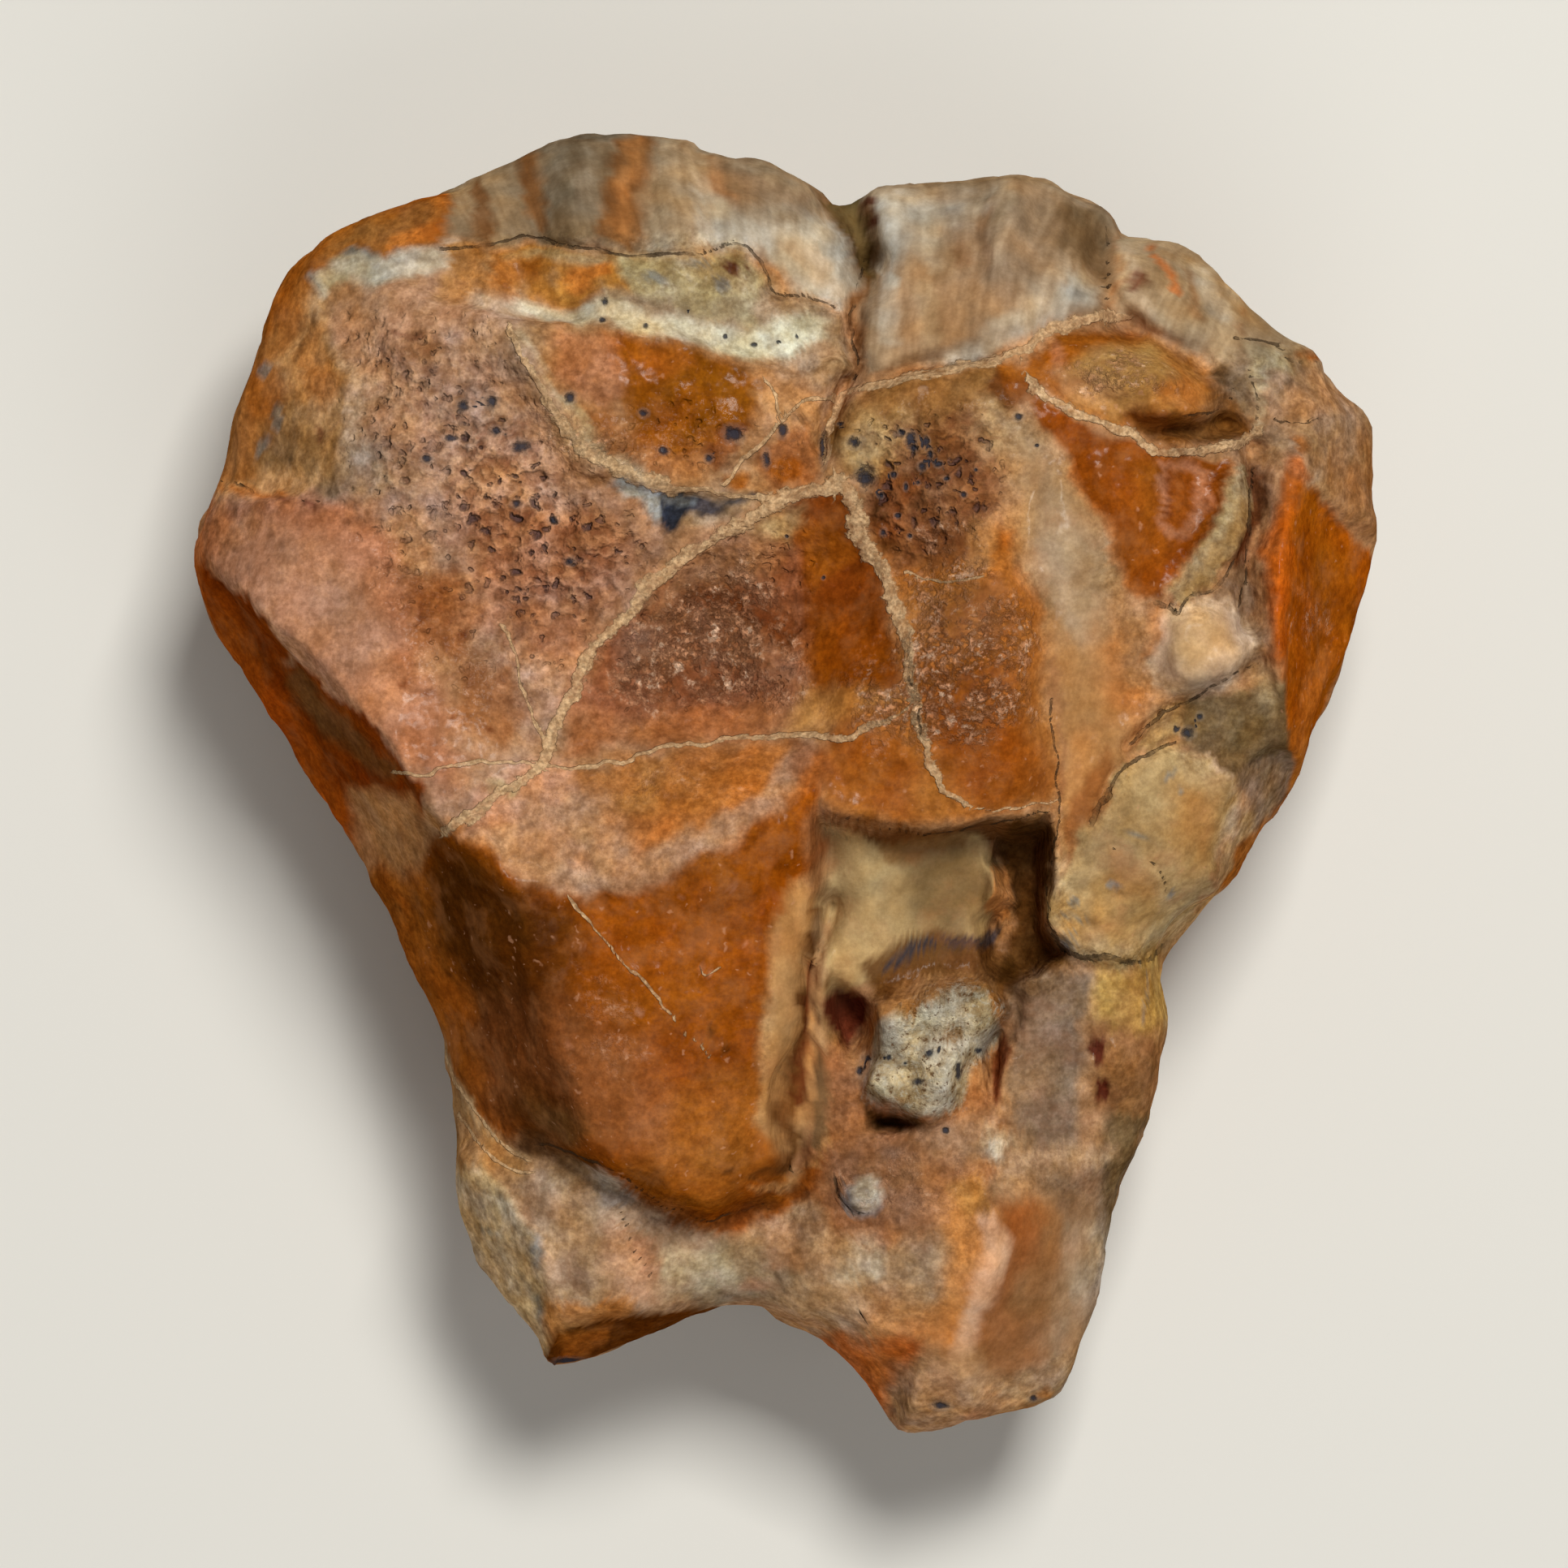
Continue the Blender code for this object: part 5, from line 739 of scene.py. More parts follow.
    area("crest tan", 1.0, 0.3, 8.2, 13.8, 8.1, 12.4, 8.2, 11.5, 9.2, 11.0, 10.4, 10.3, 12.0, 10.3,
        13.4, 10.2, 13.0, 11.4, 11.4, 12.6, 9.6, 13.6),
    line("lilac white", 0.7, 0.2, 8.4, 13.0, 8.5, 12.0, 8.9, 11.4),
    line("hot orange", 0.7, 0.12, 9.0, 13.1, 9.5, 12.4, 9.6, 12.0),
    line("crest cream", 0.6, 0.2, 10.2, 12.7, 10.6, 11.6),
    line("crest brown", 0.5, 0.15, 10.0, 12.6, 10.2, 11.4),
    line("crest brown", 0.5, 0.15, 11.2, 11.8, 11.0, 11.0),
    spots("red brown", 0.8, 0.12, 8.6, 12.3, 0.24, 0.3),
    area("right beige", 1.0, 0.4, 10.4, 9.9, 11.0, 10.8, 12.0, 10.7, 13.2, 10.6, 14.6, 9.2, 14.4, 8.4,
        12.4, 8.0, 11.6, 8.6, 11.2, 9.2),
    area("peach", 0.5, 0.6, 11.6, 10.4, 13.8, 10.0, 14.4, 8.8, 12.6, 8.2, 11.4, 9.0),
    area("crest grey", 0.4, 0.3, 10.6, 10.4, 11.2, 10.2, 11.8, 9.6, 11.4, 9.0, 10.8, 9.4),
    area("cream", 0.8, 0.25, 11.0, 10.8, 12.2, 10.6, 12.4, 10.2, 11.4, 10.1),
    area("root orange", 0.35, 0.5, 12.2, 9.8, 13.6, 9.6, 13.8, 9.0, 12.4, 9.0),
    line("cream", 0.6, 0.12, 11.5, 10.0, 11.6, 9.2, 11.5, 8.6),
    spots("orange", 0.8, 0.1, 12.85, 10.55, 0.24, 0.1, 12.7, 8.2, 0.2, 0.2),
    spots("dark groove", 0.7, 0.12, 10.7, 10.0, 0.2, 0.3, 12.4, 9.9, 0.25, 0.1),
    area("sienna", 0.8, 0.5, 12.6, 8.6, 14.8, 8.8, 14.9, 6.0, 14.0, 6.3, 13.3, 7.2),
    area("root tan", 0.5, 0.3, 12.4, 8.8, 14.2, 8.9, 14.4, 7.8, 13.0, 7.8),
    # right wall and its ridge
    area("wall orange", 1.0, 0.2, 12.2, 7.6, 13.3, 7.0, 14.4, 5.6, 15.2, 4.3, 14.0, 1.0, 12.4, -0.4,
        12.0, 1.2, 11.8, 3.0, 11.7, 4.0, 11.8, 5.0, 12.0, 6.4),
    area("face rust", 0.6, 0.4, 12.6, 5.6, 13.6, 5.6, 13.8, 4.2, 13.2, 2.4, 12.4, 2.0, 12.4, 4.0),
    line("wall bright", 0.7, 0.34, 12.5, 7.7, 12.15, 6.4, 11.95, 5.0, 11.85, 4.0, 11.9, 3.0),
    line("hot orange", 0.2, 0.14, 12.35, 7.4, 12.0, 6.2, 11.8, 5.0),
    line("hot orange", 0.35, 0.12, 12.2, 4.8, 13.0, 4.2, 13.5, 3.8),
    line("bright orange", 0.5, 0.3, 12.5, 0.4, 12.7, 1.6, 13.4, 3.0),
    area("peach", 0.8, 0.2, 11.6, 7.8, 11.9, 7.8, 11.7, 6.0, 11.5, 4.6, 11.5, 3.2, 11.1, 3.4, 11.2, 5.0,
        11.4, 6.4),
    # painted shade in the valley beside the right ridge
    line("valley brown and painted shade", 0.9, 0.3, 11.45, 7.6, 11.3, 6.6, 11.2, 5.6, 11.1, 4.6, 11.0, 4.0),
    # blade, pale lump and the plates below
    area("olive beige", 1.0, 0.1, 11.0, 7.8, 11.3, 7.2, 11.2, 6.0, 10.8, 5.3, 10.2, 4.7, 9.5, 4.35,
        9.2, 4.5, 9.7, 5.0, 10.2, 6.0, 10.7, 7.2),
    line("cream", 0.6, 0.12, 10.95, 7.6, 10.6, 6.6, 10.2, 5.6, 9.6, 4.8),
    area("root mauve", 0.9, 0.2, 9.6, 4.4, 10.6, 4.8, 11.2, 5.4, 11.3, 4.0, 11.4, 3.0, 10.9, 2.6,
        9.8, 4.2),
    area("lump pale", 1.0, 0.15, 9.0, 4.2, 10.0, 4.5, 10.9, 4.2, 11.2, 3.3, 10.9, 2.6, 10.0, 2.2,
        9.2, 2.2, 8.8, 2.9),
    area("lump cream", 0.9, 0.6, 9.2, 4.1, 10.4, 4.2, 10.7, 3.4, 9.9, 2.9, 9.1, 3.2),
    area("lilac beige", 0.7, 0.6, 8.8, 3.0, 9.6, 2.9, 10.6, 2.9, 11.0, 2.6, 10.2, 2.1, 9.2, 2.0),
    area("bright orange", 0.35, 0.3, 8.6, 4.2, 9.2, 4.3, 9.0, 3.2, 8.6, 3.0),
    area("olive beige", 0.9, 0.2, 8.4, 0.8, 9.0, 1.6, 9.8, 1.9, 9.6, 1.1, 8.9, 0.8),
    area("plate olive", 1.0, 0.25, 9.8, 2.0, 11.0, 2.4, 12.0, 2.6, 12.3, 1.2, 12.3, 0.0, 11.1, -0.1,
        10.3, 0.6, 9.6, 0.9),
    area("window tan", 0.3, 0.5, 10.2, 1.4, 11.4, 1.9, 11.6, 1.2, 10.8, 0.8),
    area("slab cream", 0.6, 0.3, 11.4, 3.0, 12.0, 3.0, 11.8, 1.8, 11.2, 2.2),
    # slab at the lower right
    area("slab cream", 1.0, 0.12, 8.3, 0.4, 9.2, 0.9, 10.2, 0.6, 11.0, 0.0, 11.1, -0.5, 10.8, -1.5,
        10.4, -2.5, 10.0, -3.4, 9.4, -4.2, 8.3, -4.5, 7.2, -4.25, 6.8, -3.9, 6.4, -3.3, 6.6, -2.6,
        7.2, -1.6, 7.7, -0.8, 8.1, 0.0),
    area("slab grey", 0.3, 0.8, 8.4, 0.2, 9.6, 0.6, 9.4, -0.6, 8.2, -2.0, 7.4, -1.4),
    area("slab yellow", 0.7, 0.9, 9.6, -0.2, 10.8, -0.4, 10.4, -2.0, 9.6, -2.4, 9.2, -1.2),
    area("slab yellow", 0.6, 0.4, 7.6, -2.4, 8.8, -2.2, 9.2, -3.4, 8.0, -4.0, 7.4, -3.4),
    area("orange", 0.35, 0.5, 7.9, -1.7, 8.9, -2.0, 9.2, -2.9, 8.2, -3.0),
    area("orange", 0.3, 0.6, 9.7, -0.3, 10.7, -0.5, 10.4, -1.8, 9.6, -1.8),
    spots("blue grey", 0.75, 0.06, 9.4, 0.15, 0.14, 0.1, 8.2, -2.7, 0.14, 0.1, 7.0, -2.9, 0.14, 0.16,
        9.4, -2.8, 0.06, 0.1, 7.1, -3.4, 0.3, 0.1, 8.5, -1.2, 0.2, 0.05, 7.0, -3.9, 0.2, 0.06,
        9.6, -0.3, 0.05, 0.12),
    line("lump pale", 0.5, 0.1, 10.3, 0.6, 11.0, 0.0, 11.1, -0.5, 10.7, -1.8),
    area("root mauve", 0.95, 0.2, 11.1, 0.3, 12.4, 0.4, 12.3, -0.6, 11.3, -1.2, 11.2, -0.5),
    area("orange", 0.9, 0.25, 12.5, 0.5, 12.9, 0.4, 11.8, -1.6, 10.9, -3.0, 10.5, -2.6, 11.2, -1.4,
        12.0, -0.6),
    line("slab cream", 0.6, 0.15, 11.2, -1.0, 10.9, -1.9, 10.5, -2.9, 9.8, -3.9),
    # hollow under the bulge
    area("window", 1.0, 0.25, 0.7, -1.0, 2.2, -1.3, 3.5, -1.4, 4.9, -1.2, 5.3, -2.0, 5.0, -3.0, 4.6, -4.0,
        3.2, -4.4, 2.2, -5.0, 1.0, -5.4, 0.8, -4.0, 0.75, -2.5),
    area("window", 0.6, 0.6, 1.2, -2.2, 2.8, -2.2, 3.2, -3.6, 1.8, -4.4, 1.0, -3.8),
    area("window shade", 0.75, 0.9, 2.9, -2.0, 4.9, -1.6, 4.9, -2.8, 4.0, -3.8, 3.0, -3.2),
    # painted shadow under the overhanging edge of the bulge
    area("hollow brown and painted shade", 0.7, 0.3, 2.1, -1.2, 3.6, -1.3, 4.6, -1.3, 4.4, -1.8, 3.2, -1.9, 2.2, -1.7),
    area("dark brown", 0.9, 0.25, 1.8, -4.6, 3.0, -3.9, 4.4, -3.6, 5.2, -4.0, 6.0, -4.9, 5.4, -5.4,
        4.8, -4.8, 3.2, -4.9, 2.2, -5.4),
    # painted shade in the crevice, over its brown
    area("crevice brown and painted shade", 0.95, 0.3, 5.4, -0.9, 6.5, -0.9, 6.4, -2.4, 6.35, -3.6, 6.9, -4.3, 6.2, -4.9,
        5.3, -4.6, 5.5, -3.6, 5.6, -2.6, 5.3, -1.8),
    area("root orange", 0.8, 0.15, 5.0, -2.0, 5.5, -2.0, 5.6, -2.8, 5.3, -3.6, 4.9, -3.4),
    line("blue black", 0.85, 0.13, 2.6, -4.6, 3.1, -4.2, 3.6, -4.05),
    line("blue black", 0.8, 0.16, 4.0, -3.9, 4.5, -3.8, 5.0, -3.9),
    line("dark groove", 0.7, 0.2, 5.3, -4.5, 5.8, -4.9),
    line("window tan", 0.7, 0.3, 1.0, -4.6, 0.9, -5.6, 1.0, -6.6),
    # root, right part
    area("root red", 1.0, 0.5, 0.3, -6.4, 0.3, -9.2, 1.0, -11.4, 3.8, -11.2, 5.2, -9.8, 5.6, -8.2,
        4.6, -7.2, 3.2, -7.9, 1.8, -7.6, 1.2, -6.6),
    area("root tan", 0.7, 0.8, 3.0, -8.4, 5.4, -8.0, 5.8, -9.0, 4.8, -9.6, 3.6, -9.2),
    area("mauve", 0.5, 0.5, 1.2, -8.8, 3.2, -8.9, 3.4, -10.4, 2.2, -11.2, 1.0, -10.4),
    area("root mauve", 1.0, 0.35, 5.5, -5.0, 6.2, -4.6, 7.4, -4.5, 7.4, -6.5, 7.2, -9.0, 5.8, -9.2,
        5.5, -7.4, 5.6, -6.0),
    area("root yellow", 1.0, 0.6, 7.5, -4.4, 8.4, -4.6, 9.2, -4.2, 9.6, -5.2, 9.4, -6.2, 8.2, -6.4,
        7.6, -5.8),
    area("sienna", 1.0, 0.6, 7.6, -6.0, 8.6, -6.2, 9.6, -6.2, 9.6, -7.4, 8.8, -8.6, 7.8, -8.2, 7.5, -7.2),
    spots("maroon", 0.95, 0.08, 7.8, -6.7, 0.24, 0.3, 8.0, -7.7, 0.24, 0.3),
    line("root yellow", 0.6, 0.1, 8.2, -4.6, 8.3, -5.4, 8.2, -6.2),
    line("blue grey", 0.5, 0.05, 8.8, -4.5, 8.9, -5.2, 8.9, -5.9),
    area("plate olive", 0.9, 0.35, 8.0, -8.2, 8.9, -8.2, 8.4, -10.0, 8.0, -12.0, 7.4, -11.6, 7.6, -9.6),
    area("root tan", 0.8, 0.5, 5.4, -9.0, 7.4, -9.0, 7.4, -10.0, 6.2, -10.3, 5.2, -10.2),
    area("root mauve", 0.7, 0.5, 6.4, -9.6, 7.8, -9.4, 7.8, -11.0, 6.6, -11.4),
    area("root tan", 1.0, 0.35, 5.2, -12.0, 6.6, -12.0, 7.6, -11.8, 8.0, -12.6, 7.0, -15.4, 4.6, -15.2,
        4.6, -13.6),
    area("sienna", 0.9, 1.0, 5.0, -10.2, 6.4, -10.3, 6.9, -11.8, 6.4, -13.2, 5.6, -14.8, 4.3, -14.8,
        4.6, -13.2, 5.2, -11.8),
    area("root rust", 0.6, 0.7, 5.3, -10.3, 6.2, -10.4, 5.9, -11.8, 5.3, -12.6, 4.9, -14.0, 4.5, -14.0,
        5.1, -12.0),
    area("lilac white", 0.45, 0.5, 6.8, -10.9, 7.9, -10.9, 8.0, -12.4, 7.0, -12.8),
    area("root red", 0.6, 0.4, 5.0, -13.2, 6.4, -12.9, 6.4, -14.2, 5.0, -14.6),
    # root, middle and left
    area("root pink", 1.0, 0.5, -6.0, -9.6, -4.4, -9.7, -3.0, -10.6, -0.8, -10.7, 0.4, -10.2, 1.2, -11.2,
        2.6, -11.4, 3.6, -11.6, 3.4, -13.2, 1.2, -13.6, -0.8, -12.9, -2.4, -13.0, -5.8, -13.1,
        -6.1, -11.6),
    area("root grey", 0.7, 0.5, -3.6, -11.0, -0.6, -11.2, 0.4, -12.0, -0.6, -12.9, -2.8, -12.8),
    area("cream", 0.6, 0.4, -3.0, -11.6, -1.4, -11.4, -1.0, -12.4, -2.6, -12.4),
    area("pale salmon", 0.45, 0.4, -4.3, -11.0, -3.4, -11.4, -3.2, -12.8, -4.2, -12.9),
    area("blue grey", 0.45, 0.3, -4.9, -9.5, -3.8, -9.8, -3.6, -10.6, -4.6, -10.6),
    area("root mauve", 0.6, 0.4, 1.8, -11.4, 3.4, -11.2, 3.4, -12.4, 1.8, -12.4),
    area("crest cream", 0.6, 0.4, 1.4, -11.4, 2.4, -11.2, 2.2, -12.4, 1.0, -12.2),
    area("root red", 0.5, 0.4, -0.6, -10.8, 0.8, -10.6, 0.6, -11.8, -0.4, -12.0),
    spots("mauve", 0.7, 0.2, -5.0, -12.2, 0.35, 0.3, -2.1, -12.85, 0.6, 0.12),
    spots("salmon", 0.5, 0.3, -3.3, -11.7, 0.4, 0.4, -0.7, -12.4, 0.3, 0.2),
    area("bevel beige", 1.0, 0.2, -8.6, -9.4, -7.4, -9.7, -6.6, -10.3, -6.2, -11.0, -5.95, -12.3,
        -5.95, -14.8, -9.0, -13.0),
    area("root grey", 0.3, 0.5, -8.2, -9.8, -7.0, -10.2, -6.4, -11.6, -6.6, -12.8, -7.8, -11.6),
    line("olive", 0.5, 0.15, -6.5, -10.8, -6.1, -11.8, -6.0, -13.6),
    spots("blue grey", 0.6, 0.12, -6.15, -11.4, 0.14, 0.4, -7.3, -11.2, 0.25, 0.1, -6.1, -13.0, 0.1, 0.3),
    area("root orange", 1.0, 0.2, -5.9, -12.8, -4.8, -12.7, -3.8, -12.75, -3.6, -13.2, -5.0, -13.5,
        -5.9, -13.8),
    area("root dark", 1.0, 0.15, -5.9, -13.5, -5.0, -13.35, -3.6, -13.2, -2.0, -12.95, -1.2, -13.0,
        -2.6, -14.0, -5.4, -15.4, -6.0, -15.0),
    area("bright orange", 0.5, 0.25, -5.6, -13.6, -4.4, -13.5, -4.4, -14.0, -5.4, -14.3),
    # root, orange ridge and tip
    area("root orange", 1.0, 0.7, 3.8, -10.4, 4.8, -9.8, 5.2, -10.6, 5.1, -12.0, 4.7, -13.4, 4.0, -14.2,
        3.4, -13.0, 4.0, -11.8),
    area("root yellow", 0.4, 0.4, 4.1, -10.0, 4.9, -9.8, 5.2, -10.5, 4.4, -10.8),
    area("root orange", 0.8, 0.7, 2.2, -12.8, 3.4, -12.9, 3.8, -13.6, 2.6, -13.9, 1.8, -13.4),
    area("root pink", 0.7, 0.5, 2.4, -14.5, 4.4, -14.7, 4.8, -15.7, 3.2, -16.4, 2.3, -15.4),
    area("wall bright", 0.8, 0.5, 0.8, -13.7, 2.2, -13.8, 3.1, -13.9, 3.1, -15.0, 2.4, -16.0, 1.6, -15.4),
    area("bright orange", 0.4, 0.25, 1.9, -14.1, 2.8, -14.0, 2.9, -14.9, 2.3, -15.0),
    area("salmon", 0.8, 0.5, 2.7, -15.0, 3.6, -14.5, 4.6, -15.0, 5.0, -16.2, 3.0, -16.6),
    area("root orange", 0.6, 0.4, 2.9, -15.4, 3.6, -15.0, 4.0, -15.8, 3.2, -16.2),
    # painted highlight: pale glints along the ridge of the root
    line("painted glint white", 0.45, 0.3, 5.0, -10.8, 5.2, -11.3, 5.0, -12.0, 4.8, -12.7, 4.6, -13.5,
        4.3, -14.2),
    spots("root orange", 0.9, 0.08, 6.25, -15.05, 0.26, 0.12, 5.0, -15.2, 0.2, 0.1),
    # left rim of the lobe and its faces
    area("lobe orange", 1.0, 0.3, -7.9, -1.0, -6.6, -2.2, -5.0, -2.7, -3.0, -2.1, -1.0, -1.0, 0.6, 0.0,
        0.9, -1.6, 0.6, -4.6, 0.2, -8.2, 0.0, -10.2, -2.0, -10.8, -4.2, -9.7, -5.8, -9.0, -7.4, -8.6,
        -8.8, -5.8, -9.6, -4.2, -9.0, -2.0),
    area("lobe amber", 0.9, 1.4, -3.0, -7.6, -0.4, -7.2, -0.2, -9.8, -2.2, -10.5, -3.4, -9.4),
    area("orange", 0.3, 1.2, -4.4, -3.0, -0.6, -2.0, -0.4, -5.4, -3.0, -6.0, -4.8, -5.0),
    area("root red", 0.6, 1.4, -5.8, -5.6, -3.4, -6.2, -3.0, -9.0, -5.2, -8.6),
    # the lobe's left side, turned away from the light: painted shade over its own dark stain
    area("lobe dark and painted shade", 0.9, 1.6, -8.7, -1.3, -7.5, -1.9, -6.4, -2.7, -5.2, -3.4, -5.0, -4.6, -5.6, -5.8,
        -6.8, -6.6, -8.6, -6.0, -9.4, -4.0),
    area("lobe mauve", 0.8, 1.6, -8.6, -5.4, -6.6, -5.4, -5.4, -5.8, -5.0, -7.6, -5.6, -8.8, -7.0, -8.6,
        -8.2, -7.4),
    area("lobe dark and painted shade", 0.6, 0.5, -7.0, -7.4, -5.4, -7.6, -5.2, -8.8, -6.4, -8.9),
    area("olive", 0.5, 0.5, -6.4, -7.9, -5.0, -8.0, -4.6, -8.7, -6.0, -8.8),
    # painted shadow under the lip of the lobe
    line("lobe dark and painted shade", 0.7, 0.3, -6.2, -9.0, -5.4, -9.1, -4.6, -9.4),
    area("left rim", 1.0, 0.8, -10.8, -2.0, -9.0, -2.0, -8.4, -4.0, -7.8, -5.6, -7.6, -7.4, -9.0, -7.4,
        -10.6, -4.4),
    area("edge beige", 0.85, 0.25, -8.8, -6.0, -8.1, -7.2, -7.4, -8.4, -6.6, -9.2, -6.3, -9.8, -8.6, -9.6,
        -9.2, -8.0),
    line("column", 0.8, 0.1, -8.5, -6.6, -8.0, -7.6, -7.5, -8.3, -7.0, -8.9, -6.4, -9.3),
    area("edge shade", 0.95, 0.4, 0.0, -2.6, 0.9, -2.0, 0.9, -4.4, 0.6, -6.6, 0.4, -8.8, -0.1, -9.6,
        -0.7, -8.2, -0.6, -6.0, -0.3, -4.0),
    line("root red", 0.6, 0.35, 0.7, -1.2, 0.8, -2.6),
    area("lobe orange", 0.9, 0.3, -4.2, -9.9, -3.2, -10.0, -2.0, -10.5, -0.8, -10.3, 0.3, -9.7, 0.9, -8.9,
        0.8, -10.0, -1.2, -11.2, -2.8, -11.0),
    line("edge beige", 0.7, 0.12, -0.7, -10.2, 0.1, -9.9, 0.6, -9.4, 1.0, -8.7),
    line("groove red and painted shade", 0.85, 0.16, 0.75, -3.4, 0.65, -4.0, 0.5, -4.8, 0.4, -5.5, 0.2, -6.5, 0.2, -7.5,
        0.1, -8.2, 0.2, -9.0, 0.1, -9.4, -0.4, -9.6, -0.7, -9.8),
    line("red brown", 0.7, 0.1, 0.7, -4.4, 0.5, -5.4, 0.3, -6.6, 0.25, -7.6),
    line("column", 0.9, 0.2, 0.95, -3.6, 0.95, -4.6, 0.85, -5.4, 0.65, -6.4),
    line("plate olive", 0.8, 0.2, 0.75, -6.8, 0.6, -7.8, 0.75, -8.8),
    # lit band above the lobe
    area("lit band", 1.0, 0.35, -8.2, -0.9, -7.2, -0.3, -5.8, 0.3, -3.4, 0.7, -1.0, 1.0, 0.8, 1.1,
        1.2, 0.2, 0.2, -0.5, -1.4, -1.4, -3.0, -2.1, -4.8, -2.8, -6.2, -2.4, -7.4, -1.7),
    area("lobe amber", 0.6, 0.8, -4.4, 0.4, -1.8, 0.8, 0.6, 0.8, 0.6, 0.0, -2.0, -0.8, -4.4, -0.8),
    area("peach", 0.75, 0.8, -7.0, -0.2, -4.8, -0.2, -3.6, -1.6, -3.4, -2.1, -5.2, -2.6, -6.8, -1.8),
    area("pale salmon", 0.5, 0.3, -6.0, -1.0, -5.2, -1.2, -4.8, -2.0, -5.8, -2.0),
    # painted highlight along the crest of the ridge above the lobe
    line("peach", 0.85, 0.4, -7.6, -0.9, -6.2, -2.1, -4.8, -2.6, -3.2, -2.0, -1.4, -1.1, -0.4, -0.4,
        0.2, 0.4, 0.4, 1.0),
    area("root rust", 0.5, 0.4, 0.0, 1.0, 0.9, 0.9, 1.4, 0.0, 0.6, -0.4, 0.0, 0.2),
    area("pale salmon", 0.8, 0.4, -7.8, -0.2, -6.8, 0.4, -5.4, 0.6, -5.3, -0.2, -6.6, -0.9, -7.8, -1.2),
    spots("green cream", 0.7, 0.15, -7.1, 0.0, 0.35, 0.16, -6.6, -0.2, 0.2, 0.12),
    # matrix in the hollow of the root
    area("edge beige", 1.0, 0.25, 1.9, -6.4, 2.3, -5.4, 3.2, -4.9, 4.3, -4.6, 5.1, -4.8, 5.5, -5.6,
        5.0, -5.6, 4.0, -5.4, 2.9, -5.9, 2.4, -6.7),
    area("crumb", 1.0, 0.2, 2.2, -6.2, 2.9, -5.5, 4.1, -5.0, 5.1, -5.1, 5.3, -5.9, 5.0, -6.5, 4.4, -7.0,
        4.3, -7.6, 3.6, -8.1, 3.0, -7.9, 2.2, -7.8, 1.8, -7.5, 1.8, -7.0, 2.1, -6.8),
    spots("crumb white", 0.85, 0.25, 2.2, -7.1, 0.5, 0.4, 3.0, -6.0, 0.45, 0.3, 3.6, -5.6, 0.5, 0.3,
        4.0, -6.6, 0.6, 0.5, 4.1, -5.6, 0.5, 0.25, 3.3, -6.3, 0.4, 0.4, 4.7, -6.2, 0.3, 0.4,
        2.8, -7.2, 0.5, 0.25, 3.7, -7.1, 0.4, 0.3, 2.2, -7.4, 0.25, 0.2, 3.6, -7.7, 0.3, 0.2),
    spots("window tan", 0.8, 0.1, 4.2, -6.2, 0.3, 0.24, 3.0, -5.6, 0.25, 0.12, 5.0, -5.1, 0.2, 0.12),
    area("maroon", 0.95, 0.2, 0.9, -5.4, 1.4, -5.1, 1.9, -5.5, 1.9, -6.2, 1.4, -6.7, 1.0, -6.2),
    # painted shade in the slot under the matrix lump
    area("black brown and painted shade", 0.9, 0.12, 1.6, -7.7, 2.2, -8.0, 3.1, -8.0, 3.3, -8.3, 2.4, -8.45, 1.7, -8.1),
    area("red brown", 0.85, 0.15, 5.15, -6.0, 5.45, -6.2, 5.5, -7.4, 5.3, -8.0, 5.1, -7.2),
    spots("lilac white", 0.8, 0.3, 5.3, -9.0, 0.5, 0.4, 5.1, -8.6, 0.2, 0.3),
    spots("white band", 0.95, 0.1, 5.3, -9.1, 0.3, 0.26),
    spots("blue grey", 0.7, 0.15, 1.75, -10.3, 0.42, 0.55),
    spots("lilac white", 0.9, 0.15, 1.9, -10.1, 0.34, 0.45),
    # flecks of the lobe
    spots("salmon", 0.8, 0.06, -5.1, -6.35, 0.09, 0.08, -4.9, -4.1, 0.05, 0.08, -3.6, -3.6, 0.08, 0.04,
        -2.8, -3.7, 0.08, 0.04, -2.0, -4.7, 0.12, 0.05, -3.4, -5.3, 0.08, 0.08, -1.2, -2.6, 0.05, 0.1,
        -2.6, -2.9, 0.05, 0.05, -0.9, -3.9, 0.06, 0.05),
    spots("lobe dark and painted shade", 0.8, 0.06, -1.4, -9.65, 0.2, 0.14, -2.9, -8.9, 0.06, 0.06, -1.9, -6.3, 0.1, 0.06,
        -1.6, -6.7, 0.12, 0.06, -1.2, -6.5, 0.1, 0.04),
    # dots of the left face
    spots("deep rust", 0.7, 0.08, -9.3, 2.4, 0.14, 0.12, -8.8, 2.2, 0.12, 0.1, -7.9, 3.6, 0.14, 0.1,
        -8.2, 1.5, 0.12, 0.1, -7.2, 1.4, 0.12, 0.1, -9.0, 3.9, 0.1, 0.14),
    line("root pink", 0.7, 0.25, 5.6, -9.2, 6.4, -9.15, 7.6, -9.2, 8.0, -9.0),
    area("root pink", 0.75, 0.5, 2.6, -14.4, 4.6, -14.2, 5.6, -15.0, 4.6, -15.8, 3.2, -16.4, 2.5, -15.4),
]

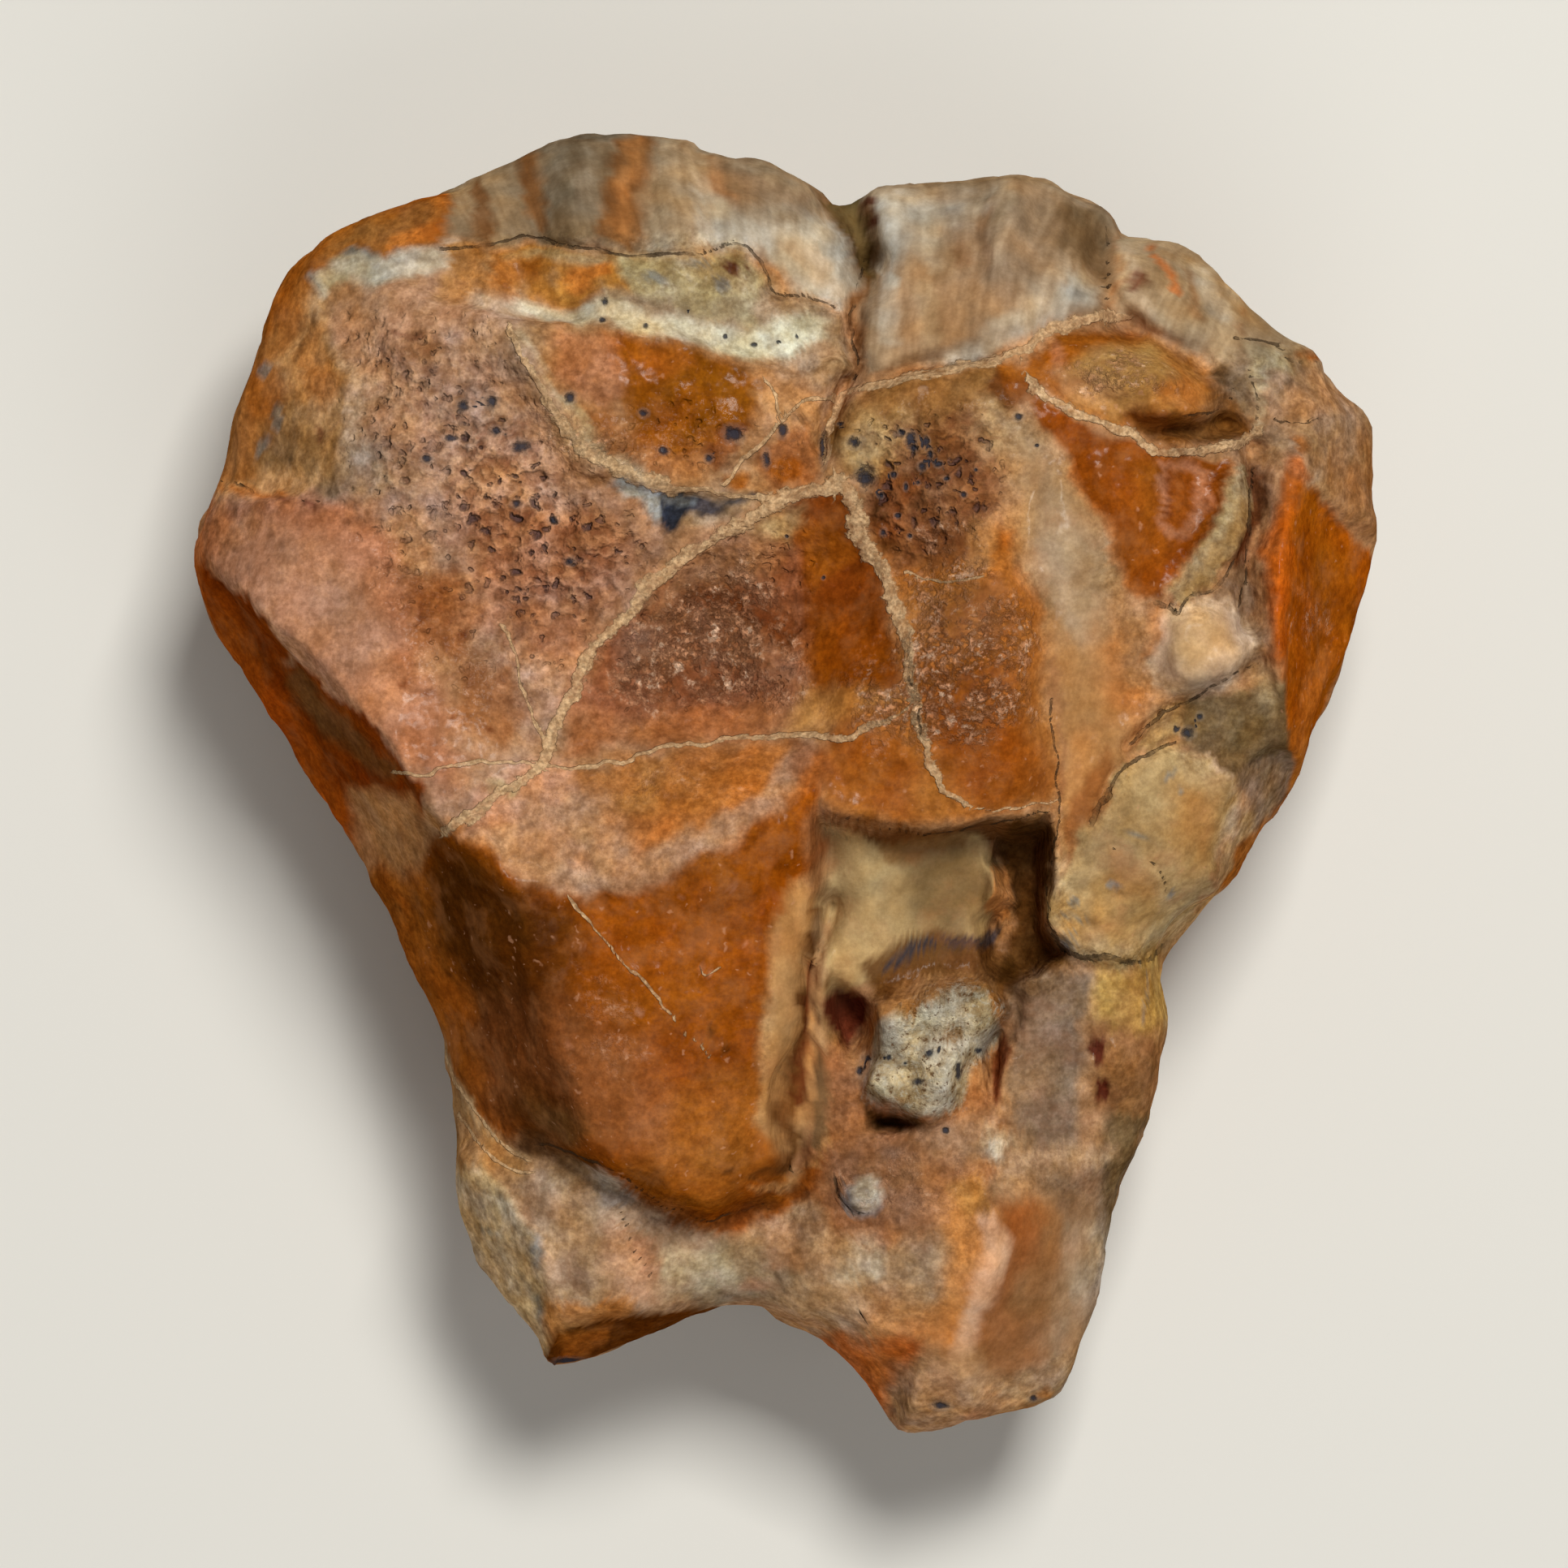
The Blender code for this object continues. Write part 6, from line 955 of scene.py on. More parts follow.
# Small blue-black dots: centre and half widths.
DOTS = fours(-4.45, 11.75, 0.1, 0.12, -4.5, 11.3, 0.1, 0.07, -3.45, 11.15, 0.08, 0.07,
    -0.8, 10.7, 0.1, 0.06, -0.2, 10.75, 0.07, 0.05, -1.5, 10.9, 0.06, 0.06, 0.25, 10.9, 0.05, 0.07,
    -2.4, 11.5, 0.05, 0.05, -1.3, 8.5, 0.24, 0.2, -0.1, 8.6, 0.12, 0.18, -0.5, 7.9, 0.1, 0.2,
    -1.9, 7.9, 0.1, 0.1, 2.8, 8.55, 0.08, 0.07, 3.5, 8.0, 0.07, 0.1, 3.9, 7.4, 0.07, 0.06,
    2.3, 7.0, 0.06, 0.08, 2.7, 6.5, 0.08, 0.06, 2.35, 6.1, 0.08, 0.1, 3.0, 6.0, 0.06, 0.06,
    1.3, 8.75, 0.08, 0.06, 3.2, 7.3, 0.06, 0.06, 4.6, 7.6, 0.05, 0.05, 1.9, 7.45, 0.22, 0.28,
    1.65, 8.3, 0.2, 0.14, 0.9, 8.2, 0.1, 0.4, 3.0, 8.4, 0.14, 0.14, 3.1, 8.15, 0.1, 0.1,
    2.6, 7.5, 0.08, 0.08, 3.3, 7.7, 0.1, 0.1, 3.7, 7.75, 0.1, 0.08, 4.3, 7.0, 0.08, 0.08,
    5.65, 8.9, 0.12, 0.1, 6.1, 8.2, 0.06, 0.05, 0.9, 5.0, 0.06, 0.06, 3.4, 8.3, 0.08, 0.12,
    0.0, 6.0, 0.06, 0.05, 2.9, 7.2, 0.06, 0.1, 9.8, 1.2, 0.16, 0.14, 10.1, 1.6, 0.08, 0.1,
    9.5, 1.3, 0.06, 0.1, -5.4, -14.35, 0.35, 0.1, 3.8, -15.4, 0.22, 0.1, 6.1, -15.25, 0.12, 0.08,
    3.9, -8.55, 0.1, 0.08, 2.0, -6.8, 0.1, 0.08, 2.5, -6.75, 0.08, 0.08, 3.5, -6.65, 0.12, 0.1,
    4.7, -6.6, 0.12, 0.08, 4.2, -6.95, 0.1, 0.12, 4.2, -7.2, 0.08, 0.12, 3.2, -7.35, 0.14, 0.1,
    1.8, -7.1, 0.08, 0.14, 2.9, -6.9, 0.06, 0.06, 3.8, -6.5, 0.06, 0.06, -7.9, 9.2, 0.16, 0.14,
    -7.2, 9.3, 0.16, 0.16, -7.1, 8.6, 0.14, 0.12, -6.5, 8.2, 0.22, 0.16, -5.3, 9.4, 0.14, 0.14,
    -3.5, 9.0, 0.12, 0.1, -3.0, 8.1, 0.14, 0.1, -8.8, 7.9, 0.12, 0.1, -8.2, 8.4, 0.2, 0.1,
    -6.6, 6.8, 0.14, 0.1, -5.7, 6.4, 0.12, 0.1, -5.3, 5.4, 0.14, 0.1)


def smoothstep(low, high, value):
    """Rise smoothly from 0 at low to 1 at high."""
    t = np.clip((value - low) / (high - low), 0.0, 1.0)
    return t * t * (3.0 - 2.0 * t)


def from_segment(x, y, start, end):
    """Distance of each place from a straight piece of line, and how far along it is nearest."""
    ax, ay = start
    dx = end[0] - ax
    dy = end[1] - ay
    along = np.clip(((x - ax) * dx + (y - ay) * dy) / (dx * dx + dy * dy), 0.0, 1.0)
    return np.hypot(x - ax - along * dx, y - ay - along * dy), along


def line_distance(x, y, points):
    """Distance of each place from a line of points."""
    best = np.full(x.shape, FAR)
    for start, end in zip(points[:-1], points[1:]):
        best = np.minimum(best, from_segment(x, y, start, end)[0])
    return best


def inside_distance(x, y, points):
    """Distance from a closed outline, positive inside it."""
    ring = points + points[:1]
    inside = np.zeros(x.shape, dtype=bool)
    for (ax, ay), (bx, by) in zip(ring[:-1], ring[1:]):
        if ay != by:
            crosses = ((ay > y) != (by > y)) & (x < ax + (y - ay) * (bx - ax) / (by - ay))
            inside ^= crosses
    distance = line_distance(x, y, ring)
    return np.where(inside, distance, -distance)


def inside_share(x, y, points, edge):
    """1 inside a closed outline and 0 outside it, changing within an edge to each side."""
    return smoothstep(-edge, edge, inside_distance(x, y, points))


def lattice_value(ix, iy, iz, seed):
    """A fixed value from -1 to 1 for each point of a lattice."""
    mixed = ix * 374761393 + iy * 668265263 + iz * 2147483647 + seed * 974634777
    mixed = (mixed ^ (mixed >> 13)) * 1274126177
    mixed = (mixed ^ (mixed >> 16)) & 0xFFFFFF
    return mixed / 8388607.5 - 1.0


def noise(x, y, z, size, seed):
    """Smooth noise from -1 to 1 whose lumps are about size across."""
    cells = [np.floor(v / size).astype(np.int64) for v in (x, y, z)]
    parts = [v / size - c for v, c in zip((x, y, z), cells)]
    fade = [p * p * p * (p * (p * 6.0 - 15.0) + 10.0) for p in parts]
    total = np.zeros(np.shape(x))
    for corner in range(8):
        step = (corner & 1, corner >> 1 & 1, corner >> 2 & 1)
        weight = np.ones(np.shape(x))
        for f, s in zip(fade, step):
            weight = weight * (f if s else 1.0 - f)
        total += weight * lattice_value(*[c + s for c, s in zip(cells, step)], seed)
    return total


def wander(x, y, waves, seed):
    """Places bent by noise, so that edges wander. Each wave has its reach and its size."""
    level = np.zeros(x.shape)
    bent = []
    for place in (x, y):
        for reach, size in waves:
            place = place + reach * noise(x, y, level, size, seed)
            seed += 1
        bent.append(place)
    return bent


def curve_place(before, here, after, beyond, t):
    """A place on the smooth curve from here to after, as t goes from 0 to 1."""
    return 0.5 * (2.0 * here + (after - before) * t
                  + (2.0 * before - 5.0 * here + 4.0 * after - beyond) * t ** 2
                  + (3.0 * here - before - 3.0 * after + beyond) * t ** 3)


def closed_curve(points, steps=6):
    """A smooth closed curve through the points."""
    p = np.array(points)
    before = np.roll(p, 1, axis=0)
    after = np.roll(p, -1, axis=0)
    beyond = np.roll(p, -2, axis=0)
    pieces = []
    for step in range(steps):
        pieces.append(curve_place(before, p, after, beyond, step / steps))
    return np.stack(pieces, axis=1).reshape(-1, 2)


def outline_radius(angle):
    """Distance from the middle to the outline, in the direction of each angle."""
    curve = closed_curve(OUTLINE) - np.array(MIDDLE)
    curve_angle = np.arctan2(curve[:, 1], curve[:, 0])
    order = np.argsort(curve_angle)
    return np.interp(angle, curve_angle[order], np.hypot(curve[:, 0], curve[:, 1])[order],
                     period=2.0 * math.pi)


def rounded_profile(t, roundness, flatness):
    """Plan radius and rise, both from 0 to 1, at even steps t along a rounded profile."""
    turn = np.linspace(0.0, math.pi / 2.0, PROFILE_STEPS)
    out = np.sin(turn) ** (2.0 / roundness)
    rise = np.cos(turn) ** (2.0 / roundness)
    length = np.concatenate([[0.0], np.cumsum(np.hypot(np.diff(out), flatness * np.diff(rise)))])
    length /= length[-1]
    return np.interp(t, length, out), np.interp(t, length, rise)


def smooth_sheet(places, x, y):
    """Height at x and y of a thin springy sheet through the places."""
    p = np.array(places)

    def bend(r2):
        return r2 * np.log(r2 + 1.0e-9)

    count = len(p)
    r2 = (p[:, None, 0] - p[None, :, 0]) ** 2 + (p[:, None, 1] - p[None, :, 1]) ** 2
    flat = np.column_stack([np.ones(count), p[:, 0], p[:, 1]])
    system = np.zeros((count + 3, count + 3))
    system[:count, :count] = bend(r2) + np.eye(count) * SHEET_STIFFNESS
    system[:count, count:] = flat
    system[count:, :count] = flat.T
    solved = np.linalg.solve(system, np.concatenate([p[:, 2], np.zeros(3)]))
    height = solved[count] + solved[count + 1] * x + solved[count + 2] * y
    for (px, py, _), weight in zip(places, solved[:count]):
        height = height + weight * bend((x - px) ** 2 + (y - py) ** 2)
    return height


def plane_height(corners, x, y):
    """Height at x and y of the plane through three corners."""
    a, b, c = (np.array(corner) for corner in corners)
    normal = np.cross(b - a, c - a)
    return a[2] - (normal[0] * (x - a[0]) + normal[1] * (y - a[1])) / normal[2]


def lump_shape(x, y, centre, half, turn):
    """A round lump, 1 at its centre and 0 at its edge."""
    angle = math.radians(turn)
    u = (x - centre[0]) * math.cos(angle) + (y - centre[1]) * math.sin(angle)
    v = (y - centre[1]) * math.cos(angle) - (x - centre[0]) * math.sin(angle)
    far = np.hypot(u / half[0], v / half[1])
    return 1.0 - smoothstep(0.25, 1.15, far)


def front_height(x, y):
    """Height of the front at each place."""
    wander_x, wander_y = wander(x, y, EDGE_WAVES, 11)
    height = smooth_sheet(FRONT_HEIGHTS, x, y)
    for outline, corners, edge in FACETS.values():
        share = inside_share(wander_x, wander_y, outline, edge)
        height = height + share * (plane_height(corners, x, y) - height)
    for outline, rise, edge in STEPS.values():
        height += rise * inside_share(wander_x, wander_y, outline, edge)
    for centre, half, turn, rise in LUMPS.values():
        height += rise * lump_shape(wander_x, wander_y, centre, half, turn)
    for points, half, rise in LINES.values():
        height += rise * np.exp(-(line_distance(wander_x, wander_y, points) / half) ** 2)
    return height + crest_flutes(x, y)


def crest_flutes(x, y):
    """Upright flutes of the crest, deepest at its rim."""
    crest = smoothstep(10.6, 14.6, y + 0.12 * abs(x - 1.0)) * smoothstep(-9.5, -7.0, x)
    return 0.35 * crest * noise(x, 0.25 * y, np.zeros(x.shape), 0.9, 21)


def back_height(x, y, reach):
    """Height of the back, flat where the tooth rests. Reach is 0 at the middle, 1 at the rim."""
    nought = np.zeros(x.shape)
    bowl = 3.7 * reach ** 2.4 - 0.7
    lift = 0.025 * np.maximum(0.0, -y - 7.0) ** 2 + 0.03 * np.maximum(0.0, y - 9.0) ** 2
    outer = smoothstep(0.2, 0.6, reach)
    height = bowl + lift + outer * 0.5 * noise(x, y, nought, 4.5, 31)
    height += outer * 0.2 * noise(x, y, nought, 1.7, 32)
    for points, half, depth in BACK_LINES.values():
        height += outer * depth * np.exp(-(line_distance(x, y, points) / half) ** 2)
    return np.maximum(0.0, height)


def tooth_places(directions):
    """Place of each point of the tooth, from its direction on the starting cube."""
    polar = np.degrees(np.arccos(np.clip(directions[:, 2], -1.0, 1.0)))
    angle = np.arctan2(directions[:, 1], directions[:, 0])
    front = polar <= RIM_ANGLE
    front_step = np.minimum(polar / RIM_ANGLE, 1.0)
    front_out, front_rise = rounded_profile(front_step, FRONT_ROUNDNESS, PROFILE_FLATNESS)
    back_step = np.clip((180.0 - polar) / (180.0 - RIM_ANGLE), 0.0, 1.0)
    back_out, back_rise = rounded_profile(back_step, BACK_ROUNDNESS, PROFILE_FLATNESS)
    out = np.where(front, front_out, back_out)
    radius = outline_radius(angle)
    x = MIDDLE[0] + out * radius * np.cos(angle)
    y = MIDDLE[1] + out * radius * np.sin(angle)
    rim = RIM_LEVEL + 0.5 * np.sin(angle) + 0.4 * noise(np.cos(angle), np.sin(angle), 0.0 * x, 0.5, 41)
    above = rim + (front_height(x, y) - rim) * front_rise
    below = rim + (back_height(x, y, out) - rim) * back_rise
    z = np.where(front, above, below)
    return np.stack([x, y, z], axis=1)


def roughen(places):
    """Small lumps all over, fading out at the flat patch that the tooth rests on."""
    x, y, z = places.T
    fade = smoothstep(0.0, 0.8, z)
    moved = places.copy()
    for axis in range(3):
        lumps = 0.16 * noise(x, y, z, 1.9, 51 + axis) + 0.07 * noise(x, y, z, 0.8, 61 + axis)
        moved[:, axis] += fade * lumps
    return moved


def fine_noise(x, y, z, size, seed, octaves=3):
    """Noise with finer and finer lumps added."""
    total = np.zeros(np.shape(x))
    share = 1.0
    for octave in range(octaves):
        total += share * noise(x, y, z, size, seed + octave)
        share *= 0.55
        size *= 0.5
    return total


def linear(tone):
    """A tone of 0 to 255 as linear light."""
    share = np.array(tone) / 255.0
    return np.where(share <= 0.04045, share / 12.92, ((share + 0.055) / 1.055) ** 2.4)


def signed_line(x, y, points, first, last):
    """Place across a line in half widths, with its side and without. Its half width runs first to last."""
    near = np.full(x.shape, FAR)
    side = np.ones(x.shape)
    half = np.full(x.shape, first)
    count = len(points) - 1
    for step in range(count):
        (ax, ay), (bx, by) = points[step], points[step + 1]
        away, along = from_segment(x, y, (ax, ay), (bx, by))
        closer = away < near
        near = np.where(closer, away, near)
        side = np.where(closer, np.sign((x - ax) * (by - ay) - (y - ay) * (bx - ax)), side)
        half = np.where(closer, first + (last - first) * (step + along) / count, half)
    return side * near / half, near / half


def nearest_line(x, y, lines):
    """The same for the nearest of several lines."""
    across = np.full(x.shape, OUT_OF_REACH)
    apart = np.full(x.shape, OUT_OF_REACH)
    for first, last, points in lines:
        signed, plain = signed_line(x, y, points, first, last)
        closer = plain < apart
        across = np.where(closer, signed, across)
        apart = np.where(closer, plain, apart)
    return np.clip(across, -OUT_OF_REACH, OUT_OF_REACH), apart


def line_mask(apart):
    """1 on a line and 0 away from it."""
    return 1.0 - smoothstep(0.6, 1.4, apart)


def smooth_path(points, steps=4):
    """A smooth open curve through the points."""
    p = np.array([points[0]] + list(points) + [points[-1]])
    made = []
    for corners in zip(p[:-3], p[1:-2], p[2:-1], p[3:]):
        for step in range(steps):
            made.append(curve_place(*corners, step / steps))
    made.append(p[-1])
    return [tuple(place) for place in made]


def cube_grid(cells):
    """Corners of a gridded cube, from -1 to 1, and its faces."""
    steps = np.arange(cells + 1)
    u, v = np.meshgrid(steps, steps, indexing="ij")
    level = np.full(u.shape, 0)
    top = np.full(u.shape, cells)
    sides = [(u, v, top), (v, u, level), (top, u, v), (level, v, u), (v, top, u), (u, level, v)]
    corners = np.concatenate([np.stack(side, axis=2).reshape(-1, 3) for side in sides])
    keys = (corners[:, 0] * (cells + 1) + corners[:, 1]) * (cells + 1) + corners[:, 2]
    _, first, number = np.unique(keys, return_index=True, return_inverse=True)
    row = (u[:-1, :-1] * (cells + 1) + v[:-1, :-1]).ravel()
    quad = np.stack([row, row + cells + 1, row + cells + 2, row + 1], axis=1)
    faces = np.concatenate([quad + side * (cells + 1) ** 2 for side in range(6)])
    return corners[first] * 2.0 / cells - 1.0, number.ravel()[faces]


def fine_front(x, y):
    """What the fine surface adds to the height of the front."""
    bent_x, bent_y = wander(x, y, FINE_WAVES, 71)
    height = np.zeros(x.shape)
    for outline, rise, edge in FINE_STEPS.values():
        height += rise * inside_share(bent_x, bent_y, outline, edge)
    for centre, half, turn, rise in FINE_LUMPS.values():
        height += rise * lump_shape(bent_x, bent_y, centre, half, turn)
    height += VEIN_RISE * line_mask(nearest_line(bent_x, bent_y, VEIN_PATHS)[1] * 0.8)
    height -= CRACK_DEPTH * line_mask(nearest_line(bent_x, bent_y, CRACK_PATHS)[1] * 0.45)
    return height


def grain(x, y):
    """Shares from 0 to 1 of each kind of surface on the front, in the order of the lists above."""
    kinds = []
    for areas in (POLISHED, PORED, FLUTED, CRUMBLY, ROUGH, CRUSTED, CALM):
        share = np.zeros(x.shape)
        for strength, soft, outline in areas:
            share = np.maximum(share, strength * inside_share(x, y, outline, soft))
        kinds.append(share)
    return kinds


def nearest_dot(x, y, front):
    """Place of each corner seen from the nearest dot, in its half widths, and how far off that is."""
    across = np.full(x.shape, 4.0)
    along = np.full(x.shape, 4.0)
    apart = np.full(x.shape, OUT_OF_REACH)
    for centre_x, centre_y, half_x, half_y in DOTS:
        u = (x - centre_x) / half_x
        v = (y - centre_y) / half_y
        far = np.hypot(u, v)
        closer = far < apart
        across = np.where(closer, u, across)
        along = np.where(closer, v, along)
        apart = np.where(closer, far, apart)
    across, along = np.clip((across, along), -OUT_OF_REACH, OUT_OF_REACH)
    return np.column_stack([across, along, apart + OUT_OF_REACH * (1.0 - front)])


def coat(colour, x, y, z, layers):
    """Lay coats of colour over a colour, at places whose edges wander."""
    bend = [0.18 * noise(x, y, z, 0.9, seed) + 0.11 * noise(x, y, z, 0.4, seed + 1)
            + 0.07 * noise(x, y, z, 0.18, seed + 2) for seed in (81, 91)]
    x = x + bend[0]
    y = y + bend[1]
    for kind, tone, strength, soft, shape in layers:
        if kind == "area":
            share = inside_share(x, y, shape, 0.5 * soft)
        elif kind == "line":
            share = 1.0 - smoothstep(0.4, 1.25, line_distance(x, y, shape) / soft)
        else:
            share = np.zeros(x.shape)
            for centre_x, centre_y, half_x, half_y in shape:
                far = np.hypot((x - centre_x) / half_x, (y - centre_y) / half_y) - 1.0
                edge = soft / min(half_x, half_y)
                share = np.maximum(share, 1.0 - smoothstep(-0.5 * edge, 0.5 * edge, far))
        share = (strength * share)[:, None]
        colour = colour + share * (linear(TONES[tone]) - colour)
    return colour


def mottle(colour, x, y, z, polish):
    """Clouds of lighter and darker, and of warmer and greyer, stone."""
    matt = 1.0 - 0.5 * polish
    light = 1.0 + 0.14 * fine_noise(x, y, z, 1.5, 101) + 0.16 * matt * fine_noise(x, y, z, 0.4, 105, 2)
    warm = 0.16 * fine_noise(x, y, z, 1.8, 111) + 0.12 * matt * noise(x, y, z, 0.5, 115)
    tint = np.stack([1.0 + 0.3 * warm, 1.0 - 0.3 * warm, 1.0 - 1.1 * warm], axis=1)
    return np.clip(colour * light[:, None] * tint, 0.002, 0.95)


def surface(directions):
    """Places of the fine surface, its colours and its kinds."""
    places = tooth_places(directions)
    polar = np.degrees(np.arccos(np.clip(directions[:, 2], -1.0, 1.0)))
    x, y, _ = places.T
    above = 1.0 - smoothstep(0.55 * RIM_ANGLE, RIM_ANGLE, polar)
    kinds = grain(x, y)
    polish, pores, flutes, crumbs, rough, crust, _ = kinds
    nought = np.zeros(x.shape)
    height = fine_front(x, y)
    height -= PORE_DEPTH * pores * smoothstep(0.1, 0.8, noise(x, y, nought, 0.6, 121))
    height += PORE_SWELL * pores * noise(x, y, nought, 1.1, 131)
    fan = x - 0.035 * (x - 0.5) * (y - 10.0)
    height += FLUTE_RISE * flutes * noise(fan, 0.1 * y, nought, 0.6, 141)
    height += CRUMB_RISE * crumbs * noise(x, y, nought, 0.6, 151)
    height += rough * (0.12 * noise(x, y, nought, 1.0, 161) + 0.05 * noise(x, y, nought, 0.55, 162))
    height += crust * CRUST_RISE * noise(x, y, nought, 0.6, 165)
    height += 0.05 * noise(x, y, nought, 1.3, 181) + 0.02 * noise(x, y, nought, 0.7, 182)
    places[:, 2] += above * height
    x, y, z = places.T
    edge = (1.0 - above) * smoothstep(0.0, 0.8, z)
    for axis in range(3):
        places[:, axis] += edge * (0.06 * fine_noise(x, y, z, 0.7, 191 + 10 * axis, 2))
    places = roughen(places)
    front = 1.0 - smoothstep(RIM_ANGLE - 6.0, RIM_ANGLE + 10.0, polar + 5.0 * noise(x, y, z, 2.0, 221))
    colour = np.tile(linear(TONES["tan"]), (len(x), 1))
    face = coat(colour, x, y, 0.25 * z, PAINT)
    rear = coat(colour, x, y, z, BACK_PAINT)
    colour = rear + front[:, None] * (face - rear)
    colour = mottle(colour, x, y, z, polish)
    return places, colour, kinds, front, fan


def fit_to_box(places, low, high):
    """Stretch the places to fill the plain solid's box."""
    least = places.min(axis=0)
    span = places.max(axis=0) - least
    return np.array(low) + (places - least) / span * (np.array(high) - np.array(low))


def add_attribute(mesh, name, kind, values):
    """Store values for each vertex of the mesh."""
    made = mesh.attributes.new(name, kind, "POINT")
    made.data.foreach_set("color" if kind == "FLOAT_COLOR" else "vector", values.astype(np.float32).ravel())


def make_tooth():
    """The fine tooth, as a mesh with its colours and kinds of surface."""
    corners, faces = cube_grid(CUBE_CELLS)
    directions = np.tan(corners * math.pi / 4.0)
    directions /= np.linalg.norm(directions, axis=1)[:, None]
    places, colour, kinds, front, fan = surface(directions)
    x, y, _ = places.T
    bent_x, bent_y = wander(x, y, LINE_WAVES, 231)
    veins = nearest_line(bent_x, bent_y, VEIN_PATHS)
    cracks = nearest_line(bent_x, bent_y, CRACK_PATHS)
    low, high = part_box("tooth")
    places = fit_to_box(places * MM, low, high)
    mesh = bpy.data.meshes.new("tooth_surface")
    mesh.vertices.add(len(places))
    mesh.vertices.foreach_set("co", places.astype(np.float32).ravel())
    mesh.loops.add(faces.size)
    mesh.loops.foreach_set("vertex_index", faces.astype(np.int32).ravel())
    mesh.polygons.add(len(faces))
    mesh.polygons.foreach_set("loop_start", np.arange(0, faces.size, 4, dtype=np.int32))
    mesh.update(calc_edges=True)
    mesh.validate()
    mesh.shade_smooth()
    polish, pores, flutes, crumbs, _, crust, calm = kinds
    whole = np.ones(len(places))
    add_attribute(mesh, "stain", "FLOAT_COLOR", np.column_stack([colour, whole]))
    add_attribute(mesh, "veins", "FLOAT_VECTOR", np.column_stack([*veins, front]))
    add_attribute(mesh, "cracks", "FLOAT_VECTOR", np.column_stack([*cracks, front]))
    skin = np.column_stack([polish * front, pores * front, flutes * front])
    add_attribute(mesh, "skin", "FLOAT_VECTOR", skin)
    add_attribute(mesh, "matter", "FLOAT_VECTOR", np.column_stack([crumbs * front, crust * front, fan]))
    add_attribute(mesh, "dots", "FLOAT_VECTOR", nearest_dot(x, y, front))
    normals = np.empty(3 * len(places), np.float32)
    mesh.vertices.foreach_get("normal", normals)
    upward = smoothstep(0.75, 0.95, normals.reshape(-1, 3)[:, 2])
    calm = np.maximum(calm, np.maximum(0.4 * polish, 0.8 * flutes)) * front
    add_attribute(mesh, "finish", "FLOAT_VECTOR", np.column_stack([polish * upward, calm, front]))
    tooth = bpy.data.objects.new("tooth_surface", mesh)
    bpy.context.scene.collection.objects.link(tooth)
    return tooth


class Nodes:
    """A material's nodes, added one by one."""

    def __init__(self, material):
        self.tree = material.node_tree

    def link(self, value, socket):
        """Set a socket, or link it to another one."""
        if isinstance(value, bpy.types.NodeSocket):
            self.tree.links.new(value, socket)
        elif value is not None:
            socket.default_value = value

    def add(self, kind, inputs=(), **settings):
        """Add a node, and give its first inputs."""
        made = self.tree.nodes.new(kind)
        for name, value in settings.items():
            setattr(made, name, value)
        for number, value in enumerate(inputs):
            self.link(value, made.inputs[number])
        return made

    def math(self, operation, *inputs):
        """A sum on numbers."""
        return self.add("ShaderNodeMath", inputs, operation=operation).outputs[0]

    def times(self, first, second):
        """Two numbers multiplied."""
        return self.math("MULTIPLY", first, second)

    def plus(self, first, second):
        """Two numbers added."""
        return self.math("ADD", first, second)

    def raised(self, height, part, weight):
        """A height with a weighted part added."""
        return self.plus(height, self.times(part, weight))

    def steps(self, value, low, high, start=0.0, end=1.0):
        """Move smoothly from start to end as the value goes from low to high."""
        made = self.add("ShaderNodeMapRange", (value, low, high, start, end),
                        interpolation_type="SMOOTHSTEP")
        return made.outputs[0]

    def attribute(self, name):
        """Three numbers stored on the mesh."""
        found = self.add("ShaderNodeAttribute", attribute_name=name)
        return self.add("ShaderNodeSeparateXYZ", (found.outputs["Vector"],)).outputs

    def noise(self, place, scale, detail, roughness=0.6):
        """Cloudy noise around 0.5."""
        made = self.add("ShaderNodeTexNoise")
        self.link(place, made.inputs["Vector"])
        made.inputs["Scale"].default_value = scale
        made.inputs["Detail"].default_value = detail
        made.inputs["Roughness"].default_value = roughness
        return made.outputs["Fac"]

    def spots(self, place, scale):
        """Distance from scattered points, and a number for each of them."""
        made = self.add("ShaderNodeTexVoronoi")
        self.link(place, made.inputs["Vector"])
        made.inputs["Scale"].default_value = scale
        number = self.add("ShaderNodeSeparateXYZ", (made.outputs["Color"],)).outputs[0]
        return made.outputs["Distance"], number

    def shifted(self, place, by):
        """A place moved, so that noise there is another one."""
        return self.add("ShaderNodeVectorMath", (place, (by, by, by)), operation="ADD").outputs[0]

    def tint(self, colour, value, share, low, high):
        """Multiply a colour by low to high as the value goes from 0 to 1, as far as the share asks."""
        made = self.blend(value, (*low, 1.0), (*high, 1.0))
        made = self.blend(share, (1.0, 1.0, 1.0, 1.0), made)
        return self.blend(1.0, colour, made, "MULTIPLY")

    def laid(self, colour, share, kind, second):
        """Lay a second colour over a colour, where its share and the kind of surface ask."""
        return self.blend(self.times(share, kind), colour, second)

    def blend(self, share, first, second, kind="MIX"):
        """Blend two colours."""
        made = self.add("ShaderNodeMix", data_type="RGBA", blend_type=kind, clamp_factor=True)
        self.link(share, made.inputs[0])
        self.link(first, made.inputs[6])
        self.link(second, made.inputs[7])
        return made.outputs[2]


def tone(name):
    """A tone of the stone, as a shader's colour."""
    return (*linear(TONES[name]), 1.0)


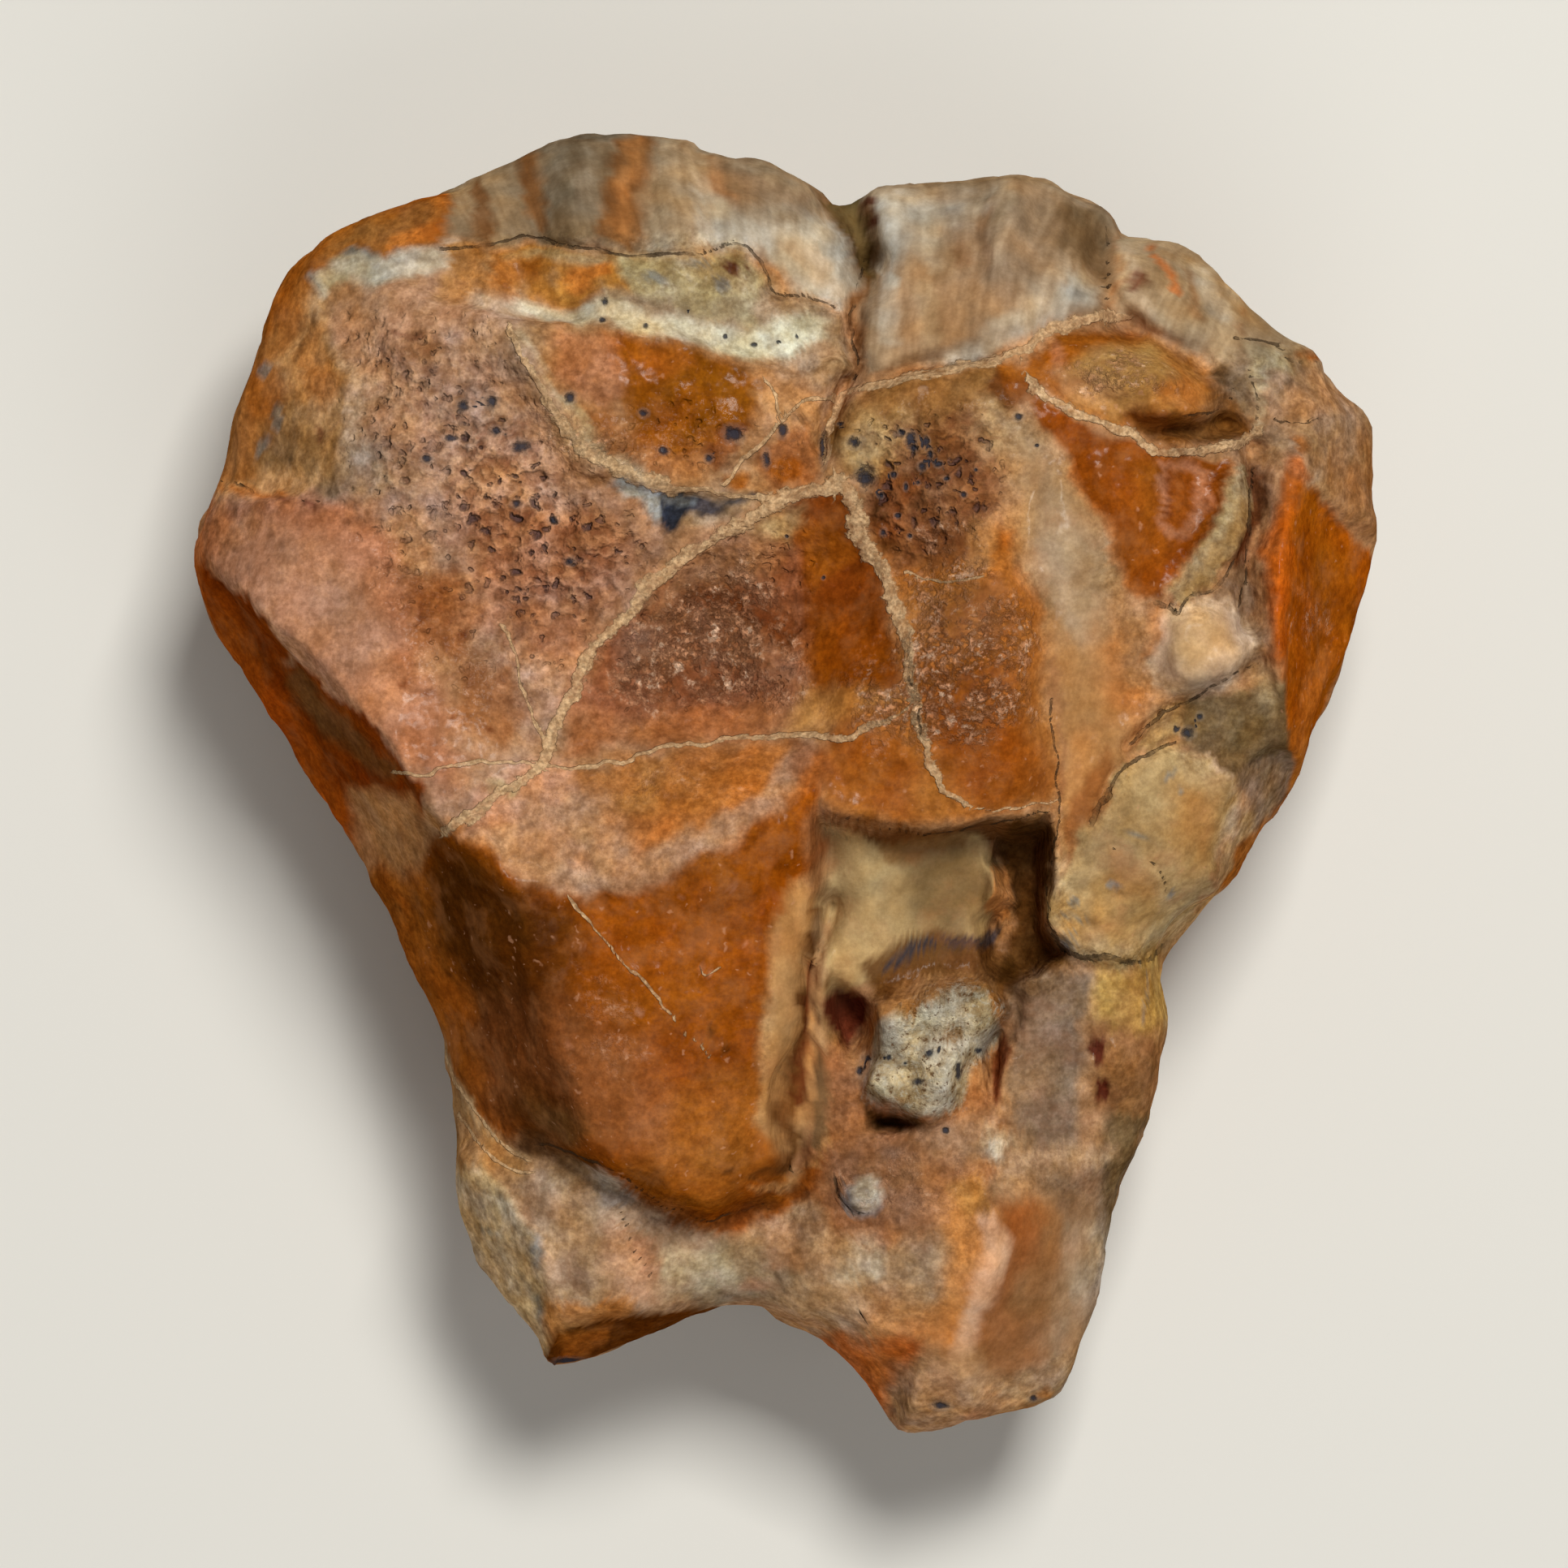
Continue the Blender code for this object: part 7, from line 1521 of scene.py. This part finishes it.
def line_share(nodes, name, ragged):
    """1 on the lines whose places across are stored under a name, with ragged edges."""
    across, apart, front = nodes.attribute(name)
    place = nodes.plus(nodes.math("ABSOLUTE", across), ragged)
    side = nodes.steps(place, 0.8, 1.2, 1.0, 0.0)
    near = nodes.steps(apart, 1.3, 2.6, 1.0, 0.0)
    return nodes.times(nodes.times(side, near), front)


# Scattered pores, and flecks that are painted glints: how many to a metre, the least of their numbers that
# shows, and strength.
PORE_LAYERS = ((1850.0, 0.3, 0.85), (2900.0, 0.35, 0.75))
GLINT_FLECK_LAYERS = ((1900.0, 0.65, 0.4), (3300.0, 0.6, 0.4))


def stone_material():
    """Fossil enamel, bone and matrix: stained, pored, veined and in part polished."""
    material = bpy.data.materials.new("fossil_enamel")
    material.use_nodes = True
    nodes = Nodes(material)
    shader = material.node_tree.nodes["Principled BSDF"]
    place = nodes.add("ShaderNodeTexCoord").outputs["Object"]
    polish, pores, flutes = nodes.attribute("skin")
    crumbs, crust, fan = nodes.attribute("matter")
    stain = nodes.add("ShaderNodeAttribute", attribute_name="stain").outputs["Color"]
    shine, calm, _ = nodes.attribute("finish")
    grainy = nodes.math("SUBTRACT", 1.0, calm)

    # noises of several sizes
    cloud = nodes.noise(place, 1300.0, 6.0, 0.65)
    lumps = nodes.noise(place, 4300.0, 4.0, 0.62)
    fine = nodes.noise(place, 11000.0, 2.0, 0.6)
    bits = nodes.noise(nodes.shifted(place, 0.1), 5200.0, 5.0, 0.7)
    stains = nodes.noise(nodes.shifted(place, 0.2), 3600.0, 4.0, 0.62)
    veil = nodes.noise(nodes.shifted(place, 0.3), 900.0, 5.0, 0.6)

    # clouds of lighter, darker and warmer stone
    colour = nodes.tint(stain, nodes.steps(cloud, 0.32, 0.68), nodes.plus(0.2, grainy), (0.8, 0.75, 0.68),
                        (1.2, 1.25, 1.32))
    colour = nodes.tint(colour, nodes.steps(lumps, 0.34, 0.66), nodes.plus(0.1, grainy), (0.78, 0.74, 0.7),
                        (1.22, 1.25, 1.28))
    colour = nodes.tint(colour, nodes.steps(veil, 0.34, 0.66), grainy, (1.02, 0.98, 0.84), (0.97, 1.03, 1.2))
    colour = nodes.tint(colour, nodes.steps(fine, 0.3, 0.7), nodes.plus(0.25, grainy), (0.87, 0.87, 0.87),
                        (1.13, 1.13, 1.13))

    # upright streaks of the crest
    _, up, _ = nodes.add("ShaderNodeSeparateXYZ", (place,)).outputs
    fanned = nodes.add("ShaderNodeCombineXYZ", (fan, nodes.times(up, 220.0), 0.0)).outputs[0]
    streaks = nodes.noise(fanned, 1.5, 2.0, 0.55)
    fine_streaks = nodes.noise(fanned, 6.0, 1.0, 0.5)
    colour = nodes.tint(colour, nodes.steps(streaks, 0.32, 0.68), flutes, (0.86, 0.82, 0.78),
                        (1.12, 1.15, 1.2))
    colour = nodes.tint(colour, nodes.steps(fine_streaks, 0.3, 0.7), flutes, (0.92, 0.91, 0.9),
                        (1.07, 1.08, 1.09))

    # haze on the polished parts, and pores
    haze = nodes.times(nodes.steps(veil, 0.48, 0.7, 0.0, 0.3), polish)
    colour = nodes.blend(haze, colour, tone("haze"))
    pits = nodes.noise(nodes.shifted(place, 0.4), 3000.0, 2.0, 0.5)
    colour = nodes.laid(colour, nodes.steps(stains, 0.5, 0.68, 0.0, 0.35), pores, tone("pore red"))
    colour = nodes.tint(colour, nodes.steps(pits, 0.36, 0.64), pores, (0.7, 0.6, 0.54), (1.22, 1.26, 1.32))
    warp = nodes.add("ShaderNodeTexNoise")
    nodes.link(place, warp.inputs["Vector"])
    warp.inputs["Scale"].default_value = 3500.0
    bent = nodes.add("ShaderNodeVectorMath", (warp.outputs["Color"], (0.0005, 0.0005, 0.0005), place),
                     operation="MULTIPLY_ADD").outputs[0]
    hole = 0.0
    for scale, least, share in PORE_LAYERS:
        apart, number = nodes.spots(nodes.shifted(bent, share), scale)
        found = nodes.times(nodes.steps(apart, 0.1, 0.34, share, 0.0),
                            nodes.steps(number, least, least + 0.1))
        hole = nodes.math("MAXIMUM", found, hole)
    colour = nodes.laid(colour, hole, nodes.steps(pores, 0.35, 0.95), tone("pit dark"))

    # crust, partly pink in its own colour and partly painted highlights: pale painted glints on it, and
    # painted glint flecks on the polished parts
    patchy = nodes.plus(cloud, nodes.times(crust, 0.22))
    patchy = nodes.times(nodes.steps(patchy, 0.54, 0.7), crust)
    colour = nodes.laid(colour, nodes.steps(stains, 0.4, 0.6, 0.5, 0.0), nodes.steps(crust, 0.4, 1.0),
                        tone("crust brown"))
    # pink patches of the crust, partly painted glints
    pinkish = nodes.times(nodes.steps(bits, 0.44, 0.58), nodes.steps(pits, 0.4, 0.6, 0.25, 0.95))
    colour = nodes.laid(colour, pinkish, patchy, tone("crust pink and painted glint"))
    # painted highlight: pale glints laid on the crust as colour
    glint = nodes.times(nodes.steps(pits, 0.5, 0.62), nodes.steps(lumps, 0.52, 0.62))
    colour = nodes.laid(colour, glint, patchy, tone("painted glint white"))
    for scale, least, share in GLINT_FLECK_LAYERS:
        apart, number = nodes.spots(nodes.shifted(bent, share), scale)
        glint_fleck = nodes.times(nodes.steps(apart, 0.06, 0.2, share, 0.0),
                            nodes.steps(number, least, least + 0.02))
        colour = nodes.laid(colour, glint_fleck, nodes.steps(polish, 0.75, 0.95), tone("crust pink and painted glint"))

    # crumbs of the matrix
    colour = nodes.laid(colour, nodes.steps(bits, 0.5, 0.62, 0.0, 0.5), crumbs, tone("crumb white"))
    colour = nodes.laid(colour, nodes.steps(bits, 0.36, 0.44, 0.8, 0.0), crumbs, tone("dark brown"))

    # blue-black dots with a grey halo
    across, along, far = nodes.attribute("dots")
    squares = nodes.plus(nodes.times(across, across), nodes.times(along, along))
    reach = nodes.math("SQRT", squares)
    reach = nodes.plus(reach, nodes.times(nodes.math("SUBTRACT", bits, 0.5), 1.8))
    reach = nodes.plus(reach, nodes.steps(far, 1.6, 2.6, 0.0, 6.0))
    colour = nodes.blend(nodes.steps(reach, 0.7, 1.9, 0.25, 0.0), colour, tone("blue grey"))
    dot = nodes.steps(reach, 0.35, 1.05, 0.9, 0.0)
    colour = nodes.blend(dot, colour, tone("blue black"))

    # veins and cracks
    ragged = nodes.times(nodes.math("SUBTRACT", lumps, 0.5), 2.6)
    ragged = nodes.plus(ragged, nodes.times(nodes.math("SUBTRACT", cloud, 0.5), 2.4))
    vein = line_share(nodes, "veins", ragged)
    vein_tone = nodes.blend(nodes.steps(bits, 0.38, 0.62), tone("vein"), tone("vein light"))
    vein_tone = nodes.tint(vein_tone, nodes.steps(fine, 0.35, 0.65), 1.0, (0.75, 0.75, 0.75),
                           (1.2, 1.2, 1.2))
    colour = nodes.blend(nodes.times(vein, nodes.steps(stains, 0.4, 0.66, 0.95, 0.55)), colour, vein_tone)
    crack = line_share(nodes, "cracks", ragged)
    crack = nodes.times(crack, nodes.steps(cloud, 0.38, 0.55, 0.2, 0.8))
    colour = nodes.blend(crack, colour, tone("crack"))

    # shine
    nodes.link(colour, shader.inputs["Base Color"])
    shader.inputs["Roughness"].default_value = 0.7
    shader.inputs["Specular IOR Level"].default_value = 0.0
    shine = nodes.times(shine, nodes.steps(cloud, 0.35, 0.65, 0.06, 0.22))
    nodes.link(shine, shader.inputs["Coat Weight"])
    shader.inputs["Coat Roughness"].default_value = 0.22

    # the finest relief
    soft = nodes.noise(place, 2400.0, 1.0, 0.4)
    height = nodes.times(soft, nodes.plus(0.12, nodes.times(grainy, 0.35)))
    height = nodes.raised(height, lumps, nodes.plus(0.03, nodes.times(pores, 0.25)))
    pit_depth = nodes.plus(nodes.steps(pits, 0.3, 0.7), nodes.times(hole, -1.6))
    height = nodes.raised(height, pit_depth, nodes.times(pores, 0.4))
    height = nodes.raised(height, nodes.steps(bits, 0.4, 0.62), nodes.times(patchy, 0.3))
    height = nodes.raised(height, bits, nodes.times(crumbs, 0.5))
    height = nodes.raised(height, vein, 0.12)
    height = nodes.raised(height, nodes.times(streaks, flutes), 0.15)
    height = nodes.raised(height, nodes.math("MAXIMUM", crack, dot), -0.25)
    bump = nodes.add("ShaderNodeBump")
    bump.inputs["Strength"].default_value = 1.0
    bump.inputs["Distance"].default_value = 0.0003
    nodes.link(height, bump.inputs["Height"])
    nodes.link(bump.outputs[0], shader.inputs["Normal"])
    nodes.link(bump.outputs[0], shader.inputs["Coat Normal"])
    return material


def plain_material(name, colour, roughness):
    """A plain even material."""
    material = bpy.data.materials.new(name)
    material.use_nodes = True
    shader = material.node_tree.nodes["Principled BSDF"]
    shader.inputs["Base Color"].default_value = (*colour, 1.0)
    shader.inputs["Roughness"].default_value = roughness
    return material


# Floor, lights and camera, in metres.
FLOOR_HALF = 0.6
FACE_LEVEL = 0.008
CAMERA_PLACE = (-0.00004, 0.00001, FACE_LEVEL + 0.42933)
CAMERA_LENS = 400.0
SENSOR_WIDTH = 36.0
ROOM_TINT = (1.0, 0.99, 0.94)
ROOM_STRENGTH = 0.14


def make_floor():
    """A plain pale floor under the tooth."""
    mesh = bpy.data.meshes.new("floor")
    half = FLOOR_HALF
    corners = [(-half, -half, 0.0), (half, -half, 0.0), (half, half, 0.0), (-half, half, 0.0)]
    mesh.from_pydata(corners, [], [(0, 1, 2, 3)])
    floor = bpy.data.objects.new("floor", mesh)
    bpy.context.scene.collection.objects.link(floor)
    mesh.materials.append(plain_material("floor", (0.72, 0.71, 0.69), 0.9))


def add_light(name, place, target, width, power, colour):
    """A soft square light, aimed at a point."""
    data = bpy.data.lights.new(name, "AREA")
    data.shape = "SQUARE"
    data.size = width
    data.energy = power
    data.color = colour
    light = bpy.data.objects.new(name, data)
    light.location = place
    light.rotation_euler = (Vector(target) - Vector(place)).to_track_quat("-Z", "Y").to_euler()
    bpy.context.scene.collection.objects.link(light)


def make_lights():
    """A soft light from beyond the crest, a weaker one from the root's side and an even room."""
    middle = (0.0, 0.0, FACE_LEVEL)
    add_light("key", (0.07, 0.17, 0.42), middle, 0.12, 1.8, (1.0, 0.98, 0.91))
    add_light("fill", (0.12, -0.3, 0.34), middle, 0.4, 0.58, ROOM_TINT)
    world = bpy.data.worlds.new("room")
    world.use_nodes = True
    background = world.node_tree.nodes["Background"]
    background.inputs["Color"].default_value = (*ROOM_TINT, 1.0)
    background.inputs["Strength"].default_value = ROOM_STRENGTH
    bpy.context.scene.world = world


def make_camera():
    """A long lens looking straight down."""
    data = bpy.data.cameras.new("camera")
    data.lens = CAMERA_LENS
    data.sensor_width = SENSOR_WIDTH
    data.clip_start = 0.01
    data.clip_end = 10.0
    camera = bpy.data.objects.new("camera", data)
    camera.location = CAMERA_PLACE
    bpy.context.scene.collection.objects.link(camera)
    bpy.context.scene.camera = camera


VEIN_PATHS = [(first, last, smooth_path(points)) for first, last, points in VEINS]
CRACK_PATHS = [(0.7 * half, 0.5 * half, smooth_path(points)) for half, points in CRACKS]

tooth = make_tooth()
tooth.data.materials.append(stone_material())
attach(tooth, "root")
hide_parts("tooth")
make_floor()
make_lights()
make_camera()
bpy.context.scene.view_settings.view_transform = "Standard"
